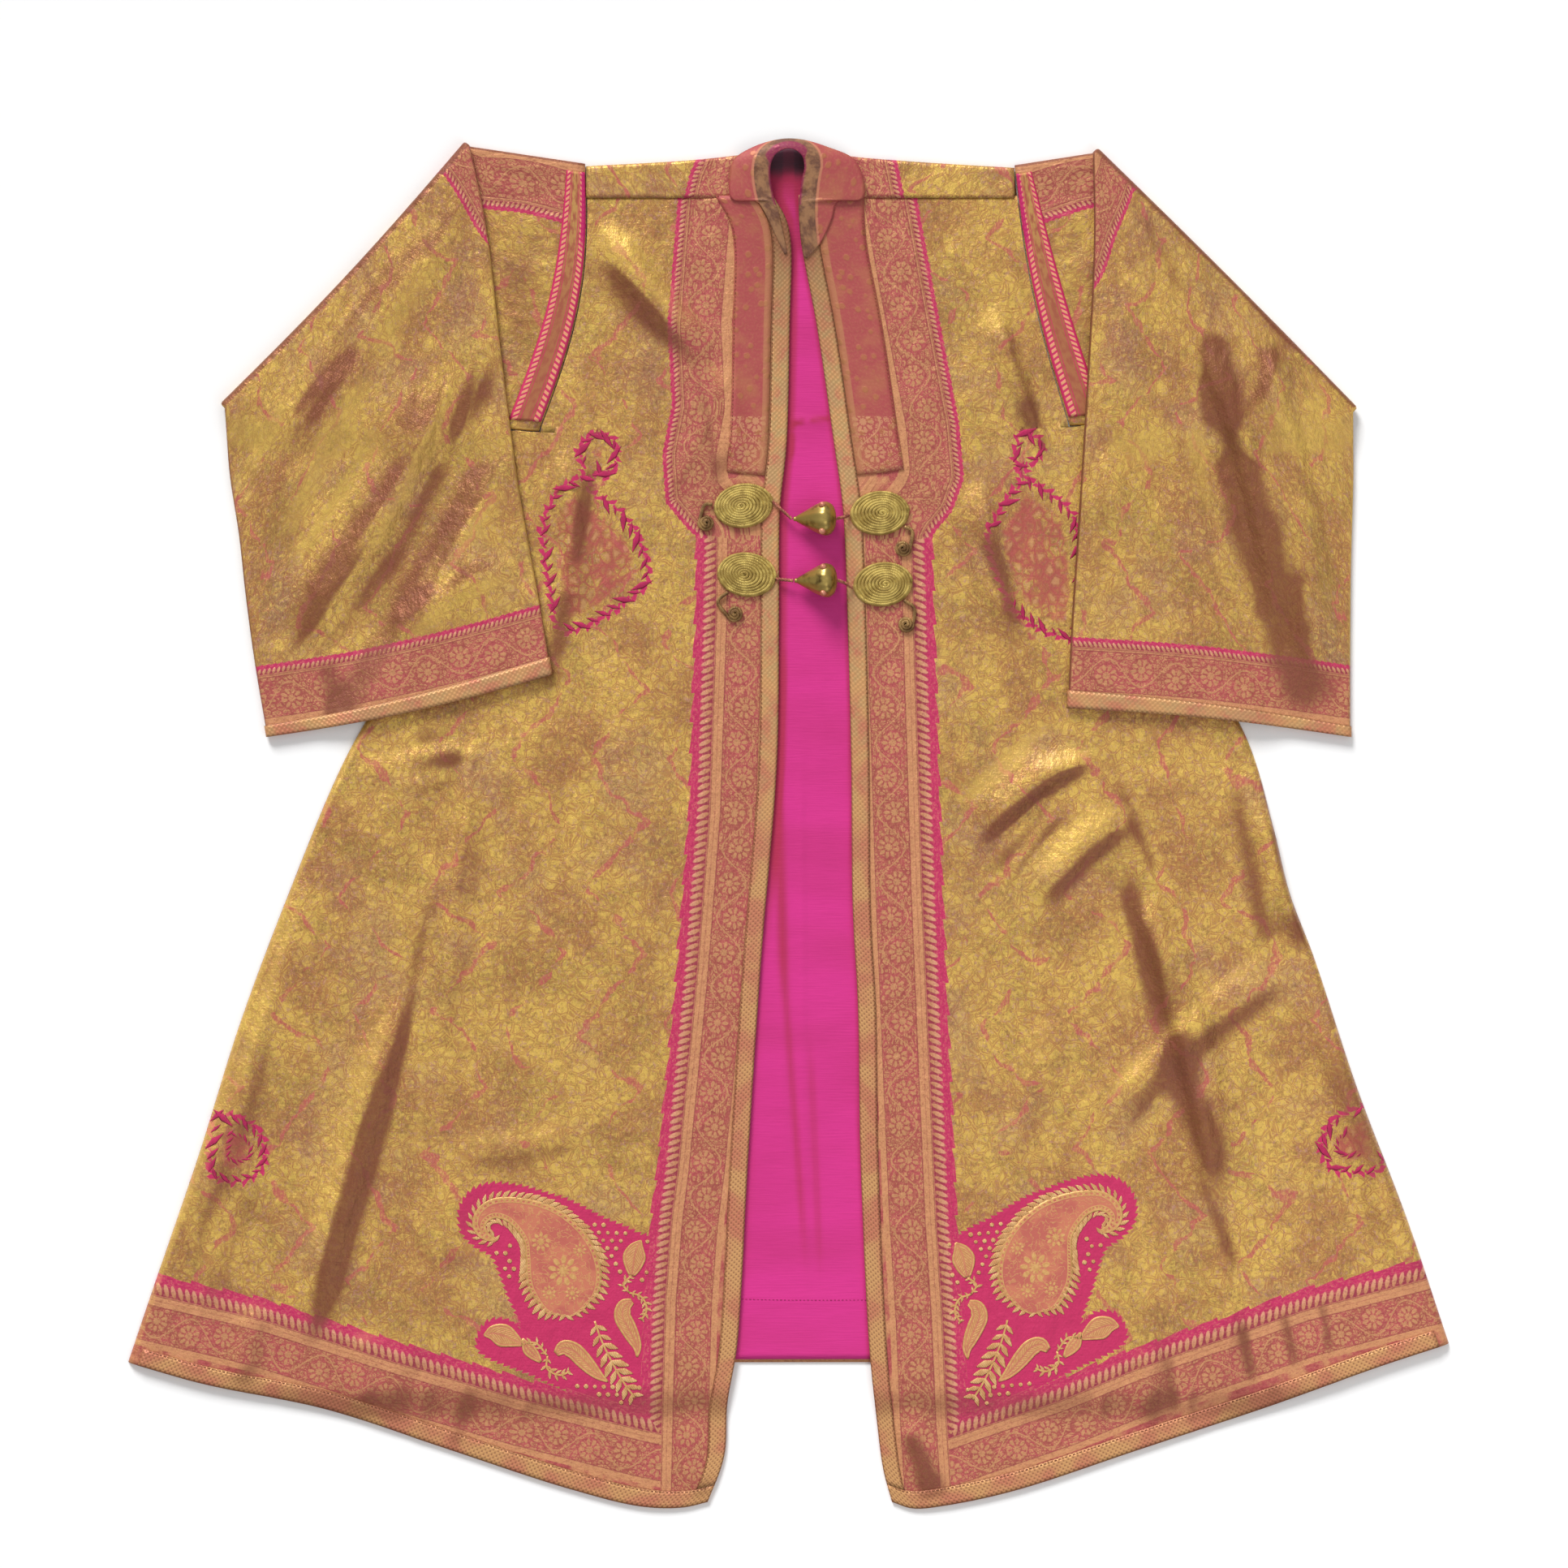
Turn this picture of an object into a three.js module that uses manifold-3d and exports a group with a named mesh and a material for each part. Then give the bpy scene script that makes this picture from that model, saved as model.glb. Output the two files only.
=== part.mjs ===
// A choga: a long open coat of silk and gold brocade, lined in pink silk, laid flat on a surface.
// Both sleeves are folded down over the fronts, and two frog fastenings bridge the opening.
// Millimetres. X runs across the coat, +Y towards its neck, +Z up from the surface it lies on.
// Left and right are those of the view from above.
import * as THREE from "three";
import { mergeVertices } from "three/addons/utils/BufferGeometryUtils.js";
import Module from "manifold-3d";

const wasm = await Module();
wasm.setup();

// Cloth walls and the gap that seams keep
const SHELL = 1.6;
const FRONT_WALL = 2.0;
const LINING_WALL = 1.0;
const STRIP_WALL = 1.0;
const SEAM_GAP = 0.3;

// Heights of the middle of each layer above the surface
const BACK_MID = SHELL / 2;
const LINING_MID = SHELL + SEAM_GAP + LINING_WALL / 2;
const FRONT_MID = 4.4;
const SEAM_MID = 5.0;
const SLEEVE_HALF = (SEAM_MID - BACK_MID) / 2;
const SLEEVE_MID = BACK_MID + SLEEVE_HALF;
const FOLDED_REST = 7.6;
const FOLDED_MID = FOLDED_REST + SHELL / 2 + SLEEVE_HALF;
const FOLD_RADIUS = (FOLDED_MID - SLEEVE_MID) / 2;
const SLEEVE_REACH = SLEEVE_HALF + SHELL / 2;
const FOLD_REACH = FOLD_RADIUS + SLEEVE_REACH;
const SLEEVE_TURN = [0, Math.PI / 4, Math.PI / 2];
const SLEEVE_STEPS = 9;

// Sizes that shape the panels
const BINDING_WIDTH = 17.5;
const ARMHOLE_BAND_WIDTH = 29;
const SIDE_ROLL = 6;
const CLOTH_FALL = 45;
const HEM_FALL = [20, 60];
const NECK_RISE = 7;
const NECK_REACH = 42;
const NECK_PLACE = [596, 640];
const NECK_STRETCH = 0.9;
const NECK_FADE = [0.55, 0.9];
const BODY_LOFT = 1.6;
const SEAM_DEPTH = 30;
const UNDERARM_SHARE = 0.18;
const SHOULDER_FLAT = [0.005, 0.05];
const ARMHOLE_FLAT = 4;
const OPENING_LOFT = 60;
const HEM_DAMPING = 0.35;
const FASTENING_FLAT = [34, 60];
const SLEEVE_FLAT = [-44, -26];
const CUFF_FLAT = [-60, -35];
const FOLD_FADE = [-0.05, 0.25, 0.72, 1.05];
const SIDE_ROLL_STEPS = [9, 4.6, 2.2, 0.8, 0];
const ARMHOLE_ROWS = 5;
const SKIRT_ROWS = 23;
const FRONT_STEPS = 11;
const NECKBAND_ROWS = 6;
const NECKBAND_COLUMNS = [2, 4];
const SLEEVE_START_STEPS = 4;
const SLEEVE_BEND_STEPS = 6;
const SLEEVE_FOLDED_STEPS = 10;
const SLEEVE_EDGE_SHARE = 0.1;
const SLEEVE_START_SHARE = 0.12;
const ARMHOLE_BAND_STEPS = 14;
const ARMHOLE_BAND_SHARES = [0.035, 0.965];
const ARMHOLE_BAND_TAPER = [1.15, 0.8];
const ARMHOLE_BAND_START = 0.9;
const BACK_COLUMNS = 16;
const BACK_ROWS = [0, 0.13, 0.26, 0.38, 0.5, 0.6, 0.68, 0.745, 0.79, 0.83, 0.87, 0.91, 0.955, 1];
const BACK_UNDERARM_ROW = 8;
const BACK_BEND_STEPS = 5;
const BACK_SEAM_LAP = 0.4;
const NECK_MARGIN = 22;
const LINING_STEPS = [16, 14];
const LINING_REACH = 4;
const LINING_HEM_RISE = 3;
const LINING_HEM_SHARE = 0.985;
const LINING_TOP = [[-60, 622], [0, 630], [70, 622]];
const LINING_ARMHOLE_SHARES = [1, 0.5, 0.12];
const COLLAR_STEPS = [18, 3];
const COLLAR_WAVE = 2.2;
const COLLAR_WALL = STRIP_WALL + 0.4;
const ARMHOLE_GAP = 1;
const UNDERARM_EASE = 1.5;
const SIDE_INSET = 8;
const STRIP_LIFT = FRONT_WALL / 2 + SEAM_GAP + STRIP_WALL / 2;

const GOLD = { color: 0xc49a52, roughness: 0.45, metalness: 0.55 };
const BORDER = { color: 0xc07f5a, roughness: 0.5, metalness: 0.4 };
const BAND = { color: 0xaf5f54, roughness: 0.55, metalness: 0.3 };
const PINK_SILK = { color: 0xd5308a, roughness: 0.6, metalness: 0 };
const GILT_CORD = { color: 0xab9350, roughness: 0.5, metalness: 0.6 };
const BRASS = { color: 0xa87f45, roughness: 0.35, metalness: 0.9 };

// The two sides of the coat. Each outline is a row of [x, y]: the opening edge from neck to hem,
// the side seam from underarm to hem, the hem from opening to side, and the sleeve's two edges
// before and after its fold. Folds are rows of fold columns.
const FOLD_COLUMNS = ["x0", "y0", "x1", "y1", "bow", "half", "rise", "lean"];
const LEFT = {
  name: "left",
  out: -1,
  opening: [
    [-15, 596], [-2, 573], [2.3, 551], [1.2, 474], [-1.9, 358], [-8, 300], [-9, 197], [-11, 58],
    [-25.8, -127], [-38, -312], [-49, -497], [-58, -550], [-61, -600], [-76.7, -643.8],
  ],
  side: [
    [-272, 370.5], [-306, 312], [-362, 168], [-422.9, 57.8], [-474.5, -65.5], [-520.8, -189], [-559.4, -312],
    [-601.8, -436], [-627.2, -511.2],
  ],
  hem: [
    [-76.7, -643.8], [-100, -649], [-140, -648], [-209, -631], [-325, -593], [-440, -555],
    [-556, -531], [-627.2, -511.2],
  ],
  armhole: { top: [-193.1, 626.8], under: [-237.1, 372.4], bow: 17 },
  foldTop: [-307.2, 647.6],
  foldUnder: [-539.3, 398.6],
  foldBow: -4.5,
  inner: [[-286.4, 566.7], [-271, 435.6], [-255.6, 320], [-236.3, 212], [-224.7, 141.1]],
  outer: [[-530.8, 335.4], [-521.6, 273.7], [-514.7, 212], [-506.2, 150.3], [-494.6, 82.5]],
  cuffBow: -6,
  neckbandTo: 54,
  frontFolds: [
    [-178, 575, -66, 440, 4, 15, 7.5, 0.3],
    [-66, 445, -52, 300, -6, 11, 3.5, 0],
    [-212, 360, -200, 200, 0, 16, 4, 0.2],
    [-294, 60, -330, -220, 5, 12, 4.5, -0.4],
    [-358, -150, -460, -500, 0, 16, 6, 0.45],
    [-300, -300, -395, -590, 0, 20, 3, 0],
    [-410, 70, -300, 95, 8, 20, 3, 0],
    [-440, -40, -590, -430, -6, 16, 4, 0],
    [-320, -310, -190, -290, 6, 14, 2.5, 0],
    [-150, 150, -130, -420, 10, 26, 2.2, 0],
    [-505, -455, -520, -530, 0, 13, 3.5, 0],
    [-400, -480, -405, -560, 0, 12, 3, 0],
    [-95, -560, -80, -640, 0, 14, 3, 0],
  ],
  sleeveFolds: [
    [-325, 420, -470, 170, -16, 20, 8.5, 0.4],
    [-405, 450, -490, 270, 0, 20, 6, 0.2],
    [-258, 245, -375, 178, 6, 15, 4.5, 0],
    [-330, 560, -400, 440, 8, 18, 4.5, 0],
    [-290, 360, -300, 190, 8, 22, 3.5, 0],
  ],
};
const RIGHT = {
  name: "right",
  out: 1,
  opening: [
    [9.6, 596], [10, 573], [12, 551], [26.6, 474], [43.6, 358], [51.5, 300], [56, 197], [59.5, 58],
    [61, -81], [66, -174], [68.2, -312], [76.7, -497], [83, -559], [90, -613], [98.3, -643.8],
  ],
  side: [
    [302, 376], [332, 308], [382, 180], [437, 77], [460.7, -3.9], [476, -65.5], [499.2, -127], [540, -250.6],
    [587, -374], [627.2, -493.4],
  ],
  hem: [
    [98.3, -643.8], [118, -650], [150, -647], [214.7, -633], [330, -595], [446, -556],
    [561.7, -514.5], [627.2, -493.4],
  ],
  armhole: { top: [214.7, 625.3], under: [267.2, 377.8], bow: -8 },
  foldTop: [293.4, 641.5],
  foldUnder: [540.1, 394.8],
  foldBow: 1.5,
  inner: [[289.5, 551.3], [282.6, 412.5], [274.9, 289.1], [268.7, 196.6], [264.8, 109.5]],
  outer: [[536.3, 335.4], [534, 242.9], [533.2, 150.3], [533.2, 115], [533.2, 82.5]],
  cuffBow: 4,
  neckbandTo: 62,
  frontFolds: [
    [192, 490, 232, 375, 0, 14, 5.5, 0.2],
    [214, 545, 256, 420, 3, 13, 4.5, -0.2],
    [180, 330, 222, 170, 5, 15, 5, 0.3],
    [320, 90, 170, -20, 10, 18, 6.5, 0.3],
    [325, 10, 235, -75, 6, 16, 5.5, 0.2],
    [330, -60, 405, -345, -6, 17, 8.5, -0.45],
    [455, 30, 490, -120, 0, 17, 6.5, 0.3],
    [486, -130, 290, -290, 10, 16, 5, 0],
    [385, -250, 425, -540, 0, 15, 4.5, 0],
    [345, -420, 340, -585, 0, 12, 3.5, 0],
    [500, -160, 600, -440, 6, 16, 4.5, 0],
    [130, 60, 150, -400, -8, 26, 2.2, 0],
    [108, -560, 136, -640, -5, 12, 4.5, 0],
    [260, -180, 200, -330, 0, 18, 3, 0],
  ],
  sleeveFolds: [
    [384, 470, 462, 180, -14, 15, 7.5, -0.4],
    [440, 470, 500, 130, -16, 19, 8, 0.2],
    [372, 380, 392, 210, 0, 17, 4.5, 0],
    [470, 460, 452, 380, 0, 12, 4.5, 0],
    [320, 520, 318, 250, 6, 26, 3, 0],
  ],
};

// The back's own edges, which the fronts cover but for its fold over the shoulders.
const SHOULDER_LINE = [
  [-193.1, 626.8], [-94, 629.9], [-50, 634.5], [-12, 640], [10, 641], [32, 638], [61, 633.5],
  [120, 628.6], [214.7, 625.3],
];
const BACK_HEM = [
  [-621, -503], [-560, -508], [-300, -511.2], [72, -511.2],
  [420, -511.2], [540, -505], [600, -492], [621, -484],
];
const SHOULDER_SEAM_Y = 596;
const SHOULDER_SEAM_LIFT = 1.2;
const NECK_LEFT = -51;
const NECK_RIGHT = 60;

// The collar round the back of the neck, seen from above. The columns give the edge at the neck
// hole and the sewn edge, each with its x, y and height.
const COLLAR_SECTIONS = [
  { hole: [-15.0, 597, 13], sewn: [-50, 597, 7.4] },
  { hole: [-17.8, 616, 15], sewn: [-50, 614, 8.2] },
  { hole: [-15.0, 631, 17], sewn: [-44, 630, 9.2] },
  { hole: [-7.0, 639, 18], sewn: [-28, 640, 10.0] },
  { hole: [3.0, 641.5, 18.5], sewn: [0, 649, 10.5] },
  { hole: [12.0, 637, 18], sewn: [24, 642, 10.2] },
  { hole: [15.5, 626, 17], sewn: [45, 632, 9.2] },
  { hole: [11.5, 611, 15], sewn: [58, 616, 8.2] },
  { hole: [9.6, 597, 13], sewn: [59, 597, 7.4] },
];

// The frog fastenings. Pads and curls give their centre and half sizes, buttons their centre.
const PAD_BOTTOM = 7.7;
const PAD_HEIGHT = 4.6;
const CURL_HALF_HEIGHT = 3.6;
const CORD_RADIUS = 1.7;
const CORD_SIDES = 6;
const BUTTON_LENGTH = 41;
const BUTTON_RADIUS = 16.5;
const BUTTON_TILT = 13;
const BUTTON_WIDEST = 32;
const BUTTON_LIFT = SEAM_GAP + 0.9;
const FRONT_FLAT_TOP = SEAM_MID + FRONT_WALL / 2;
const FASTENINGS = [
  {
    name: "upper",
    left: { pad: [-42.8, 301.5], turn: 8, curl: [-78, 285.5], bend: [-79, 303] },
    right: { pad: [86.4, 294.5], turn: 4, curl: [108.5, 261.5], bend: [117, 278] },
    button: [24.5, 289],
  },
  {
    name: "lower",
    left: { pad: [-39.7, 236.2], turn: -8, curl: [-51, 199.5], bend: [-67, 211] },
    right: { pad: [89.5, 227], turn: 6, curl: [111.5, 189.5], bend: [119, 205] },
    button: [25.5, 230.5],
  },
];
const PAD_HALF = [28.6, 21.2];
const CURL_RADIUS = 8.6;

const lerp = THREE.MathUtils.lerp;
const smooth = THREE.MathUtils.smoothstep;
const clamp = THREE.MathUtils.clamp;

// A smooth curve through a table of [x, y], read by its share of the length.
function curveOf(rows) {
  const curve = new THREE.CatmullRomCurve3(
    rows.map(([x, y]) => new THREE.Vector3(x, y, 0)), false, "centripetal",
  );
  curve.arcLengthDivisions = 400;
  return (share) => curve.getPointAt(clamp(share, 0, 1));
}

// The armhole seam, from the shoulder to the underarm, bowed towards the body.
function armholePoint(half, share, shift = 0) {
  const { top, under, bow } = half.armhole;
  const x = lerp(top[0], under[0], share) + bow * Math.sin(Math.PI * share);
  return new THREE.Vector3(x - half.out * shift, lerp(top[1], under[1], share), 0);
}

// How high the folds of a table stand above the cloth around them, at a place seen from above.
function foldHeight(table, x, y) {
  let height = 0;
  for (const row of table) {
    const f = Object.fromEntries(FOLD_COLUMNS.map((name, i) => [name, row[i]]));
    const dx = f.x1 - f.x0;
    const dy = f.y1 - f.y0;
    const length = Math.hypot(dx, dy);
    const along = ((x - f.x0) * dx + (y - f.y0) * dy) / (length * length);
    const aside = ((x - f.x0) * dy - (y - f.y0) * dx) / length - f.bow * 4 * along * (1 - along);
    const half = f.half * (1 + (aside > 0 ? f.lean : -f.lean));
    const fade = smooth(along, FOLD_FADE[0], FOLD_FADE[1]) * (1 - smooth(along, FOLD_FADE[2], FOLD_FADE[3]));
    height += f.rise * fade * Math.exp(-((aside / half) ** 2));
  }
  return height;
}

// A point's distance past a line, measured to the line's right as it runs from a to b.
function pastLine(x, y, a, b) {
  const dx = b[0] - a[0];
  const dy = b[1] - a[1];
  return ((x - a[0]) * dy - (y - a[1]) * dx) / Math.hypot(dx, dy);
}

// The share of a place that lies under the folded sleeve, where the fronts stay flat.
function underSleeve(half, x, y) {
  const inner = [half.foldTop, ...half.inner];
  const row = inner.findIndex((p) => p[1] < y);
  const k = row < 0 ? inner.length - 1 : Math.max(row, 1);
  const [a, b] = [inner[k - 1], inner[k]];
  const edge = lerp(a[0], b[0], clamp((y - a[1]) / (b[1] - a[1]), 0, 1));
  const aside = smooth(half.out * (x - edge), ...SLEEVE_FLAT);
  const cuffY = Math.min(half.inner.at(-1)[1], half.outer.at(-1)[1]);
  const cuffLine = -half.out * pastLine(x, y, half.inner.at(-1), half.outer.at(-1));
  return aside * smooth(Math.min(cuffLine, y - cuffY + SEAM_DEPTH), ...CUFF_FLAT);
}

// How far a place lies past the edge of what the folded sleeve rests on.
function pastSupport(half, x, y) {
  const under = half.armhole.under;
  const belowSleeve = half.out * pastLine(x, y, under, half.foldUnder);
  const besideBody = -half.out * pastLine(x, y, under, half.side[3]);
  return Math.min(belowSleeve, besideBody);
}

// A place's nearness to the fastenings, where the fronts lie flat under the pads.
function nearFastening(x, y) {
  const nearest = Math.min(
    ...FASTENINGS.flatMap(({ left, right }) => [left.pad, right.pad, left.curl, right.curl])
      .map(([px, py]) => Math.hypot(x - px, y - py)),
  );
  return 1 - smooth(nearest, ...FASTENING_FLAT);
}

// The back's hem at a given x, by straight steps through its table.
function backHemY(x) {
  const row = clamp(BACK_HEM.findIndex((p) => p[0] > x), 1, BACK_HEM.length - 1);
  const [a, b] = [BACK_HEM[row - 1], BACK_HEM[row]];
  return lerp(a[1], b[1], clamp((x - a[0]) / (b[0] - a[0]), 0, 1));
}

// A closed wall of cloth on a grid of points, each moved half the thickness both ways along the
// cloth's own normal. A mask leaves cells out, and lift moves the whole wall out from the grid.
function clothWall(grid, thickness, { lift = 0, mask = () => true } = {}) {
  const rows = grid.length;
  const columns = grid[0].length;
  const at = (i, j) => grid[clamp(i, 0, rows - 1)][clamp(j, 0, columns - 1)];
  const normals = grid.map((row, i) => row.map((_, j) => {
    const down = at(i + 1, j).clone().sub(at(i - 1, j));
    const across = at(i, j + 1).clone().sub(at(i, j - 1));
    return across.cross(down).normalize();
  }));
  const facing = Math.sign(normals.flat().reduce((sum, n) => sum + n.z, 0));
  const positions = [];
  for (const side of [facing, -facing]) {
    grid.forEach((row, i) => row.forEach((p, j) => {
      const q = p.clone().addScaledVector(normals[i][j], facing * lift + (side * thickness) / 2);
      positions.push(q.x, q.y, Math.max(q.z, 0));
    }));
  }
  const under = rows * columns;
  const id = (i, j) => i * columns + j;
  const used = (i, j) => i >= 0 && j >= 0 && i < rows - 1 && j < columns - 1 && mask(i, j);
  const index = [];
  const quad = (a, b, c, d) => index.push(a, b, c, a, c, d);
  for (let i = 0; i < rows - 1; i++) {
    for (let j = 0; j < columns - 1; j++) {
      if (!used(i, j)) continue;
      const [a, b, c, d] = [id(i, j), id(i, j + 1), id(i + 1, j + 1), id(i + 1, j)];
      quad(a, b, c, d);
      index.push(c + under, b + under, a + under, d + under, c + under, a + under);
      if (!used(i - 1, j)) quad(b, a, a + under, b + under);
      if (!used(i + 1, j)) quad(d, c, c + under, d + under);
      if (!used(i, j - 1)) quad(a, d, d + under, a + under);
      if (!used(i, j + 1)) quad(c, b, b + under, c + under);
    }
  }
  return facingOut(positions, index);
}

// A geometry of these triangles, turned round if they face inwards, without unused points.
function facingOut(positions, index) {
  const p = (k) => new THREE.Vector3().fromArray(positions, 3 * k);
  let volume = 0;
  for (let k = 0; k < index.length; k += 3) {
    volume += p(index[k]).dot(p(index[k + 1]).cross(p(index[k + 2])));
  }
  if (volume < 0) index.reverse();
  const geometry = new THREE.BufferGeometry();
  geometry.setAttribute("position", new THREE.Float32BufferAttribute(positions, 3));
  geometry.setIndex(index);
  return geometry.toNonIndexed();
}

// A panel spread between four edge curves. Shares run from the opening to the side and down.
function spreadPanel(inner, outer, top, bottom) {
  const corners = [top(0), top(1), bottom(0), bottom(1)];
  return (s, t) => {
    const p = inner(t).clone().multiplyScalar(1 - s).addScaledVector(outer(t), s);
    p.addScaledVector(top(s), 1 - t).addScaledVector(bottom(s), t);
    p.addScaledVector(corners[0], -(1 - s) * (1 - t)).addScaledVector(corners[1], -s * (1 - t));
    return p.addScaledVector(corners[2], -(1 - s) * t).addScaledVector(corners[3], -s * t);
  };
}

// One front, as a function from shares of its width and length to a point in its middle layer.
function frontPanel(half) {
  const { top: armholeTop, under } = half.armhole;
  const seamTop = (SHOULDER_SEAM_Y - armholeTop[1]) / (under[1] - armholeTop[1]);
  const inset = half.out * (FRONT_WALL / 2);
  const side = [
    [under[0] - half.out * UNDERARM_EASE, under[1] - UNDERARM_EASE],
    ...half.side.map(([x, y]) => [x - inset, y]),
  ];
  const sideEdge = curveOf(side);
  const inner = curveOf(half.opening);
  const outer = (t) => t < UNDERARM_SHARE
    ? armholePoint(half, lerp(seamTop, 1, t / UNDERARM_SHARE), ARMHOLE_GAP)
    : sideEdge((t - UNDERARM_SHARE) / (1 - UNDERARM_SHARE));
  const top = curveOf([half.opening[0], [outer(0).x, SHOULDER_SEAM_Y]]);
  const bottom = curveOf([...half.hem.slice(0, -1), side.at(-1)]);
  const plan = spreadPanel(inner, outer, top, bottom);
  const underarmY = under[1];
  return (s, t) => {
    const p = plan(s, t);
    const width = plan(1, t).distanceTo(plan(0, t));
    const fromSide = (1 - s) * width;
    const fromOpening = s * width;
    const atShoulder = 1 - smooth(t, ...SHOULDER_FLAT);
    const flat = Math.max(nearFastening(p.x, p.y), underSleeve(half, p.x, p.y), atShoulder);
    const atSeam = outer(t).y > underarmY - 1 ? 1 - smooth(fromSide, ARMHOLE_FLAT, SEAM_DEPTH) : 0;
    const loft = BODY_LOFT * smooth(fromOpening, 0, OPENING_LOFT) + foldHeight(half.frontFolds, p.x, p.y);
    const free = loft * (1 - Math.max(flat, atSeam));
    const level = lerp(FRONT_MID, SEAM_MID, Math.max(flat, atSeam));
    const pastHem = smooth(backHemY(p.x) - p.y, ...HEM_FALL);
    let z = lerp(level, FRONT_WALL / 2, pastHem) + free * (1 - HEM_DAMPING * pastHem);
    const neck = Math.hypot(fromOpening, Math.max(p.y - NECK_PLACE[1], NECK_PLACE[0] - p.y) * NECK_STRETCH);
    z += NECK_RISE * Math.exp(-((neck / NECK_REACH) ** 2)) * (1 - smooth(s, ...NECK_FADE));
    const rolled = smooth(underarmY - outer(t).y, SEAM_DEPTH, 2 * SEAM_DEPTH);
    const bend = Math.sqrt(Math.max(0, 1 - (1 - Math.min(fromSide, SIDE_ROLL) / SIDE_ROLL) ** 2));
    p.z = z * lerp(1, bend, rolled);
    return p;
  };
}

// Distances across a front: the edges of its binding and neckband, even steps, then the side roll.
function frontShares(half, width) {
  const bandMiddle = lerp(BINDING_WIDTH, half.neckbandTo, 0.5);
  const strips = [0, BINDING_WIDTH, BINDING_WIDTH + SEAM_GAP, bandMiddle, half.neckbandTo];
  const roll = SIDE_ROLL_STEPS.map((d) => width - d);
  const even = Array.from({ length: FRONT_STEPS - 1 }, (_, k) =>
    lerp(half.neckbandTo, roll[0], (k + 1) / FRONT_STEPS),
  );
  return [...strips, ...even, ...roll].map((d) => d / width);
}

// Shares down a front: even steps to the underarm and on to the upper edge of the hem's binding.
function frontRows(length) {
  const lastEven = 1 - (BINDING_WIDTH + SEAM_GAP) / length;
  const above = Array.from({ length: ARMHOLE_ROWS }, (_, k) => (UNDERARM_SHARE * k) / ARMHOLE_ROWS);
  const below = Array.from({ length: SKIRT_ROWS + 1 }, (_, k) =>
    lerp(UNDERARM_SHARE, lastEven, k / SKIRT_ROWS));
  return [...above, ...below, 1 - BINDING_WIDTH / length, 1];
}

// The sleeve as sections across it, from the armhole to the cuff. Each section gives a point in
// the middle of its two layers and the direction from there to the layer that starts on top.
function sleeveSections(half) {
  const top2 = new THREE.Vector3(...half.foldTop, 0);
  const under2 = new THREE.Vector3(...half.foldUnder, 0);
  const line = under2.clone().sub(top2).normalize();
  const outward = new THREE.Vector3(line.y, -line.x, 0).multiplyScalar(half.out < 0 ? 1 : -1);
  const axisTop = top2.clone().addScaledVector(outward, -FOLD_REACH);
  const axisUnder = under2.clone().addScaledVector(outward, -FOLD_REACH);
  const axisAt = (s) => axisTop.clone().lerp(axisUnder, s)
    .addScaledVector(outward, half.foldBow * Math.sin(Math.PI * clamp(s, 0, 1)));
  const up = new THREE.Vector3(0, 0, 1);
  const sections = [];
  for (let k = 0; k < SLEEVE_START_STEPS; k++) {
    const v = k / SLEEVE_START_STEPS;
    sections.push((s) => {
      const from = armholePoint(half, s);
      return { mid: from.lerp(axisAt(s), v).setZ(SLEEVE_MID), normal: up };
    });
  }
  for (let k = 0; k < SLEEVE_BEND_STEPS; k++) {
    const angle = (Math.PI * k) / SLEEVE_BEND_STEPS;
    sections.push((s) => {
      const mid = axisAt(s).addScaledVector(outward, FOLD_RADIUS * Math.sin(angle));
      mid.z = SLEEVE_MID + FOLD_RADIUS * (1 - Math.cos(angle));
      const normal = outward.clone().multiplyScalar(-Math.sin(angle)).setZ(Math.cos(angle));
      return { mid, normal };
    });
  }
  const innerEdge = curveOf([[axisTop.x, axisTop.y], ...half.inner]);
  const outerEdge = curveOf([[axisUnder.x, axisUnder.y], ...half.outer]);
  const bound = 1 - BINDING_WIDTH / axisTop.distanceTo(new THREE.Vector3(...half.inner.at(-1), 0));
  const shares = Array.from({ length: SLEEVE_FOLDED_STEPS + 1 }, (_, k) => (bound * k) / SLEEVE_FOLDED_STEPS);
  for (const v of [...shares, 1]) {
    sections.push((s) => {
      const mid = innerEdge(v).clone().lerp(outerEdge(v), s);
      mid.addScaledVector(outward, half.foldBow * Math.sin(Math.PI * clamp(s, 0, 1)) * (1 - v));
      mid.y += half.cuffBow * Math.sin(Math.PI * s) * v;
      const fall = smooth(pastSupport(half, mid.x, mid.y), 5, CLOTH_FALL);
      const edge = smooth(Math.min(s, 1 - s), 0, SLEEVE_EDGE_SHARE);
      const stand = foldHeight(half.sleeveFolds, mid.x, mid.y) * edge * smooth(v, 0, SLEEVE_START_SHARE);
      mid.z = lerp(FOLDED_MID, SLEEVE_REACH + SEAM_GAP + STRIP_WALL, fall) + stand;
      return { mid, normal: up.clone().negate() };
    });
  }
  return sections;
}

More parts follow.
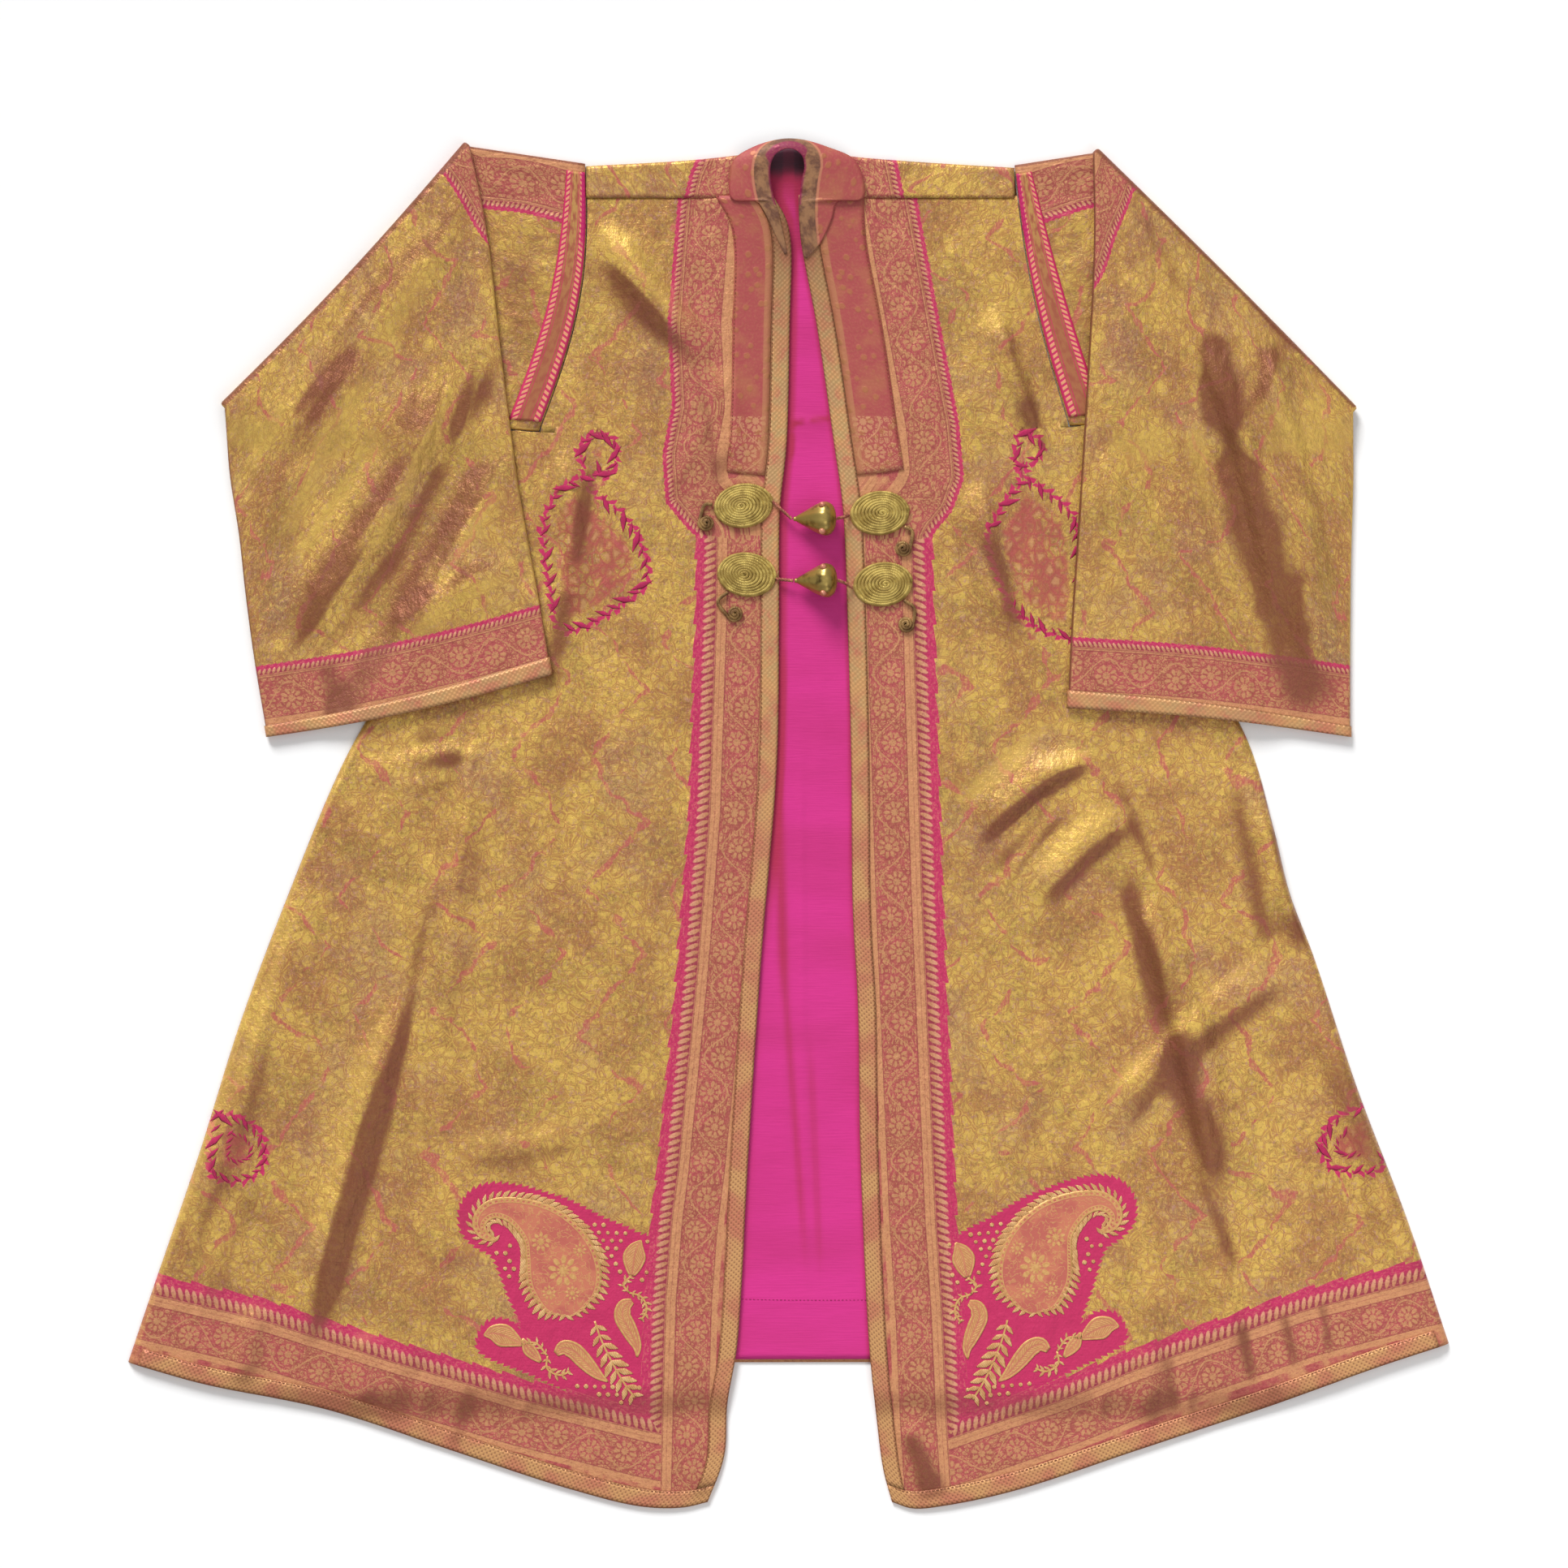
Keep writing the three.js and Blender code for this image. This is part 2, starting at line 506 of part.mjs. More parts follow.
// One ring of points round a flattened sleeve section. Its two layers stand reach away from the
// section's middle and meet in a half circle at each folded edge, as far out as beyond.
function sleeveRing(section, reach) {
  const width = section(0).mid.distanceTo(section(1).mid);
  const beyond = reach - SLEEVE_REACH;
  const nose = SLEEVE_TURN.map((angle) => (reach * (1 - Math.cos(angle)) - beyond) / width);
  const rise = SLEEVE_TURN.map((angle) => reach * Math.sin(angle));
  const middle = Array.from({ length: SLEEVE_STEPS - 1 }, (_, k) =>
    lerp(nose.at(-1), 1 - nose.at(-1), (k + 1) / SLEEVE_STEPS),
  );
  const shares = [...nose, ...middle, ...nose.map((share) => 1 - share).reverse()];
  const offsets = [...rise, ...middle.map(() => reach), ...rise.slice().reverse()];
  const place = (k, sign) => {
    const { mid, normal } = section(shares[k]);
    return mid.clone().addScaledVector(normal, sign * offsets[k]);
  };
  const last = shares.length - 1;
  const over = shares.map((_, k) => place(k, 1));
  const below = shares.slice(1, last).map((_, k) => place(last - 1 - k, -1));
  return [...over, ...below];
}

// A tube wall between two stacks of rings, open at both ends.
function tubeWall(outerRings, innerRings) {
  const count = outerRings[0].length;
  const rings = [...outerRings, ...innerRings.slice().reverse()];
  const positions = rings.flat().flatMap((p) => [p.x, p.y, Math.max(p.z, 0)]);
  const index = [];
  rings.forEach((_, r) => {
    const next = (r + 1) % rings.length;
    const returning = r >= outerRings.length;
    for (let k = 0; k < count; k++) {
      const [a, b] = [r * count + k, r * count + ((k + 1) % count)];
      const [c, d] = [next * count + ((k + 1) % count), next * count + k];
      if (returning) index.push(a, b, d, b, c, d);
      else index.push(a, b, c, a, c, d);
    }
  });
  return facingOut(positions, index);
}

function sleeveWall(sections) {
  const outer = sections.map((section) => sleeveRing(section, SLEEVE_REACH));
  const inner = sections.map((section) => sleeveRing(section, SLEEVE_REACH - SHELL));
  return tubeWall(outer, inner);
}

// The binding sewn round a cuff, over the sleeve's last stretch.
function cuffBinding(sections) {
  const stretch = sections.slice(-2);
  const outer = stretch.map((section) => sleeveRing(section, SLEEVE_REACH + SEAM_GAP + STRIP_WALL));
  const inner = stretch.map((section) => sleeveRing(section, SLEEVE_REACH + SEAM_GAP));
  return tubeWall(outer, inner);
}

// The back: a flat sheet that turns over at the shoulders and comes forward to the fronts' seams.
function backWall() {
  const shares = Array.from({ length: BACK_COLUMNS + 1 }, (_, k) => k / BACK_COLUMNS);
  const underarm = BACK_ROWS[BACK_UNDERARM_ROW];
  const edge = (half, corner) => {
    const { under } = half.armhole;
    const inset = half.out * SIDE_INSET;
    const side = curveOf([
      corner,
      ...half.side.slice(0, -1).map(([x, y]) => [x - inset, y]).reverse(),
      [under[0] - half.out * UNDERARM_EASE, under[1] - UNDERARM_EASE],
    ]);
    const topShare = SIDE_ROLL / (half.armhole.top[1] - under[1]);
    return (t) => t <= underarm
      ? side(t / underarm)
      : armholePoint(half, lerp(1, topShare, (t - underarm) / (1 - underarm)), ARMHOLE_GAP);
  };
  const bendReach = (SEAM_MID + SHOULDER_SEAM_LIFT - BACK_MID) / 2;
  const left = edge(LEFT, BACK_HEM[0]);
  const right = edge(RIGHT, BACK_HEM.at(-1));
  const hem = curveOf(BACK_HEM);
  const shoulderRows = SHOULDER_LINE.map(([x, y]) => [x, y - bendReach - SHELL / 2]);
  shoulderRows[0] = [left(1).x, left(1).y];
  shoulderRows[shoulderRows.length - 1] = [right(1).x, right(1).y];
  const shoulder = curveOf(shoulderRows);
  const plan = spreadPanel(left, right, hem, shoulder);
  const grid = BACK_ROWS.map((t) => shares.map((s) => plan(s, t).setZ(BACK_MID)));
  const sheetRows = grid.length;
  for (let k = 1; k <= BACK_BEND_STEPS; k++) {
    const angle = (Math.PI * k) / BACK_BEND_STEPS;
    grid.push(shares.map((s) => {
      const p = plan(s, 1);
      return new THREE.Vector3(
        p.x, p.y + bendReach * Math.sin(angle), BACK_MID + bendReach * (1 - Math.cos(angle)),
      );
    }));
  }
  grid.push(shares.map((s) => {
    const p = plan(s, 1);
    return new THREE.Vector3(p.x, SHOULDER_SEAM_Y + SEAM_GAP + BACK_SEAM_LAP, SEAM_MID);
  }));
  const lastRow = grid[sheetRows - 1];
  const neck = [NECK_LEFT - NECK_MARGIN, NECK_RIGHT + NECK_MARGIN];
  const overNeck = (j) => lastRow[j].x > neck[0] && lastRow[j + 1].x < neck[1];
  const mask = (i, j) => i < sheetRows - 1 || !overNeck(j);
  return clothWall(grid, SHELL, { mask });
}

// The pink lining inside the back, which shows between the fronts.
function liningWall() {
  const edge = (half) => {
    const inset = half.out * (FRONT_WALL + SEAM_GAP + 2 * LINING_REACH);
    const side = half.side.slice(1, -1).map(([x, y]) => [x - inset, y]).reverse();
    const armhole = LINING_ARMHOLE_SHARES.map((share) => {
      const p = armholePoint(half, share, LINING_REACH);
      return [p.x, p.y];
    });
    return [...side, ...armhole];
  };
  const hem = BACK_HEM.map(([x, y]) => [x * LINING_HEM_SHARE, y + LINING_HEM_RISE]);
  const left = curveOf([hem[0], ...edge(LEFT)]);
  const right = curveOf([hem.at(-1), ...edge(RIGHT)]);
  const top = curveOf([edge(LEFT).at(-1), ...LINING_TOP, edge(RIGHT).at(-1)]);
  const plan = spreadPanel(left, right, curveOf(hem), top);
  const [rows, columns] = LINING_STEPS;
  const grid = Array.from({ length: rows + 1 }, (_, i) =>
    Array.from({ length: columns + 1 }, (_, j) => plan(j / columns, i / rows).setZ(LINING_MID)),
  );
  return clothWall(grid, LINING_WALL);
}

// The collar that joins the two neckbands round the back of the neck and stands up at the hole.
function collarWall() {
  const [rows, columns] = COLLAR_STEPS;
  const path = (key) => new THREE.CatmullRomCurve3(
    COLLAR_SECTIONS.map((row) => new THREE.Vector3(...row[key])), false, "centripetal",
  );
  const [hole, sewn] = [path("hole"), path("sewn")];
  const grid = Array.from({ length: rows + 1 }, (_, i) =>
    Array.from({ length: columns + 1 }, (_, j) => {
      const p = hole.getPoint(i / rows).lerp(sewn.getPoint(i / rows), j / columns);
      return p.setZ(p.z + COLLAR_WAVE * Math.sin((Math.PI * j) / columns));
    }),
  );
  return clothWall(grid, COLLAR_WALL);
}

// A closed mesh as a solid, and back.
function solidOf(geometry) {
  const bare = geometry.clone();
  bare.deleteAttribute("normal");
  bare.deleteAttribute("uv");
  const merged = mergeVertices(bare, 1e-3);
  return new wasm.Manifold(new wasm.Mesh({
    numProp: 3,
    vertProperties: merged.attributes.position.array,
    triVerts: new Uint32Array(merged.index.array),
  }));
}

function geometryOf(solid) {
  const mesh = solid.getMesh();
  const geometry = new THREE.BufferGeometry();
  geometry.setAttribute("position", new THREE.BufferAttribute(mesh.vertProperties, 3));
  geometry.setIndex(new THREE.BufferAttribute(mesh.triVerts, 1));
  return geometry.toNonIndexed();
}

// A round cord along a smooth route of [x, y, z].
function cordAlong(route, steps) {
  const round = new THREE.EllipseCurve(0, 0, CORD_RADIUS, CORD_RADIUS);
  const section = new THREE.Shape(round.getPoints(CORD_SIDES).slice(0, CORD_SIDES));
  const path = new THREE.CatmullRomCurve3(route.map((p) => new THREE.Vector3(...p)));
  return new THREE.ExtrudeGeometry(section, { steps, bevelEnabled: false, extrudePath: path });
}

const choga = new THREE.Group();
function add(name, geometry, finish) {
  const mesh = new THREE.Mesh(geometry, new THREE.MeshStandardMaterial(finish));
  mesh.name = name;
  choga.add(mesh);
  return mesh;
}

// The body and sleeves of one side, with the strips sewn on them.
function addSide(half) {
  const panel = frontPanel(half);
  const opening = new THREE.CatmullRomCurve3(half.opening.map(([x, y]) => new THREE.Vector3(x, y, 0)));
  const grid = frontRows(opening.getLength()).map((t) => {
    const width = panel(1, t).setZ(0).distanceTo(panel(0, t).setZ(0));
    return frontShares(half, width).map((s) => panel(s, t));
  });
  add(`front_${half.name}`, clothWall(grid, FRONT_WALL), GOLD);

  // The strips lie on the front's own points, moved out by the seam's gap.
  const lastRow = grid.length - 2;
  const strip = (mask) => clothWall(grid, STRIP_WALL, { lift: STRIP_LIFT, mask });
  const [from, to] = NECKBAND_COLUMNS;
  add(`front_binding_${half.name}`, strip((i, j) => j === 0 && i < lastRow - 1), BORDER);
  const rollFrom = grid[0].length - SIDE_ROLL_STEPS.length;
  add(`hem_binding_${half.name}`, strip((i, j) => i === lastRow && j < rollFrom), BORDER);
  add(`neckband_${half.name}`, strip((i, j) => i < NECKBAND_ROWS && j >= from && j < to), BAND);

  const sections = sleeveSections(half);
  add(`sleeve_${half.name}`, sleeveWall(sections), GOLD);
  add(`cuff_binding_${half.name}`, cuffBinding(sections), BORDER);

  const stretch = sections[0](0.5).mid.distanceTo(sections[3](0.5).mid);
  const bandShare = ARMHOLE_BAND_WIDTH / stretch;
  const bandGrid = Array.from({ length: ARMHOLE_BAND_STEPS + 1 }, (_, i) =>
    Array.from({ length: 3 }, (_, j) => {
      const s = lerp(...ARMHOLE_BAND_SHARES, i / ARMHOLE_BAND_STEPS);
      const a = sections[0](s).mid;
      const b = sections[3](s).mid;
      const reach = lerp(ARMHOLE_BAND_START / stretch, bandShare * lerp(...ARMHOLE_BAND_TAPER, s), j / 2);
      return a.lerp(b, reach).setZ(SEAM_MID + SHELL / 2 + SEAM_GAP + STRIP_WALL / 2);
    }),
  );
  add(`armhole_band_${half.name}`, clothWall(bandGrid, STRIP_WALL), BORDER);
}

// One pad of coiled gilt cord with its tail, which ends in a small coil.
function addPad(name, { pad, turn, curl, bend }, out) {
  const profile = [[0, 0], [0.9, 0], [1, 0.25], [0.97, 0.6], [0.82, 0.9], [0.5, 1], [0, 1.05]]
    .map(([r, z]) => new THREE.Vector2(r * PAD_HALF[0], z * PAD_HEIGHT));
  const disc = new THREE.LatheGeometry(profile, 22).rotateX(Math.PI / 2);
  const mesh = add(`pad_${name}`, disc, GILT_CORD);
  mesh.scale.set(1, PAD_HALF[1] / PAD_HALF[0], 1);
  mesh.rotation.z = THREE.MathUtils.degToRad(turn);
  mesh.position.set(pad[0], pad[1], PAD_BOTTOM);

  const coil = new THREE.SphereGeometry(1, 12, 6).scale(CURL_RADIUS, CURL_RADIUS, CURL_HALF_HEIGHT);
  const coilZ = FRONT_FLAT_TOP + SEAM_GAP + CURL_HALF_HEIGHT;
  coil.translate(curl[0], curl[1], coilZ);
  const way = new THREE.Vector2(bend[0] - pad[0], bend[1] - pad[1]);
  const turned = way.clone().rotateAround(new THREE.Vector2(), -THREE.MathUtils.degToRad(turn));
  const rim = 1 / Math.hypot(turned.x / PAD_HALF[0], turned.y / PAD_HALF[1]);
  const start = [
    pad[0] + way.x * rim + (way.x / way.length()) * (SEAM_GAP + CORD_RADIUS * 0.4),
    pad[1] + way.y * rim + (way.y / way.length()) * (SEAM_GAP + CORD_RADIUS * 0.4),
    PAD_BOTTOM + CORD_RADIUS,
  ];
  const tail = cordAlong([start, [bend[0], bend[1], coilZ], [curl[0], curl[1], coilZ]], 9);
  add(`curl_${name}`, geometryOf(solidOf(tail).add(solidOf(coil))), GILT_CORD);
  const reach = out * PAD_HALF[0];
  return { x: pad[0] - reach * Math.cos(mesh.rotation.z), y: pad[1] - reach * Math.sin(mesh.rotation.z) };
}

// A frog: two pads, a pear-shaped button that lies between them, and a cord on each side of it.
function addFastening({ name, left, right, button }) {
  const leftEnd = addPad(`${name}_left`, left, -1);
  const rightEnd = addPad(`${name}_right`, right, 1);
  const profile = [
    [0, 0], [1.9, 0.5], [3.4, 4], [8.2, 13], [13, 22], [15.9, 28],
    [BUTTON_RADIUS, BUTTON_WIDEST], [14.6, 36.4],
    [9.8, 39.8], [4, BUTTON_LENGTH], [0, BUTTON_LENGTH],
  ].map(([r, along]) => new THREE.Vector2(r, along - BUTTON_LENGTH / 2));
  const pear = new THREE.LatheGeometry(profile, 16).rotateZ(-Math.PI / 2);
  const mesh = add(`button_${name}`, pear, BRASS);
  const tilt = THREE.MathUtils.degToRad(BUTTON_TILT);
  mesh.rotation.y = -tilt;
  const widest = BUTTON_WIDEST - BUTTON_LENGTH / 2;
  const liningTop = LINING_MID + LINING_WALL / 2;
  const centreZ = liningTop + BUTTON_LIFT + BUTTON_RADIUS * Math.cos(tilt) - widest * Math.sin(tilt);
  mesh.position.set(button[0], button[1], centreZ);
  const endAt = (along) => [
    button[0] + along * Math.cos(tilt), button[1], centreZ + along * Math.sin(tilt),
  ];
  const reach = BUTTON_LENGTH / 2 + SEAM_GAP + CORD_RADIUS * 0.6;
  const cordZ = PAD_BOTTOM + PAD_HEIGHT * 0.35;
  add(`cord_${name}_left`, cordAlong([
    [leftEnd.x + CORD_RADIUS * 0.4, leftEnd.y, cordZ], endAt(-reach),
  ], 4), GILT_CORD);
  add(`cord_${name}_right`, cordAlong([
    endAt(reach), [lerp(endAt(reach)[0], rightEnd.x, 0.6), lerp(button[1], rightEnd.y, 0.5), 15],
    [rightEnd.x - CORD_RADIUS * 0.4, rightEnd.y, cordZ],
  ], 5), GILT_CORD);
}

add("back", backWall(), GOLD);
add("back_lining", liningWall(), PINK_SILK);
for (const half of [LEFT, RIGHT]) addSide(half);
add("collar", collarWall(), BAND);
for (const fastening of FASTENINGS) addFastening(fastening);

export default choga;
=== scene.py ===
"""A choga: a long open coat of gold brocade lined in pink silk, laid flat and seen from above.

Every form is worked out in millimetres, X across the coat, +Y towards its neck and +Z up from the
surface that it lies on. Meshes are made in metres. Left and right are those of the view from above.
"""
import logging
import math
from collections.abc import Callable, Sequence
from dataclasses import dataclass
from enum import Enum

import bpy
import numpy as np
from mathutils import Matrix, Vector
from mathutils.bvhtree import BVHTree


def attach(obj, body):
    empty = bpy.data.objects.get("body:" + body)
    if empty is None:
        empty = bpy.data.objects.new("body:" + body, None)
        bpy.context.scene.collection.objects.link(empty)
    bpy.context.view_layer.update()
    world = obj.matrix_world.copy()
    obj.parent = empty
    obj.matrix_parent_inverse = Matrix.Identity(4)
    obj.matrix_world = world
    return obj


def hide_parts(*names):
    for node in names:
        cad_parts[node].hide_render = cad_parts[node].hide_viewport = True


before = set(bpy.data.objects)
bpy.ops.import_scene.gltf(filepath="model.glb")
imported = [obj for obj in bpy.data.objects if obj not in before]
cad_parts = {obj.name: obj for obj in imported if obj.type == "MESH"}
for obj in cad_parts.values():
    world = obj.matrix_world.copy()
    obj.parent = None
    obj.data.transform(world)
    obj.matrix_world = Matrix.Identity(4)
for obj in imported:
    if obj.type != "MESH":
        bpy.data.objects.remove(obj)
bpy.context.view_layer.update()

LOG = logging.getLogger("choga")
MM = 0.001
BODY = "root"

# Cloth walls and the gap that seams keep
SHELL = 1.6
FRONT_WALL = 2.0
LINING_WALL = 1.0
STRIP_WALL = 1.0
SEAM_GAP = 0.3

# Heights of the middle of each layer above the surface
BACK_MID = SHELL / 2
LINING_MID = SHELL + SEAM_GAP + LINING_WALL / 2
FRONT_MID = 4.4
SEAM_MID = 5.0
SLEEVE_HALF = (SEAM_MID - BACK_MID) / 2
SLEEVE_MID = BACK_MID + SLEEVE_HALF
FOLDED_REST = 7.6
FOLDED_MID = FOLDED_REST + SHELL / 2 + SLEEVE_HALF
FOLD_RADIUS = (FOLDED_MID - SLEEVE_MID) / 2
SLEEVE_REACH = SLEEVE_HALF + SHELL / 2
FOLD_REACH = FOLD_RADIUS + SLEEVE_REACH

# Sizes that shape the panels
BINDING_WIDTH = 17.5
ARMHOLE_BAND_WIDTH = 29
SIDE_ROLL = 6
CLOTH_FALL = 45
HEM_FALL = (20, 60)
NECK_RISE = 7
NECK_REACH = 42
NECK_PLACE = (596, 640)
YOKE_END = 272
BODY_LOFT = 1.6
SEAM_DEPTH = 30
UNDERARM_SHARE = 0.18
ARMHOLE_GAP = 1
UNDERARM_EASE = 1.5
SIDE_INSET = 8
STRIP_LIFT = FRONT_WALL / 2 + SEAM_GAP + STRIP_WALL / 2
SHOULDER_SEAM_Y = 596
SHOULDER_SEAM_LIFT = 1.2

Table = Sequence[Sequence[float]]
Places = np.ndarray | float


@dataclass(frozen=True)
class Half:
    """One side of the coat as it is cut and laid, seen from above.

    Folds are rows of x0, y0, x1, y1, bow, half width, rise and lean. Shades are such rows too, for
    stretches of painted shade where the cloth turns from the light, with how dark they are painted in
    place of the rise (below 0 for painted highlights where it catches the light). The border's lines
    are where it begins on a front, down the opening and along the hem, each carried on past the corner
    where they meet. That corner has its x, y and turn in degrees.
    """

    name: str
    out: int
    opening: Table
    side: Table
    hem: Table
    armhole_top: Sequence[float]
    armhole_under: Sequence[float]
    armhole_bow: float
    fold_top: Sequence[float]
    fold_under: Sequence[float]
    fold_bow: float
    inner: Table
    outer: Table
    cuff_bow: float
    neckband_to: float
    front_folds: Table
    sleeve_folds: Table
    front_creases: Table
    sleeve_creases: Table
    front_shades: Table
    sleeve_shades: Table
    border_front: Table
    border_hem: Table
    corner: Sequence[float]
    shoulder_border: Table
    armpit_motif: Table
    side_motif: Table
    seed: int


LEFT = Half(
    name="left",
    out=-1,
    opening=[
        (-15, 596), (-2, 573), (2.3, 551), (1.2, 474), (-1.9, 358), (-8, 300), (-9, 197), (-11, 58),
        (-25.8, -127), (-38, -312), (-49, -497), (-58, -550), (-61, -600), (-76.7, -643.8),
    ],
    side=[
        (-272, 370.5), (-306, 312), (-362, 168), (-422.9, 57.8), (-474.5, -65.5), (-520.8, -189),
        (-559.4, -312), (-601.8, -436), (-627.2, -511.2),
    ],
    hem=[
        (-76.7, -643.8), (-100, -649), (-140, -648), (-209, -631), (-325, -593), (-440, -555),
        (-556, -531), (-627.2, -511.2),
    ],
    armhole_top=(-193.1, 626.8),
    armhole_under=(-237.1, 372.4),
    armhole_bow=17,
    fold_top=(-307.2, 647.6),
    fold_under=(-539.3, 398.6),
    fold_bow=-4.5,
    inner=[(-286.4, 566.7), (-271, 435.6), (-255.6, 320), (-236.3, 212), (-224.7, 141.1)],
    outer=[(-530.8, 335.4), (-521.6, 273.7), (-514.7, 212), (-506.2, 150.3), (-494.6, 82.5)],
    cuff_bow=-6,
    neckband_to=54,
    front_folds=[
        (-178, 575, -66, 440, 4, 15, 7.5, 0.3),
        (-66, 445, -52, 300, -6, 11, 3.5, 0),
        (-212, 360, -200, 200, 0, 16, 4, 0.2),
        (-294, 60, -330, -220, 5, 12, 4.5, -0.4),
        (-358, -150, -460, -500, 0, 16, 6, 0.45),
        (-300, -300, -395, -590, 0, 20, 3, 0),
        (-410, 70, -300, 95, 8, 20, 3, 0),
        (-440, -40, -590, -430, -6, 16, 4, 0),
        (-320, -310, -190, -290, 6, 14, 2.5, 0),
        (-150, 150, -130, -420, 10, 26, 2.2, 0),
        (-505, -455, -520, -530, 0, 13, 3.5, 0),
        (-400, -480, -405, -560, 0, 12, 3, 0),
        (-95, -560, -80, -640, 0, 14, 3, 0),
    ],
    sleeve_folds=[
        (-325, 420, -470, 170, -16, 20, 8.5, 0.4),
        (-405, 450, -490, 270, 0, 20, 6, 0.2),
        (-258, 245, -375, 178, 6, 15, 4.5, 0),
        (-330, 560, -400, 440, 8, 18, 4.5, 0),
        (-290, 360, -300, 190, 8, 22, 3.5, 0),
    ],
    front_creases=[
        (-292, 95, -318, -100, 3, 5, 1.6, 0.5),
        (-330, -40, -372, -330, -5, 5, 1.4, 0.4),
        (-372, -180, -452, -450, 4, 6, 1.8, 0.4),
        (-250, 130, -262, -60, -6, 6, 0.9, 0),
        (-196, 90, -190, -250, 8, 7, 0.7, 0),
        (-420, 40, -370, -70, 4, 6, 1.1, 0),
        (-455, -60, -520, -300, 6, 6, 1.2, 0.3),
        (-380, 40, -310, 48, 5, 7, 1.2, 0),
        (-345, 70, -290, 60, -4, 6, 0.9, 0),
        (-270, -200, -240, -420, 6, 6, 0.8, 0),
        (-165, 540, -100, 452, 3, 6, 1.3, 0.3),
        (-140, 470, -112, 380, 0, 7, 0.9, 0),
        (-230, 330, -218, 190, 4, 5, 1.0, 0),
        (-205, 560, -196, 470, 3, 6, 0.9, 0),
        (-545, -330, -580, -470, 3, 6, 1.0, 0),
        (-340, -520, -352, -590, 2, 6, 1.2, 0),
        (-250, -545, -262, -605, 2, 6, 0.9, 0),
        (-170, -560, -160, -630, -3, 7, 0.9, 0),
    ],
    sleeve_creases=[
        (-300, 600, -350, 500, 4, 6, 1.3, 0.3),
        (-360, 560, -440, 440, -5, 6, 1.2, 0),
        (-280, 470, -315, 330, 6, 6, 1.2, 0.2),
        (-310, 440, -420, 250, -8, 6, 1.5, 0.4),
        (-380, 400, -470, 240, 4, 7, 1.3, 0),
        (-430, 430, -500, 330, 3, 6, 1.1, 0),
        (-270, 330, -340, 210, 5, 6, 1.1, 0),
        (-250, 215, -330, 190, 4, 5, 1.2, 0),
        (-420, 210, -490, 130, 4, 6, 1.1, 0),
        (-350, 170, -370, 110, 2, 6, 1.0, 0),
    ],
    # Painted shade rows of the front; those below 0 are painted highlights.
    front_shades=[
        (-196, 548, -103, 452, -6, 18, 1.35, 0.5),
        (-195, 564, -55, 404, -10, 6, -1.6, 0),
        (-329, -35, -380, -250, 0, 9, 1.2, 0),
        (-372, -220, -450, -500, 4, 19, 1.5, 0),
        (-294, 90, -336, -215, 5, 5, 1.1, 0),
        (-362, 82, -300, 60, 0, 20, 1.3, 0),
        (-425, 70, -560, -250, 0, 13, 1.0, 0),
        (-262, 190, -212, 125, 0, 15, 1.2, 0),
        (-205, 100, -222, -20, 4, 12, 0.7, 0),
        (-250, -60, -262, -190, -3, 10, 0.6, 0),
        (-345, -210, -352, -330, 2, 7, -1.0, 0),
        (-430, -40, -495, -260, 2, 9, -0.9, 0),
        (-500, -330, -560, -480, 0, 13, 0.8, 0),
        (-300, -530, -320, -600, 0, 9, 0.9, 0),
        (-85, 430, -62, 300, 0, 8, 0.8, 0),
        (-184, 346, -210, 224, 0, 8, 1.5, 0),
        (-208, 232, -221, 150, 0, 10, 1.5, 0),
    ],
    # Painted shade rows of the sleeve; those below 0 are painted highlights.
    sleeve_shades=[
        (-268, 450, -384, 235, 6, 14, 1.9, 0),
        (-366, 270, -476, 160, 0, 21, 2.1, 0),
        (-372, 368, -488, 232, 0, 9, -1.5, 0),
        (-462, 424, -520, 318, 0, 8, -1.1, 0),
        (-300, 600, -345, 500, 0, 9, 0.8, 0),
        (-405, 470, -470, 350, 0, 11, 1.0, 0),
        (-290, 300, -345, 200, 0, 10, -0.9, 0),
        (-440, 158, -425, 95, 0, 13, 1.2, 0),
        (-260, 225, -330, 192, 0, 9, 1.0, 0),
        (-256, 584, -256, 440, 0, 20, 0.75, 0),
    ],
    border_front=[
        (-104, 610), (-104, 596), (-114, 474), (-110, 397), (-119, 351), (-116, 305), (-95, 280),
        (-86, 272), (-87, 197), (-93, 12), (-105, -143), (-123, -328), (-129, -374), (-135, -451),
        (-138, -557), (-141, -690),
    ],
    border_hem=[
        (0, -587), (-138, -557), (-248, -529), (-379, -490), (-495, -453), (-603, -428), (-650, -415),
    ],
    corner=(-138, -557, 1.5),
    shoulder_border=[(-78, 660), (-81, 644), (-93, 617), (-99, 590)],
    armpit_motif=[
        (-182, 372), (-165, 366), (-162, 343), (-172, 329), (-182, 332), (-188, 318), (-165, 303),
        (-144, 278), (-132, 243), (-134, 227), (-152, 210), (-175, 195), (-200, 183), (-217, 184),
        (-231, 243), (-234, 289), (-217, 320), (-195, 332), (-200, 351), (-194, 366), (-182, 372),
    ],
    side_motif=[
        (-547, -275), (-525, -275), (-504, -288), (-495, -308), (-498, -328), (-518, -340),
        (-547, -334),
    ],
    seed=11,
)
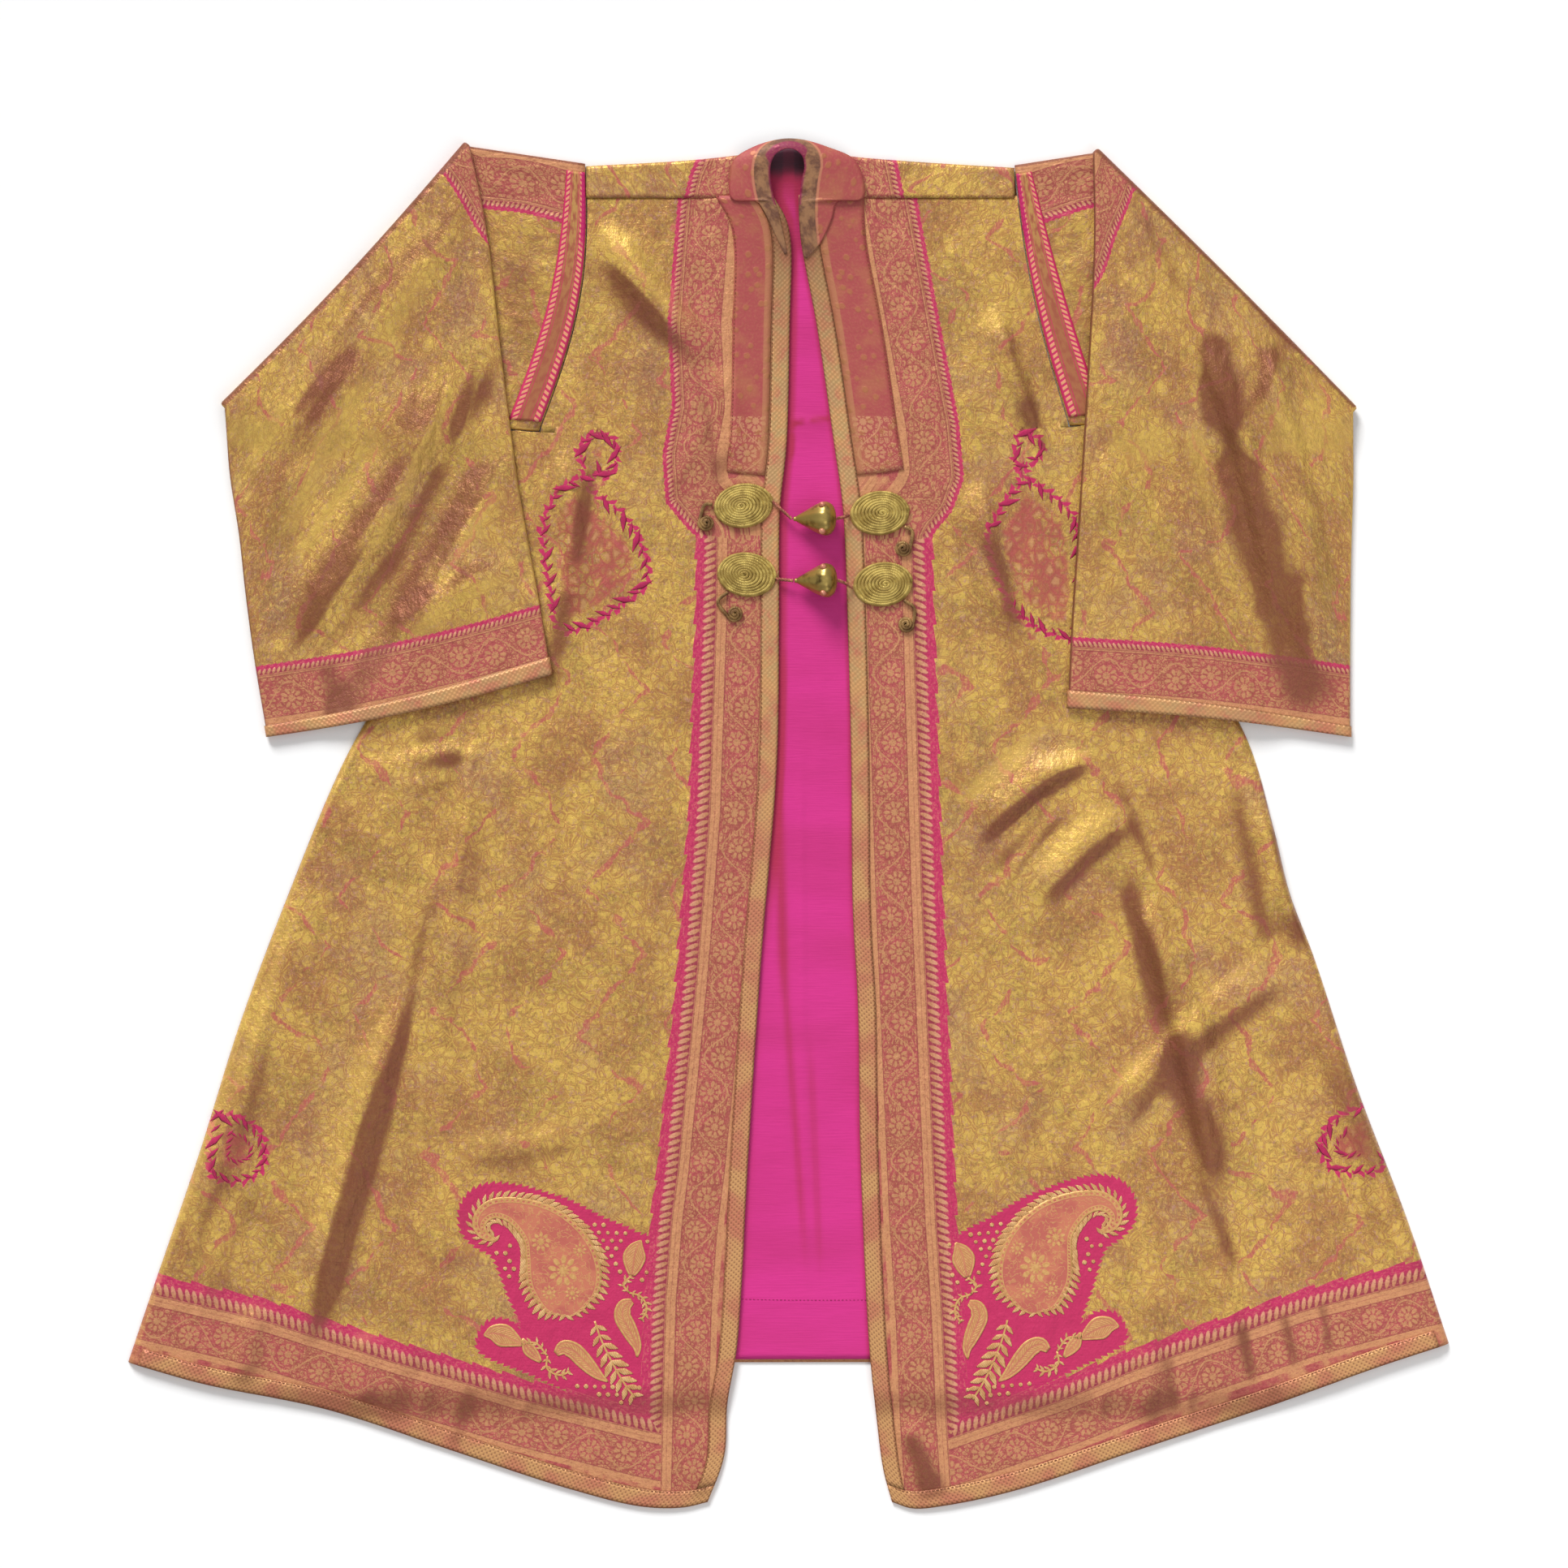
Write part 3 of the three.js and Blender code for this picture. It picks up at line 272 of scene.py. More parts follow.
RIGHT = Half(
    name="right",
    out=1,
    opening=[
        (9.6, 596), (10, 573), (12, 551), (26.6, 474), (43.6, 358), (51.5, 300), (56, 197), (59.5, 58),
        (61, -81), (66, -174), (68.2, -312), (76.7, -497), (83, -559), (90, -613), (98.3, -643.8),
    ],
    side=[
        (302, 376), (332, 308), (382, 180), (437, 77), (460.7, -3.9), (476, -65.5), (499.2, -127),
        (540, -250.6), (587, -374), (627.2, -493.4),
    ],
    hem=[
        (98.3, -643.8), (118, -650), (150, -647), (214.7, -633), (330, -595), (446, -556),
        (561.7, -514.5), (627.2, -493.4),
    ],
    armhole_top=(214.7, 625.3),
    armhole_under=(267.2, 377.8),
    armhole_bow=-8,
    fold_top=(293.4, 641.5),
    fold_under=(540.1, 394.8),
    fold_bow=1.5,
    inner=[(289.5, 551.3), (282.6, 412.5), (274.9, 289.1), (268.7, 196.6), (264.8, 109.5)],
    outer=[(536.3, 335.4), (534, 242.9), (533.2, 150.3), (533.2, 115), (533.2, 82.5)],
    cuff_bow=4,
    neckband_to=62,
    front_folds=[
        (192, 490, 232, 375, 0, 14, 5.5, 0.2),
        (214, 545, 256, 420, 3, 13, 4.5, -0.2),
        (180, 330, 222, 170, 5, 15, 5, 0.3),
        (320, 90, 170, -20, 10, 18, 6.5, 0.3),
        (325, 10, 235, -75, 6, 16, 5.5, 0.2),
        (330, -60, 405, -345, -6, 17, 8.5, -0.45),
        (455, 30, 490, -120, 0, 17, 6.5, 0.3),
        (486, -130, 290, -290, 10, 16, 5, 0),
        (385, -250, 425, -540, 0, 15, 4.5, 0),
        (345, -420, 340, -585, 0, 12, 3.5, 0),
        (500, -160, 600, -440, 6, 16, 4.5, 0),
        (130, 60, 150, -400, -8, 26, 2.2, 0),
        (108, -560, 136, -640, -5, 12, 4.5, 0),
        (260, -180, 200, -330, 0, 18, 3, 0),
    ],
    sleeve_folds=[
        (384, 470, 462, 180, -14, 15, 7.5, -0.4),
        (440, 470, 500, 130, -16, 19, 8, 0.2),
        (372, 380, 392, 210, 0, 17, 4.5, 0),
        (470, 460, 452, 380, 0, 12, 4.5, 0),
        (320, 520, 318, 250, 6, 26, 3, 0),
    ],
    front_creases=[
        (200, 480, 244, 350, 2, 6, 1.3, 0.3),
        (226, 530, 262, 450, 2, 5, 1.1, 0),
        (150, 340, 200, 200, 5, 6, 1.2, 0.3),
        (300, 70, 190, -10, 6, 6, 1.7, 0.3),
        (270, 20, 205, -60, 4, 6, 1.4, 0.2),
        (330, -20, 372, -200, -4, 6, 1.8, -0.4),
        (360, -90, 420, -330, -5, 6, 1.7, -0.3),
        (430, 60, 470, -80, 0, 6, 1.5, 0.3),
        (400, 0, 450, -150, 3, 6, 1.2, 0),
        (470, -120, 330, -240, 8, 6, 1.3, 0),
        (300, -250, 250, -330, 4, 6, 1.0, 0),
        (420, -280, 455, -480, 3, 6, 1.4, 0),
        (385, -440, 380, -590, 2, 5, 1.3, 0),
        (300, -530, 296, -600, 2, 5, 1.2, 0),
        (450, -480, 462, -545, 2, 5, 1.3, 0),
        (500, -470, 520, -530, 2, 5, 1.1, 0),
        (560, -330, 600, -460, 3, 6, 1.0, 0),
        (170, -60, 190, -260, -5, 7, 0.8, 0),
        (120, -580, 150, -640, -3, 6, 1.6, 0),
    ],
    sleeve_creases=[
        (330, 590, 380, 470, 4, 6, 1.1, 0),
        (400, 560, 440, 450, -4, 6, 1.2, 0),
        (365, 460, 420, 300, -6, 6, 1.4, -0.3),
        (430, 420, 470, 240, -6, 6, 1.5, 0.3),
        (480, 440, 520, 300, 3, 6, 1.3, 0),
        (410, 330, 440, 170, -4, 6, 1.3, 0),
        (330, 400, 350, 250, 4, 7, 0.9, 0),
        (300, 330, 312, 180, 4, 6, 0.8, 0),
        (480, 230, 505, 110, 2, 6, 1.3, 0),
        (380, 190, 395, 110, 2, 6, 0.9, 0),
    ],
    # Painted shade rows of the front; those below 0 are painted highlights.
    front_shades=[
        (186, 288, 215, 186, 0, 8, 1.3, 0),
        (196, 484, 250, 342, 0, 8, 0.7, 0),
        (262, 82, 165, -8, 0, 10, 1.5, 0),
        (256, 102, 160, 20, 0, 7, -1.5, 0),
        (258, 16, 192, -48, 0, 10, 1.5, 0),
        (250, 34, 190, -30, 0, 5, -1.2, 0),
        (309, 48, 352, -62, 0, 8, 1.3, 0),
        (320, -38, 358, -192, 0, 14, 2.3, 0),
        (350, -165, 404, -340, 0, 15, 2.4, 0),
        (300, -60, 330, -210, 0, 8, -1.0, 0),
        (420, 60, 458, -140, 0, 12, 1.4, 0),
        (380, -316, 428, -430, 0, 8, 1.2, 0),
        (455, 60, 505, -130, 0, 16, 1.3, 0),
        (500, -190, 575, -370, 0, 16, 1.0, 0),
        (448, -130, 330, -230, 0, 11, 0.7, 0),
        (428, -468, 442, -535, 0, 6, 1.3, 0),
        (468, -458, 482, -522, 0, 6, 1.3, 0),
        (505, -448, 514, -508, 0, 6, 1.2, 0),
        (360, -500, 366, -560, 0, 6, 1.0, 0),
        (115, -570, 136, -640, 0, 12, 1.7, 0),
        (150, 330, 200, 230, 0, 8, 0.8, 0),
    ],
    # Painted shade rows of the sleeve; those below 0 are painted highlights.
    sleeve_shades=[
        (406, 468, 402, 402, 0, 14, 1.6, 0),
        (398, 430, 438, 296, 0, 21, 2.6, 0),
        (428, 318, 472, 196, 0, 23, 2.6, 0),
        (460, 224, 504, 100, 0, 26, 2.3, 0),
        (374, 430, 404, 280, 0, 9, -1.0, 0),
        (486, 446, 522, 334, 0, 12, -0.9, 0),
        (330, 590, 385, 480, 0, 9, 0.8, 0),
        (440, 520, 480, 440, 0, 10, 0.9, 0),
        (300, 330, 315, 170, 0, 14, 0.6, 0),
    ],
    border_front=[
        (121, 610), (121, 596), (136, 513), (161, 382), (166, 328), (155, 297), (139, 278), (135, 271),
        (139, 127), (145, -66), (153, -258), (158, -374), (164, -466), (168, -559), (176, -690),
    ],
    border_hem=[
        (30, -608), (168, -559), (253, -530), (330, -498), (485, -444), (593, -416), (650, -404),
    ],
    corner=(168, -559, 5.5),
    shoulder_border=[(96, 660), (99, 644), (105, 617), (110, 590)],
    armpit_motif=[
        (221, 374), (239, 366), (242, 351), (224, 335), (230, 328), (253, 312), (273, 289),
        (273, 177), (246, 180), (224, 193), (207, 212), (195, 243), (188, 270), (190, 281),
        (207, 312), (219, 328), (213, 351), (221, 374),
    ],
    side_motif=[
        (562, -266), (527, -272), (509, -289), (503, -308), (515, -328), (537, -332), (562, -328),
    ],
    seed=23,
)

# The back's own edges, which the fronts cover but for its fold over the shoulders.
SHOULDER_LINE = [
    (-193.1, 626.8), (-94, 629.9), (-50, 634.5), (-12, 640), (10, 641), (32, 638), (61, 633.5),
    (120, 628.6), (214.7, 625.3),
]
BACK_HEM = [
    (-621, -503), (-560, -508), (-300, -511.2), (72, -511.2), (420, -511.2), (540, -505), (600, -492),
    (621, -484),
]
FAR_OFF = -1000.0
OUTLINED = 1.0
FILLED = 2.0
ON_COLLAR = 2.0
ON_COLLAR_END = 3.0
NECK_LEFT = -51
NECK_RIGHT = 60

# The collar round the back of the neck: x, y and height of its edge at the hole and its sewn edge.
COLLAR_HOLE = [
    (-1.2, 541, 0), (-5.5, 562, 0), (-9.5, 580, 0), (-12.5, 589, 13.5), (-14, 594, 13.8), (-17, 612, 15.5),
    (-16.5, 625, 17), (-12, 634, 18), (-2, 639, 18.5), (6, 638, 18.5), (13, 632, 18), (15, 622, 17),
    (12.5, 610, 15.5), (10.5, 594, 13.8), (10, 588, 13.5), (10, 575, 0), (12, 555, 0), (14.5, 538, 0),
]
COLLAR_SEWN = [
    (-3.5, 540, 0), (-15, 564, 0), (-24, 582, 0), (-31, 590, 11.5), (-54, 592.5, 11.5), (-56, 612, 10.8),
    (-52, 629, 10.5), (-34, 641, 10.5), (-8, 648.6, 10.5), (12, 648.4, 10.5), (38, 641, 10.5),
    (62, 630, 10.5), (71, 612, 10.8), (71, 593, 11.5), (47, 590, 11.5), (41, 573, 0), (31, 552, 0),
    (17.5, 536, 0),
]


# The paisley corner of each front, out and up from where the two borders meet. Blades are rows of
# out, up and half width along their spines.
WEDGE = [
    (-6, -6), (55, 12), (105, 32), (158, 56), (150, 80), (130, 82), (116, 72), (121, 88), (129, 104),
    (137, 124), (147, 144), (162, 152), (176, 166), (178, 188), (168, 204), (152, 211), (133, 211),
    (114, 208), (96, 203), (78, 198), (60, 190), (42, 181), (23, 174), (4, 166), (-14, 166),
]
PAISLEY = [
    (72, 87, 1), (73, 93, 17), (75, 101, 27), (77, 117, 35), (80, 135, 36), (87, 153, 32), (98, 169, 25),
    (114, 181, 18), (132, 188, 12), (147, 188, 9.5), (157, 181, 8), (160, 172, 6.5), (156, 164, 5),
    (149, 160, 3), (143, 160, 1),
]
PAISLEY_HEART = (79, 131)
LEAVES = [
    [(13, 104, 3), (20, 99, 7), (22, 90, 8), (17, 80, 8), (11, 69, 6.5), (7, 60, 4), (7, 51, 0.8)],
    [(84, 52, 3), (77, 58, 7), (68, 56, 8), (59, 48, 8), (50, 39, 6.5), (42, 32, 4), (34, 27, 0.8)],
    [(14, 128, 3), (13, 136, 8), (12, 146, 11), (10, 154, 8), (6, 162, 0.8)],
    [(116, 60, 2), (124, 64, 7), (134, 68, 11), (144, 70, 8), (153, 68, 0.8)],
    [(98, 44, 1.5), (104, 50, 5), (110, 56, 6), (114, 62, 3), (116, 66, 0.8)],
]
STEMS = [
    [(48, 84, 0.9), (42, 68, 0.9), (32, 48, 0.9), (20, 28, 0.9), (8, 12, 0.9)],
    [(16, 112, 0.9), (4, 108, 0.9), (-1, 96, 0.9), (4, 86, 0.9)],
    [(16, 112, 0.9), (22, 120, 0.9), (14, 128, 0.9)],
    [(92, 50, 0.9), (92, 38, 0.9), (80, 32, 0.9), (70, 36, 0.9)],
    [(92, 50, 0.9), (104, 62, 0.9), (116, 60, 0.9)],
]
LEAFLET_SCALES = [1.25, 0.5, 0.5, 0.6, 0.5]


def tint(red: int, green: int, blue: int) -> tuple[float, float, float, float]:
    """Turn a colour as a screen shows it, 0 to 255, into the linear one that a shader takes."""
    def linear(part: int) -> float:
        """Give one channel in linear light."""
        share = part / 255
        return share / 12.92 if share <= 0.04045 else ((share + 0.055) / 1.055) ** 2.4
    return (linear(red), linear(green), linear(blue), 1.0)


def smooth(x: np.ndarray | float, low: float, high: float) -> np.ndarray:
    """Step softly from 0 at low to 1 at high."""
    t = np.clip((np.asarray(x, float) - low) / (high - low), 0, 1)
    return t * t * (3 - 2 * t)


def lerp(a: float, b: float, share: np.ndarray | float) -> np.ndarray | float:
    """Blend from a to b."""
    return a + (b - a) * share


def vec(*parts: np.ndarray | float) -> np.ndarray:
    """Put numbers, or arrays of them, together as points."""
    return np.stack(np.broadcast_arrays(*parts), -1)


def unit(ways: np.ndarray) -> np.ndarray:
    """Give directions a length of 1."""
    return ways / np.maximum(np.linalg.norm(ways, axis=-1, keepdims=True), 1e-9)


def runs_of(points: np.ndarray, axis: int = 0) -> np.ndarray:
    """Measure the way along one axis of a grid of points, from its first place."""
    steps = np.diff(points, axis=axis, prepend=np.take(points, [0], axis=axis))
    return np.cumsum(np.linalg.norm(steps, axis=-1), axis=axis)


def turned(x: np.ndarray, y: np.ndarray, angle: float) -> tuple[np.ndarray, np.ndarray]:
    """Turn places about the origin by an angle in radians."""
    return x * math.cos(angle) - y * math.sin(angle), x * math.sin(angle) + y * math.cos(angle)


def corner_places(half: Half, rows: Table | np.ndarray) -> np.ndarray:
    """Turn places of a front's paisley corner, out and up, into places seen from above.

    Args:
        half: The side of the coat.
        rows: Rows of out and up.

    Returns:
        Points, at height 0.
    """
    rows = np.asarray(rows, float)
    x, y, degrees = half.corner
    out, up = turned(rows[..., 0], rows[..., 1], math.radians(degrees))
    return vec(x + half.out * out, y + up, 0.0)


class Curve:
    """A smooth curve through a table of points (a centripetal Catmull-Rom spline)."""

    def __init__(self, rows: Table, steps: int = 40) -> None:
        """Lay the curve through rows of x, y and perhaps z.

        Args:
            rows: The points that the curve passes through.
            steps: How many short steps stand for each stretch between two points.
        """
        points = np.array([(*row, 0)[:3] for row in rows], float)
        ends = np.vstack([2 * points[0] - points[1], points, 2 * points[-1] - points[-2]])
        t = np.linspace(0, 1, steps, endpoint=False)[:, None]
        stretches = []
        for a, b, c, d in zip(ends, ends[1:], ends[2:], ends[3:]):
            da, db, dc = (max(np.linalg.norm(q - p), 1e-6) ** 0.5 for p, q in ((a, b), (b, c), (c, d)))
            start = ((b - a) / da - (c - a) / (da + db) + (c - b) / db) * db
            end = ((c - b) / db - (d - b) / (db + dc) + (d - c) / dc) * db
            cubic = (-3 * b + 3 * c - 2 * start - end, 2 * b - 2 * c + start + end)
            stretches.append(b + start * t + cubic[0] * t**2 + cubic[1] * t**3)
        self.points = np.vstack([*stretches, points[-1:]])
        self.runs = runs_of(self.points)
        self.length = float(self.runs[-1])

    def read(self, share: np.ndarray | float, marks: np.ndarray) -> np.ndarray:
        """Give the points at these shares of the last of the marks that its own points have."""
        place = np.clip(share, 0, 1) * marks[-1]
        return vec(*(np.interp(place, marks, self.points[:, k]) for k in range(3)))

    def at(self, share: np.ndarray | float) -> np.ndarray:
        """Give the points at these shares of the length."""
        return self.read(share, self.runs)

    def step(self, share: np.ndarray | float) -> np.ndarray:
        """Give the points at these shares of the table's own rows."""
        return self.read(share, np.arange(len(self.points)))


def fold_height(folds: Table, x: np.ndarray, y: np.ndarray) -> np.ndarray:
    """Tell how high folds stand above the cloth around them, at places seen from above.

    Args:
        folds: Rows of x0, y0, x1, y1, bow, half width, rise and lean.
        x: The places across.
        y: The places along.

    Returns:
        The height of all folds together at each place.
    """
    height = np.zeros_like(x)
    for x0, y0, x1, y1, bow, half, rise, lean in folds:
        dx, dy = x1 - x0, y1 - y0
        length = math.hypot(dx, dy)
        along = ((x - x0) * dx + (y - y0) * dy) / length**2
        aside = ((x - x0) * dy - (y - y0) * dx) / length - bow * 4 * along * (1 - along)
        width = half * np.where(aside > 0, 1 + lean, 1 - lean)
        fade = smooth(along, -0.05, 0.25) * (1 - smooth(along, 0.72, 1.05))
        height += rise * fade * np.exp(-((aside / width) ** 2))
    return height


def small_creases(seed: int, count: int, box: Sequence[float], heading: float) -> list[tuple[float, ...]]:
    """Scatter small creases that all worn silk has, as rows of a fold table.

    Args:
        seed: The fixed seed of the scatter.
        count: How many creases there are.
        box: The area's lowest x and y and highest x and y.
        heading: The way that most of them run, in degrees from +X.

    Returns:
        The rows of the table.
    """
    draw = np.random.default_rng(seed)
    rows = []
    for _ in range(count):
        x, y = draw.uniform(box[0], box[2]), draw.uniform(box[1], box[3])
        turn = math.radians(heading + draw.normal(0, 28))
        length = draw.uniform(35, 130)
        rise = draw.uniform(0.25, 0.75) * draw.choice([-1, 1, 1])
        rows.append((
            x, y, x + length * math.cos(turn), y + length * math.sin(turn),
            draw.uniform(-5, 5), draw.uniform(5, 10), rise, draw.uniform(-0.3, 0.3),
        ))
    return rows


def past_line(x: np.ndarray, y: np.ndarray, a: Sequence[float], b: Sequence[float]) -> np.ndarray:
    """Give the distance past a line, measured to its right as it runs from a to b."""
    dx, dy = b[0] - a[0], b[1] - a[1]
    return ((x - a[0]) * dy - (y - a[1]) * dx) / math.hypot(dx, dy)


def beside(places: np.ndarray, line: np.ndarray) -> tuple[np.ndarray, np.ndarray]:
    """Measure places against a line of points.

    Args:
        places: Points, of which x and y count, in an array of any shape that ends in 3.
        line: The line's points.

    Returns:
        The distance from the line, positive to its left, and the length along it.
    """
    flat = places.reshape(-1, places.shape[-1])[:, :2]
    start, way = line[:-1, :2], np.diff(line[:, :2], axis=0)
    size = np.hypot(way[:, 0], way[:, 1])
    runs = np.concatenate([[0], np.cumsum(size)[:-1]])
    distance, run = np.empty(len(flat)), np.empty(len(flat))
    for first in range(0, len(flat), 4000):
        part = slice(first, first + 4000)
        rel = flat[part, None, :] - start[None]
        share = np.clip((rel * way).sum(-1) / size**2, 0, 1)
        off = rel - share[..., None] * way
        far = np.hypot(off[..., 0], off[..., 1])
        k = far.argmin(axis=1)
        rows = np.arange(len(k))
        turn = way[k, 0] * off[rows, k, 1] - way[k, 1] * off[rows, k, 0]
        distance[part] = far[rows, k] * np.where(turn >= 0, 1, -1)
        run[part] = runs[k] + share[rows, k] * size[k]
    return distance.reshape(places.shape[:-1]), run.reshape(places.shape[:-1])


def within(places: np.ndarray, outline: np.ndarray) -> tuple[np.ndarray, np.ndarray]:
    """Measure places against a closed outline.

    Args:
        places: Points, of which x and y count.
        outline: The outline's points, the last equal to the first.

    Returns:
        The distance, positive inside the outline, and the length along the outline.
    """
    distance, run = beside(places, outline)
    x, y = places[..., 0], places[..., 1]
    inside = np.zeros(x.shape, bool)
    for (ax, ay), (bx, by) in zip(outline[:-1, :2], outline[1:, :2]):
        if ay != by:
            crosses = (ay > y) != (by > y)
            inside ^= crosses & (x < (bx - ax) * (y - ay) / (by - ay) + ax)
    return np.abs(distance) * np.where(inside, 1, -1), run


def closed_outline(rows: Table) -> np.ndarray:
    """Round off a table of points into a closed outline."""
    return Curve([*rows, rows[0]], steps=8).points


@dataclass
class Shell:
    """A closed mesh in millimetres: its corners, its faces and the grid place that each corner has."""

    points: np.ndarray
    faces: np.ndarray
    places: np.ndarray

    def outward(self) -> "Shell":
        """Turn the faces round if they face inwards, and drop unused corners."""
        p = self.points[self.faces]
        volume = (np.cross(p[:, 0], p[:, 1]) * p[:, 2]).sum()
        if self.faces.shape[1] == 4:
            volume += (np.cross(p[:, 0], p[:, 2]) * p[:, 3]).sum()
        faces = self.faces if volume > 0 else self.faces[:, ::-1]
        used, flat = np.unique(faces, return_inverse=True)
        return Shell(self.points[used], flat.reshape(faces.shape), self.places[used])


def grid_normals(grid: np.ndarray) -> np.ndarray:
    """Give the upward normal at each point of a grid of points."""
    normals = unit(np.cross(np.gradient(grid, axis=1), np.gradient(grid, axis=0)))
    return normals * (1 if normals[..., 2].sum() > 0 else -1)


def cloth_wall(
    grid: np.ndarray, thickness: float, lift: float = 0.0, mask: np.ndarray | None = None,
) -> Shell:
    """Make a closed wall of cloth on a grid of points.

    Args:
        grid: The middle of the cloth, rows by columns by 3.
        thickness: The wall, laid half to each side along the cloth's normal.
        lift: How far the whole wall stands out from the grid.
        mask: Which cells there are, one fewer each way than there are points.

    Returns:
        The wall, facing outwards.
    """
    rows, columns = grid.shape[:2]
    mask = np.ones((rows - 1, columns - 1), bool) if mask is None else mask
    normals = grid_normals(grid)
    over = grid + normals * (lift + thickness / 2)
    under = grid + normals * (lift - thickness / 2)
    points = np.concatenate([over.reshape(-1, 3), under.reshape(-1, 3)])
    points[:, 2] = np.maximum(points[:, 2], 0)
    count = rows * columns
    ids = np.arange(count).reshape(rows, columns)
    a, b, c, d = ids[:-1, :-1], ids[:-1, 1:], ids[1:, 1:], ids[1:, :-1]
    ring = np.pad(mask, 1)
    edges = (
        (b, a, mask & ~ring[:-2, 1:-1]), (d, c, mask & ~ring[2:, 1:-1]),
        (a, d, mask & ~ring[1:-1, :-2]), (c, b, mask & ~ring[1:-1, 2:]),
    )
    faces = [
        np.stack([a, b, c, d], -1)[mask],
        np.stack([d, c, b, a], -1)[mask] + count,
        *(np.stack([p, q, q + count, p + count], -1)[where] for p, q, where in edges),
    ]
    return Shell(points, np.concatenate(faces), np.tile(np.arange(count), 2)).outward()


def tube_wall(outer: np.ndarray, inner: np.ndarray) -> Shell:
    """Make the wall of a tube, open at both ends, between two stacks of rings.

    Args:
        outer: The outside, rings by points by 3.
        inner: The inside, with the same rings and points.

    Returns:
        The wall, facing outwards.
    """
    rings = np.concatenate([outer, inner[::-1]])
    count, around = rings.shape[:2]
    ids = np.arange(count * around).reshape(count, around)
    a, b = ids, np.roll(ids, -1, axis=1)
    d, c = np.roll(a, -1, axis=0), np.roll(b, -1, axis=0)
    faces = np.stack([a, b, c, d], -1).reshape(-1, 4)
    order = np.arange(len(outer) * around).reshape(len(outer), around)
    points = rings.reshape(-1, 3).copy()
    points[:, 2] = np.maximum(points[:, 2], 0)
    return Shell(points, faces, np.concatenate([order, order[::-1]]).ravel()).outward()


def lathe_wall(rings: np.ndarray) -> Shell:
    """Close a stack of rings into a solid, such as a turned form or a cord.

    Args:
        rings: The rings, from the first end to the last, rings by points by 3.

    Returns:
        The closed mesh, facing outwards.
    """
    count, around = rings.shape[:2]
    ids = np.arange(count * around).reshape(count, around)
    after = np.roll(ids, -1, axis=1)
    faces = np.stack([ids[:-1], after[:-1], after[1:], ids[1:]], -1).reshape(-1, 4)
    first, last = count * around, count * around + 1
    caps = [vec(after[0], ids[0], first, first), vec(ids[-1], after[-1], last, last)]
    points = np.concatenate([rings.reshape(-1, 3), rings[:1].mean(axis=1), rings[-1:].mean(axis=1)])
    return Shell(points, np.concatenate([faces, *caps]), np.zeros(len(points), int)).outward()


def cord_wall(path: np.ndarray, radius: float, sides: int = 8) -> Shell:
    """Make a round cord along a path, closed at both ends.

    Args:
        path: The points of its middle.
        radius: Its radius.
        sides: How many flats go round it.

    Returns:
        The cord.
    """
    way = unit(np.gradient(path, axis=0))
    side = np.cross(way, (0, 0, 1.0))
    weak = np.linalg.norm(side, axis=1) < 0.05
    side[weak] = np.cross(way[weak], (0, 1.0, 0))
    side = unit(side)
    angle = np.linspace(0, 2 * math.pi, sides, endpoint=False)[:, None]
    return lathe_wall(path[:, None] + radius * (
        side[:, None] * np.cos(angle) + np.cross(side, way)[:, None] * np.sin(angle)
    ))


def joined(shells: Sequence[Shell]) -> Shell:
    """Put several shells of the same piece together."""
    starts = np.concatenate([[0], np.cumsum([len(s.points) for s in shells])[:-1]])
    return Shell(
        np.concatenate([s.points for s in shells]),
        np.concatenate([s.faces + start for s, start in zip(shells, starts)]),
        np.concatenate([s.places for s in shells]),
    )


def placed(name: str, data: bpy.types.ID) -> bpy.types.Object:
    """Make an object from its data and link it to the scene."""
    thing = bpy.data.objects.new(name, data)
    bpy.context.scene.collection.objects.link(thing)
    return thing


def new_piece(name: str, shell: Shell, traits: dict[str, np.ndarray] | None = None) -> bpy.types.Object:
    """Make an object from a shell, with its place in its mesh.

    Args:
        name: The piece's name.
        shell: Its closed mesh, in millimetres.
        traits: Vectors for each grid place, which the finish reads by name.

    Returns:
        The object, linked to the scene.
    """
    mesh = bpy.data.meshes.new(name)
    faces = [tuple(dict.fromkeys(face)) for face in shell.faces.tolist()]
    mesh.from_pydata((shell.points * MM).tolist(), [], faces)
    for trait, values in (traits or {}).items():
        layer = mesh.attributes.new(trait, "FLOAT_VECTOR", "POINT")
        layer.data.foreach_set("vector", values.reshape(-1, 3)[shell.places].astype(np.float32).ravel())
    mesh.shade_smooth()
    return placed(name, mesh)


class Hold(Enum):
    """How a sheet of cloth is held."""

    LAID = "laid"
    FOLDED = "folded"


def sum_of(operation: str, turned_round: bool = False) -> Callable[..., "Value"]:
    """Make a method that works out one operation on a value.

    Args:
        operation: The Math node's operation.
        turned_round: Whether the other number comes first.

    Returns:
        The method, which takes the other number where there is one.
    """
    def method(self: "Value", *others: "Number") -> "Value":
        """Add the Math node."""
        return self.maker.math(operation, *((*others, self) if turned_round else (self, *others)))

    return method


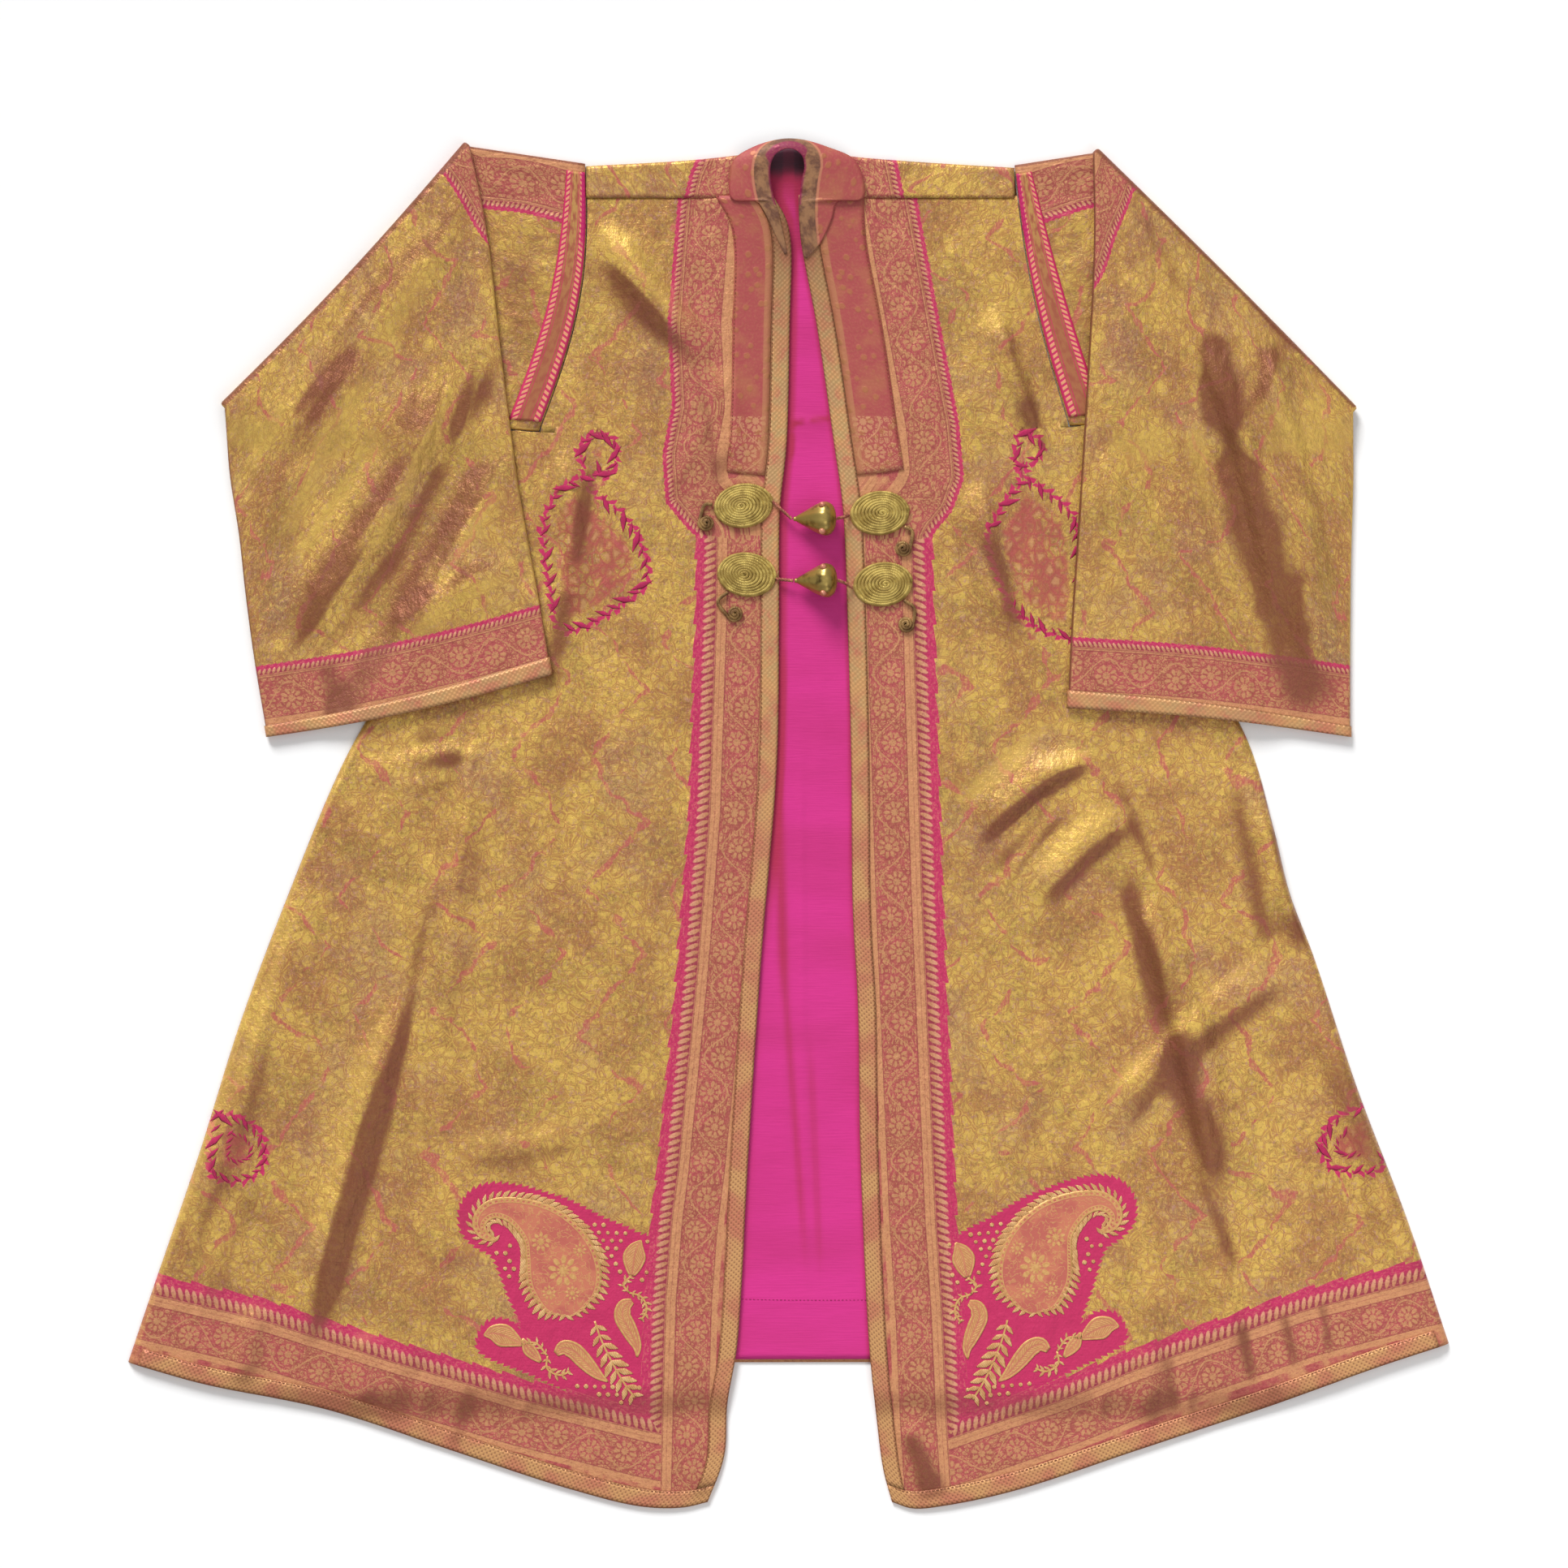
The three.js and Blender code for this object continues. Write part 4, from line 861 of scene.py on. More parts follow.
class Value:
    """A socket that carries a number, on which sums are written as plain expressions."""

    def __init__(self, maker: "Maker", socket: bpy.types.NodeSocket) -> None:
        """Wrap a socket of the maker's tree."""
        self.maker = maker
        self.socket = socket

    __add__ = __radd__ = sum_of("ADD")
    __mul__ = __rmul__ = sum_of("MULTIPLY")
    __sub__, __rsub__ = sum_of("SUBTRACT"), sum_of("SUBTRACT", turned_round=True)
    __truediv__ = sum_of("DIVIDE")
    __gt__, __lt__ = sum_of("GREATER_THAN"), sum_of("LESS_THAN")
    sin, root = sum_of("SINE"), sum_of("SQRT")
    fract, floor = sum_of("FRACT"), sum_of("FLOOR")
    size, least, most = sum_of("ABSOLUTE"), sum_of("MINIMUM"), sum_of("MAXIMUM")

    def rise(self, low: float, high: float) -> "Value":
        """Step softly from 0 at low to 1 at high."""
        return self.maker.step(self, low, high)

    def fall(self, low: float, high: float) -> "Value":
        """Step softly from 1 at low to 0 at high."""
        return 1 - self.rise(low, high)

    def near(self, low: float, high: float) -> "Value":
        """Give 1 around 0, and 0 from high on to both sides."""
        return self.size().fall(low, high)

    def band(self, low: "Number", high: "Number", soft: float = 0.35) -> "Value":
        """Give 1 between low and high, with soft edges."""
        return (self - low).rise(-soft, soft) * (self - high).fall(-soft, soft)


Number = Value | float


class Maker:
    """Makes the nodes of one material, or of another owner of a shader."""

    def __init__(self, name: str, owner: bpy.types.ID | None = None) -> None:
        """Start an empty material of that name, or empty the owner's own tree."""
        self.material = owner or bpy.data.materials.new(name)
        self.material.use_nodes = True
        self.tree = self.material.node_tree
        self.tree.nodes.clear()

    def node(self, kind: str, settings: dict | None = None, inputs: dict | None = None) -> bpy.types.Node:
        """Make a node.

        Args:
            kind: The node's type.
            settings: Its own settings, which are set first.
            inputs: Values or links of its sockets, by name or number.

        Returns:
            The node.
        """
        node = self.tree.nodes.new(kind)
        for key, value in (settings or {}).items():
            setattr(node, key, value)
        for key, value in (inputs or {}).items():
            value = value.socket if isinstance(value, Value) else value
            if isinstance(value, bpy.types.NodeSocket):
                self.tree.links.new(value, node.inputs[key])
            else:
                node.inputs[key].default_value = value
        return node

    def math(self, operation: str, *values: Number) -> Value:
        """Work out a sum on one or two numbers."""
        node = self.node("ShaderNodeMath", {"operation": operation}, dict(enumerate(values)))
        return Value(self, node.outputs[0])

    def step(self, value: Value, low: float, high: float) -> Value:
        """Step softly from 0 at low to 1 at high."""
        node = self.node("ShaderNodeMapRange", {"interpolation_type": "SMOOTHSTEP"}, {
            "Value": value, "From Min": low, "From Max": high,
        })
        return Value(self, node.outputs[0])

    def mix(self, share: Number, one: object, two: object) -> bpy.types.NodeSocket:
        """Mix two colours, each a colour or a socket."""
        settings = {"data_type": "RGBA", "blend_type": "MIX"}
        return self.node("ShaderNodeMix", settings, {0: share, 6: one, 7: two}).outputs[2]

    def layers(self, colour: object, *layers: tuple[Number, object]) -> bpy.types.NodeSocket:
        """Lay colours over a first one in turn, each with its share."""
        for share, layer in layers:
            colour = self.mix(share, colour, layer)
        return colour

    def vector(self, x: Number, y: Number, z: Number = 0.0) -> bpy.types.NodeSocket:
        """Put three numbers together."""
        return self.node("ShaderNodeCombineXYZ", None, {0: x, 1: y, 2: z}).outputs[0]

    def parts(self, vector: bpy.types.NodeSocket) -> tuple[Value, Value, Value]:
        """Take a vector apart."""
        node = self.node("ShaderNodeSeparateXYZ", None, {0: vector})
        return tuple(Value(self, node.outputs[k]) for k in range(3))

    def trait(self, name: str) -> tuple[Value, Value, Value]:
        """Read one of the piece's own attributes."""
        return self.parts(self.node("ShaderNodeAttribute", {"attribute_name": name}).outputs["Vector"])

    def place(self) -> tuple[Value, Value, Value]:
        """Read the place on the piece, in millimetres."""
        place = self.node("ShaderNodeTexCoord").outputs["Object"]
        return tuple(part * (1 / MM) for part in self.parts(place))

    def pattern(self, kind: str, settings: dict, place: object, size: float, inputs: dict) -> bpy.types.Node:
        """Make a pattern on a place, which is a socket or its parts, with lumps of a size in millimetres."""
        vector = self.vector(*place) if isinstance(place, tuple) else place
        return self.node(kind, settings, {"Vector": vector, "Scale": 1 / size, **inputs})

    def noise(self, place: object, size: float, detail: float = 2, rough: float = 0.5) -> Value:
        """Give soft noise from 0 to 1."""
        inputs = {"Detail": detail, "Roughness": rough}
        return Value(self, self.pattern("ShaderNodeTexNoise", {}, place, size, inputs).outputs[0])

    def cells(
        self, place: object, size: float, feature: str = "DISTANCE_TO_EDGE", loose: float = 1.0,
    ) -> Value:
        """Give the distance from the edges of cells, or from their middles."""
        node = self.pattern("ShaderNodeTexVoronoi", {"feature": feature}, place, size, {"Randomness": loose})
        return Value(self, node.outputs["Distance"])

    def surface(
        self, colour: object, rough: Number, metal: Number = 0.0, height: Value | None = None,
        relief: float = 0.3, sheen: float = 0.0,
    ) -> bpy.types.Material:
        """Finish the material.

        Args:
            colour: Its colour.
            rough: Its roughness.
            metal: How far it is metal.
            height: The relief's height, from 0 to 1.
            relief: What height 1 stands for, in millimetres.
            sheen: How strongly its fibres catch light from the side.

        Returns:
            The material.
        """
        sockets = {"Base Color": colour, "Roughness": rough, "Metallic": metal, "Sheen Weight": sheen}
        if height is not None:
            bump = self.node("ShaderNodeBump", None, {
                "Strength": 1.0, "Distance": relief * MM, "Height": height,
            })
            sockets["Normal"] = bump.outputs[0]
        shader = self.node("ShaderNodeBsdfPrincipled", None, sockets)
        self.node("ShaderNodeOutputMaterial", None, {"Surface": shader.outputs[0]})
        return self.material


class Grain(Maker):
    """A Geometry Nodes tree that lays one small shape on every point of a mesh.

    The points carry "turn", the shape's rotation, and "size", its scale. The shape is a ball drawn
    out to a leaf, a stitch or a bead by the tree's named inputs.
    """

    SIZES = {"Length": 3.0, "Width": 1.0, "Height": 0.6, "Point": 0.0, "Jitter": 0.1}

    def __init__(self, name: str, sides: int, levels: int, material: bpy.types.Material) -> None:
        """Build the tree.

        Args:
            name: The tree's name.
            sides: How many flats go round the shape.
            levels: How many flats go along it.
            material: Its finish.
        """
        self.name = name
        self.tree = bpy.data.node_groups.new(name, "GeometryNodeTree")
        face = self.tree.interface
        for way in ("INPUT", "OUTPUT"):
            face.new_socket("Geometry", in_out=way, socket_type="NodeSocketGeometry")
        for title, value in self.SIZES.items():
            face.new_socket(title, in_out="INPUT", socket_type="NodeSocketFloat").default_value = value
        face.new_socket("Seed", in_out="INPUT", socket_type="NodeSocketInt").default_value = 1
        given = self.node("NodeGroupInput")
        length, width, height, point, jitter = (Value(self, given.outputs[title]) for title in self.SIZES)
        ball = self.node("GeometryNodeMeshUVSphere", None, {
            "Segments": sides, "Rings": levels, "Radius": 1.0,
        })
        x, y, z = self.parts(self.node("GeometryNodeInputPosition").outputs[0])
        half = MM / 2
        formed = self.node("GeometryNodeSetPosition", None, {
            "Geometry": ball.outputs["Mesh"],
            "Position": self.vector(
                z * length * half, x * width * half * (1 - point * z.size()), y * height * half,
            ),
        })
        chance = self.node("FunctionNodeRandomValue", {"data_type": "FLOAT"}, {
            2: 1 - jitter, 3: jitter + 1, "Seed": given.outputs["Seed"],
        })
        turn = self.node("FunctionNodeEulerToRotation", None, {0: self.carried("turn", "FLOAT_VECTOR")})
        laid = self.node("GeometryNodeInstanceOnPoints", None, {
            "Points": given.outputs["Geometry"],
            "Instance": formed.outputs[0],
            "Rotation": turn.outputs[0],
            "Scale": Value(self, self.carried("size", "FLOAT")) * Value(self, self.shown(chance)),
        })
        real = self.node("GeometryNodeRealizeInstances", None, {0: laid.outputs[0]})
        worn = self.node("GeometryNodeSetMaterial", None, {0: real.outputs[0], "Material": material})
        self.node("NodeGroupOutput", None, {0: worn.outputs[0]})

    def shown(self, node: bpy.types.Node) -> bpy.types.NodeSocket:
        """Give the output that a node shows for its kind of data."""
        return next(socket for socket in node.outputs if socket.enabled)

    def carried(self, name: str, kind: str) -> bpy.types.NodeSocket:
        """Read what the points carry under a name."""
        node = self.node("GeometryNodeInputNamedAttribute", {"data_type": kind}, {"Name": name})
        return self.shown(node)

    def lay(self, name: str, spots: "Spots", seed: int = 1, **sizes: float) -> bpy.types.Object:
        """Lay the shapes and turn them into a plain mesh.

        Args:
            name: The piece's name.
            spots: Where they lie.
            seed: The fixed seed of their differences.
            sizes: The tree's inputs, by name.

        Returns:
            The object, linked to the scene.
        """
        mesh = bpy.data.meshes.new(f"{name}_spots")
        mesh.from_pydata((spots.places * MM).tolist(), [], [])
        turns = mesh.attributes.new("turn", "FLOAT_VECTOR", "POINT")
        turns.data.foreach_set("vector", spots.turns.astype(np.float32).ravel())
        scales = mesh.attributes.new("size", "FLOAT", "POINT")
        scales.data.foreach_set("value", spots.sizes.astype(np.float32))
        carrier = placed(f"{name}_spots", mesh)
        modifier = carrier.modifiers.new(self.name, "NODES")
        modifier.node_group = self.tree
        sockets = {
            item.name: item.identifier for item in self.tree.interface.items_tree if item.in_out == "INPUT"
        }
        for title, value in {**sizes, "Seed": seed}.items():
            modifier[sockets[title]] = value
        graph = bpy.context.evaluated_depsgraph_get()
        made = bpy.data.meshes.new_from_object(
            carrier.evaluated_get(graph), preserve_all_data_layers=True, depsgraph=graph,
        )
        carrier.modifiers.remove(modifier)
        bpy.data.objects.remove(carrier)
        made.shade_smooth()
        return placed(name, made)


@dataclass
class Spots:
    """Places of small shapes, with their rotations and scales."""

    places: np.ndarray
    turns: np.ndarray
    sizes: np.ndarray


class Drape:
    """The top of finished pieces, found straight below a place seen from above."""

    def __init__(self, *pieces: bpy.types.Object) -> None:
        """Take the pieces' meshes."""
        corners, faces = [], []
        for piece in pieces:
            start = len(corners)
            corners += [vertex.co / MM for vertex in piece.data.vertices]
            faces += [[start + k for k in face.vertices] for face in piece.data.polygons]
        self.tree = BVHTree.FromPolygons(corners, faces)

    def __call__(self, places: np.ndarray) -> tuple[np.ndarray, np.ndarray]:
        """Drop places onto the cloth.

        Args:
            places: Points, of which x and y count.

        Returns:
            The places on the cloth, and its normals there.
        """
        flat = places.reshape(-1, 3)
        found, normals = flat.copy(), np.tile([0.0, 0.0, 1.0], (len(flat), 1))
        for k, (x, y, _) in enumerate(flat):
            place, normal, _, _ = self.tree.ray_cast(Vector((x, y, 100)), Vector((0, 0, -1)))
            if place is not None:
                found[k], normals[k] = place, normal
        return found.reshape(places.shape), normals.reshape(places.shape)

    def spots(self, places: np.ndarray, headings: np.ndarray, sizes: np.ndarray, lift: float) -> Spots:
        """Lay out small shapes flat on the cloth.

        Args:
            places: Where they lie, seen from above.
            headings: Which way each points, in radians from +X.
            sizes: Their scales.
            lift: How far their middles stand above the cloth.

        Returns:
            The spots.
        """
        found, normals = self(places)
        cos, sin = np.cos(headings), np.sin(headings)
        ahead = normals[:, 0] * cos + normals[:, 1] * sin
        aside = normals[:, 1] * cos - normals[:, 0] * sin
        turns = vec(-np.arcsin(aside), np.arctan2(ahead, normals[:, 2]), headings)
        return Spots(found + normals * lift, turns, np.broadcast_to(sizes, headings.shape))


def along_line(rows: Table | np.ndarray, pitch: float) -> tuple[np.ndarray, np.ndarray]:
    """Step along a line at a pitch.

    Args:
        rows: The line's points.
        pitch: The distance between steps.

    Returns:
        The steps' places and the line's headings there.
    """
    curve = Curve(rows, steps=12)
    t = (np.arange(int(curve.length / pitch)) + 0.5) / int(curve.length / pitch)
    ahead = curve.at(t + 0.001) - curve.at(t - 0.001)
    return curve.at(t), np.arctan2(ahead[:, 1], ahead[:, 0])


def blade_grid(rows: Table, pitch: float = 2.2, lanes: int = 16) -> tuple[np.ndarray, np.ndarray]:
    """Spread a blade out from its spine.

    Args:
        rows: Rows of out, up and half width.
        pitch: The distance between its sections.
        lanes: How many strips go across it.

    Returns:
        Its points, and for each the distance from its edge, the run and the place across.
    """
    curve = Curve(rows, steps=10)
    t = np.linspace(0, 1, max(int(curve.length / pitch), 6))
    spine = curve.at(t)
    way = unit(np.gradient(spine[:, :2], axis=0))
    side = vec(-way[:, 1], way[:, 0])
    across = np.linspace(-1, 1, lanes + 1)
    half = np.maximum(spine[:, 2], 0.6)
    plan = spine[:, None, :2] + side[:, None] * (half[:, None] * across)[..., None]
    edge = half[:, None] * (1 - np.abs(across))
    return plan, vec(edge, (t * curve.length)[:, None], half[:, None] * across)


@dataclass(frozen=True)
class BorderCut:
    """Where the parts of a woven border lie, in millimetres from its serrated line inwards."""

    saw: float
    saw_pitch: float
    leaf_start: float
    leaf_end: float
    leaf_pitch: float
    leaf_half: float
    plain_end: float
    flower_end: float
    line_end: float


SKIRT_BORDER = BorderCut(3.4, 31.0, 5.6, 18.0, 6.9, 2.4, 28.5, 62.0, 68.0)
YOKE_BORDER = BorderCut(1.3, 6.3, 2.4, 8.4, 4.6, 1.5, 11.5, 49.5, 60.0)


@dataclass(frozen=True)
class Brocade:
    """Gold-thread brocade on a pink silk ground, with its woven borders and motifs.

    Its methods take the maker of the material and places on the cloth in millimetres.
    """

    name: str = "gold_brocade"
    deep: tuple = tint(126, 82, 46)
    middle: tuple = tint(184, 136, 76)
    bright: tuple = tint(226, 186, 90)
    olive: tuple = tint(164, 140, 66)
    dusk: tuple = tint(168, 122, 110)
    lilac: tuple = tint(190, 134, 126)
    rust: tuple = tint(158, 82, 62)
    # Painted shade: the field darkens to this colour where its folds turn from the light.
    fold: tuple = tint(126, 66, 44)
    meander: tuple = tint(184, 82, 80)
    magenta: tuple = tint(194, 30, 90)
    dark_rose: tuple = tint(136, 46, 54)
    leaf: tuple = tint(230, 166, 130)
    light_band: tuple = tint(206, 142, 98)
    rose: tuple = tint(178, 78, 78)
    flower: tuple = tint(212, 158, 106)
    zigzag_across: float = 76
    zigzag_pitch: float = 124
    zigzag_swing: float = 26
    flower_pitch: float = 33
    flower_radius: float = 9.6
    vine_swing: float = 12.5
    tooth_pitch: float = 10.5
    rib_pitch: float = 1.1

    def zigzags(self, m: Maker, u: Value, v: Value, drift: Value) -> Value:
        """Draw the broken zigzag lines that wander down the field.

        Args:
            m: The maker of the material.
            u: The place across the cloth.
            v: The place along the cloth.
            drift: Soft noise that bends the lines.

        Returns:
            The share of pink silk that shows.
        """
        slow = m.noise((u, v, 210.0), 120, 1) - 0.5
        swing = ((v + slow * 90) / self.zigzag_pitch).fract() - 0.5
        bent = u - swing.size() * (4 * self.zigzag_swing) + drift * 30 + slow * 60
        reach = ((bent / self.zigzag_across).fract() - 0.5).size() * self.zigzag_across
        stroke = m.noise((u, v, 120.0), 19, 2)
        line = (reach - stroke.rise(0.38, 0.62) * 3.4).fall(-0.7, 1.0)
        return line * stroke.rise(0.36, 0.48)

    def ground(self, m: Maker, u: Value, v: Value) -> tuple[bpy.types.NodeSocket, Value]:
        """Weave the mottled gold field with its fine scrolls.

        Args:
            m: The maker of the material.
            u: The place across the cloth.
            v: The place along the cloth.

        Returns:
            The colour and the share of gold thread that shows.
        """
        flat = m.vector(u, v)
        drift = m.noise(flat, 24, 2) - 0.5
        sway = m.noise((v, u, 40.0), 24, 2) - 0.5
        bent = m.vector(u + drift * 16, v + sway * 16)
        tone = m.noise(bent, 4.0, 4, 0.8) * 0.65 + m.noise((u, v, 60.0), 11, 3, 0.7) * 0.35
        dark = tone.fall(0.38, 0.52)
        threads = m.noise((u * 1.5, v * 0.6, 7.0), 2.6, 3, 0.8)
        curls = (m.cells(bent, 10.5) - 0.07).near(0.02, 0.07)
        zigzags = self.zigzags(m, u, v, drift)
        colour = m.layers(
            self.middle,
            (m.noise(flat, 80, 3, 0.6).rise(0.38, 0.58), self.bright),
            (m.noise((u, v, 300.0), 58, 3, 0.6).rise(0.48, 0.66) * 0.45, self.olive),
            (m.noise((u, v, 500.0), 75, 3, 0.6).rise(0.50, 0.68) * 0.42, self.dusk),
            (dark * 0.72, self.deep),
            (tone.rise(0.50, 0.60) * 0.7, self.bright),
            (threads.rise(0.52, 0.66) * 0.45, self.bright),
            (threads.fall(0.34, 0.47) * 0.45, self.rust),
            (m.noise((u, v, 90.0), 3.4, 2, 0.7).rise(0.56, 0.66) * 0.5, self.lilac),
            (curls * tone.rise(0.38, 0.56) * 0.56, self.rust),
            (zigzags * (0.8 - threads.rise(0.46, 0.60) * 0.45), self.meander),
        )
        return colour, 1 - dark * 0.5 - zigzags * 0.6

    def flowers(self, m: Maker, across: Value, run: Value, width: Number) -> Value:
        """Draw a scroll of vine, rosettes and leaves for a border.

        Args:
            m: The maker of the material.
            across: The place across the floral band, from 0 to its width.
            run: The place along it.
            width: The band's width.

        Returns:
            The share of gold at each place.
        """
        middle = across - width * 0.5
        number = run / self.flower_pitch
        swing = (number * math.pi).sin()
        vine = (middle - swing * self.vine_swing).near(0.5, 1.3)
        side = (number.floor() * 0.5).fract() * 4 - 1
        x = (number.fract() - 0.5) * self.flower_pitch
        y = middle - side * 3.5
        far = (x * x + y * y).root()
        petals = (m.math("ARCTAN2", y, x) * 9).sin()
        rosette = (far - petals * 1.6).fall(self.flower_radius - 1.2, self.flower_radius)
        gaps = petals.rise(-0.8, 0.0).most(far.fall(2.4, 3.4))
        heart = rosette * gaps * (1 - (far - 4.2).near(0.3, 0.9) * 0.8)
        bent = m.vector(run + swing * 4, across * 1.2)
        leaves = m.cells(bent, 5.6, loose=0.9).rise(0.05, 0.13)
        veins = (m.noise(bent, 3.2, 2) - 0.5).size().rise(0.015, 0.06)
        clear = (far - self.flower_radius - 1.4).size().rise(0.5, 1.4)
        fill = leaves * veins * (1 - rosette) * clear
        return (heart * 0.85).most(fill * 0.85).most(vine * (1 - rosette) * 0.85)

    def border(self, m: Maker, colour: bpy.types.NodeSocket) -> tuple[bpy.types.NodeSocket, Value, Value]:
        """Lay the woven border over the field.

        Args:
            m: The maker of the material.
            colour: The field's colour.

        Returns:
            The colour, the border's share and the share of gold in it.
        """
        a, b = SKIRT_BORDER, YOKE_BORDER
        rim, run, yoke = m.trait("border")
        other = m.trait("second_border")
        first = (rim > other[0]).most(rim > a.leaf_end)
        rim, run, yoke = (two + (one - two) * first for one, two in zip((rim, run, yoke), other))
        yoke = yoke > 0.5

        def cut(one: float, two: float) -> Value:
            """Pick a size of the skirt's border or of the yoke's."""
            return yoke * (two - one) + one

        wobble = m.noise((run, rim * 0.3), 17, 1) - 0.5
        saw = (run / cut(a.saw_pitch, b.saw_pitch) + wobble * cut(0.5, 0.0)).fract()
        inside = (rim + saw * cut(a.saw, b.saw) + wobble * cut(1.6, 0.3)).rise(-0.3, 0.3)
        start, end = cut(a.leaf_start, b.leaf_start), cut(a.leaf_end, b.leaf_end)
        share = (rim - start) / (end - start)
        leaf_pitch = cut(a.leaf_pitch, b.leaf_pitch)
        place = ((run / leaf_pitch + share * 0.75).fract() - 0.5) * leaf_pitch / cut(a.leaf_half, b.leaf_half)
        tall = (share - 0.5) * 2.05
        leaf = (place * place + tall * tall).fall(0.55, 1.2)
        row = rim.band(start, end)
        plain, flower_end = cut(a.plain_end, b.plain_end), cut(a.flower_end, b.flower_end)
        gold = self.flowers(m, rim - plain, run, flower_end - plain)
        patches = m.noise((run, rim, 5.0), 26, 3, 0.6).rise(0.40, 0.60)
        shaded = m.mix(patches * 0.6, self.rose, self.rust)
        past, beyond = rim - flower_end, rim - cut(a.line_end, b.line_end)
        thin = (rim - end - 0.8).near(0.3, 0.8).most((rim - plain).near(0.3, 0.9)).most(past.near(0.2, 0.7))
        thin = thin.most((rim - (end + plain) * 0.5).near(0.2, 0.7) * 0.5)
        threads = m.noise((run * 1.2, rim * 2.0, 2.0), 3.4, 3, 0.7)
        colour = m.layers(
            colour,
            (inside, self.magenta),
            (row * share.rise(-0.1, 0.6) * 0.8, self.dark_rose),
            (row * leaf * 0.9, m.mix(share.rise(0.2, 0.9), self.leaf, self.light_band)),
            (rim.band(end, plain), self.light_band),
            (rim.band(plain, flower_end), m.mix(gold * 0.82, shaded, self.flower)),
            (past.rise(-0.3, 0.3), self.light_band),
            (beyond.rise(-0.3, 0.3), m.mix(patches, self.rose, self.light_band)),
            (thin * inside * 0.6, self.dark_rose),
            (inside * threads.rise(0.50, 0.66) * 0.30, self.flower),
            (inside * threads.fall(0.36, 0.48) * 0.35, self.dark_rose),
        )
        return colour, inside, rim.band(end, 400.0) * (gold * 0.6 + 0.35) + row * leaf

    def motifs(
        self, m: Maker, colour: bpy.types.NodeSocket, inside: Value,
    ) -> tuple[bpy.types.NodeSocket, Value]:
        """Lay the magenta outlines and grounds of the large motifs.

        Args:
            m: The maker of the material.
            colour: The cloth's colour so far.
            inside: The border's share, which the motifs leave alone.

        Returns:
            The colour and the share of plain silk.
        """
        depth, run, kind = m.trait("motif")
        wobble = m.noise((run, kind * 50.0), 13, 3, 0.6) - 0.5
        tooth = (run / self.tooth_pitch + wobble).fract()
        edge = depth + tooth * 6.0 + wobble * 9.0 - 2.0
        outline = edge.rise(-0.3, 0.4) * (edge - 2.4 - tooth * 3.0).fall(-0.4, 0.6)
        outlined, filled = (kind - OUTLINED).size() < 0.3, (kind - FILLED).size() < 0.3
        ground = (depth + (run / 6.4).fract() * 3.4).rise(-0.3, 0.4) * filled
        inner = (depth + wobble * 14 - 15.0).rise(-3.0, 4.0) * outlined
        u, v, _ = m.trait("cloth")
        figure = m.cells((u, v * 0.8), 8.5)
        silk = (outline * outlined).most(ground) * (1 - inside)
        return m.layers(
            colour,
            (inner * m.noise((u, v, 30.0), 26, 2).rise(0.38, 0.56) * 0.62, self.rose),
            (inner * figure.fall(0.04, 0.14) * 0.6, self.meander),
            (inner * figure.rise(0.20, 0.34) * 0.6, self.flower),
            (silk, self.magenta),
        ), silk

    def make(self) -> bpy.types.Material:
        """Make the material."""
        m = Maker(self.name)
        u, v, shade = m.trait("cloth")
        colour, gold = self.ground(m, u, v)
        colour, inside, woven = self.border(m, colour)
        colour, silk = self.motifs(m, colour, inside)
        # Painted shade where the folds turn from the light, and a painted highlight in bright gold where they
        # face it.
        colour = m.layers(
            colour,
            (shade.rise(0.15, 1.6) * 0.86, self.fold),
            ((shade * -1.0).rise(0.15, 1.5) * 0.45 * (1 - inside * 0.6), self.bright),
        )
        shine = (gold * (1 - inside) + woven * inside) * (1 - silk)
        ribs = (v * (2 * math.pi / self.rib_pitch)).sin() * 0.12
        crumple = m.noise((u * 1.4, v * 0.8, 3.0), 15, 4, 0.62)
        ripples = m.noise((u * 1.3, v * 0.5, 33.0), 42, 2)
        fine = m.noise((u, v, 8.0), 3.0, 2)
        height = crumple * 2.0 + ripples * 3.2 + fine * 0.3 + ribs * 0.2 + woven * inside * 0.12 - silk * 0.1
        return m.surface(colour, 0.60 - shine * 0.20 + fine * 0.06, shine * 0.45, height, 1.0, 0.05)


@dataclass(frozen=True)
class Binding:
    """The woven edging tape, with its grid of dark dots on gold."""

    name: str = "edging_tape"
    gold: tuple = tint(206, 154, 100)
    rose: tuple = tint(196, 120, 92)
    dots: tuple = tint(122, 66, 42)
    olive: tuple = tint(186, 156, 104)
    dusk: tuple = tint(148, 104, 70)
    pitch: float = 2.4
    worn_from: tuple = (-160, 240)

    def make(self) -> bpy.types.Material:
        """Make the material."""
        m = Maker(self.name)
        u, v, shade = m.trait("cloth")
        step = math.pi / self.pitch
        weave = (u * step).sin() * (v * step).sin()
        dots = weave.rise(0.25, 0.6)
        _, height, _ = m.place()
        worn = height.rise(*self.worn_from)
        edge = u.fall(0.2, 1.3).most(u.rise(BINDING_WIDTH - 1.4, BINDING_WIDTH - 0.2))
        colour = m.layers(
            self.gold,
            (m.noise((u, v), 40, 2).rise(0.4, 0.62), self.rose),
            (m.noise((u, v, 4.0), 2.2, 2).rise(0.4, 0.7) * 0.3, self.gold),
            (m.noise((u, v, 9.0), 16, 3, 0.7).rise(0.42, 0.60) * worn * 0.7, self.olive),
            (dots * (1 - worn * 0.85) * 0.62, self.dots),
            (height.rise(380, 590) * 0.7, self.dusk),
            (edge * 0.6, self.dots),
            # Painted shade, in the dots' colour, where the folds under the tape turn from the light.
            (shade.rise(0.15, 1.0) * 0.5, self.dots),
        )
        return m.surface(colour, 0.5 + dots * 0.15, 0.35 - dots * 0.25, weave * -0.5, 0.35)


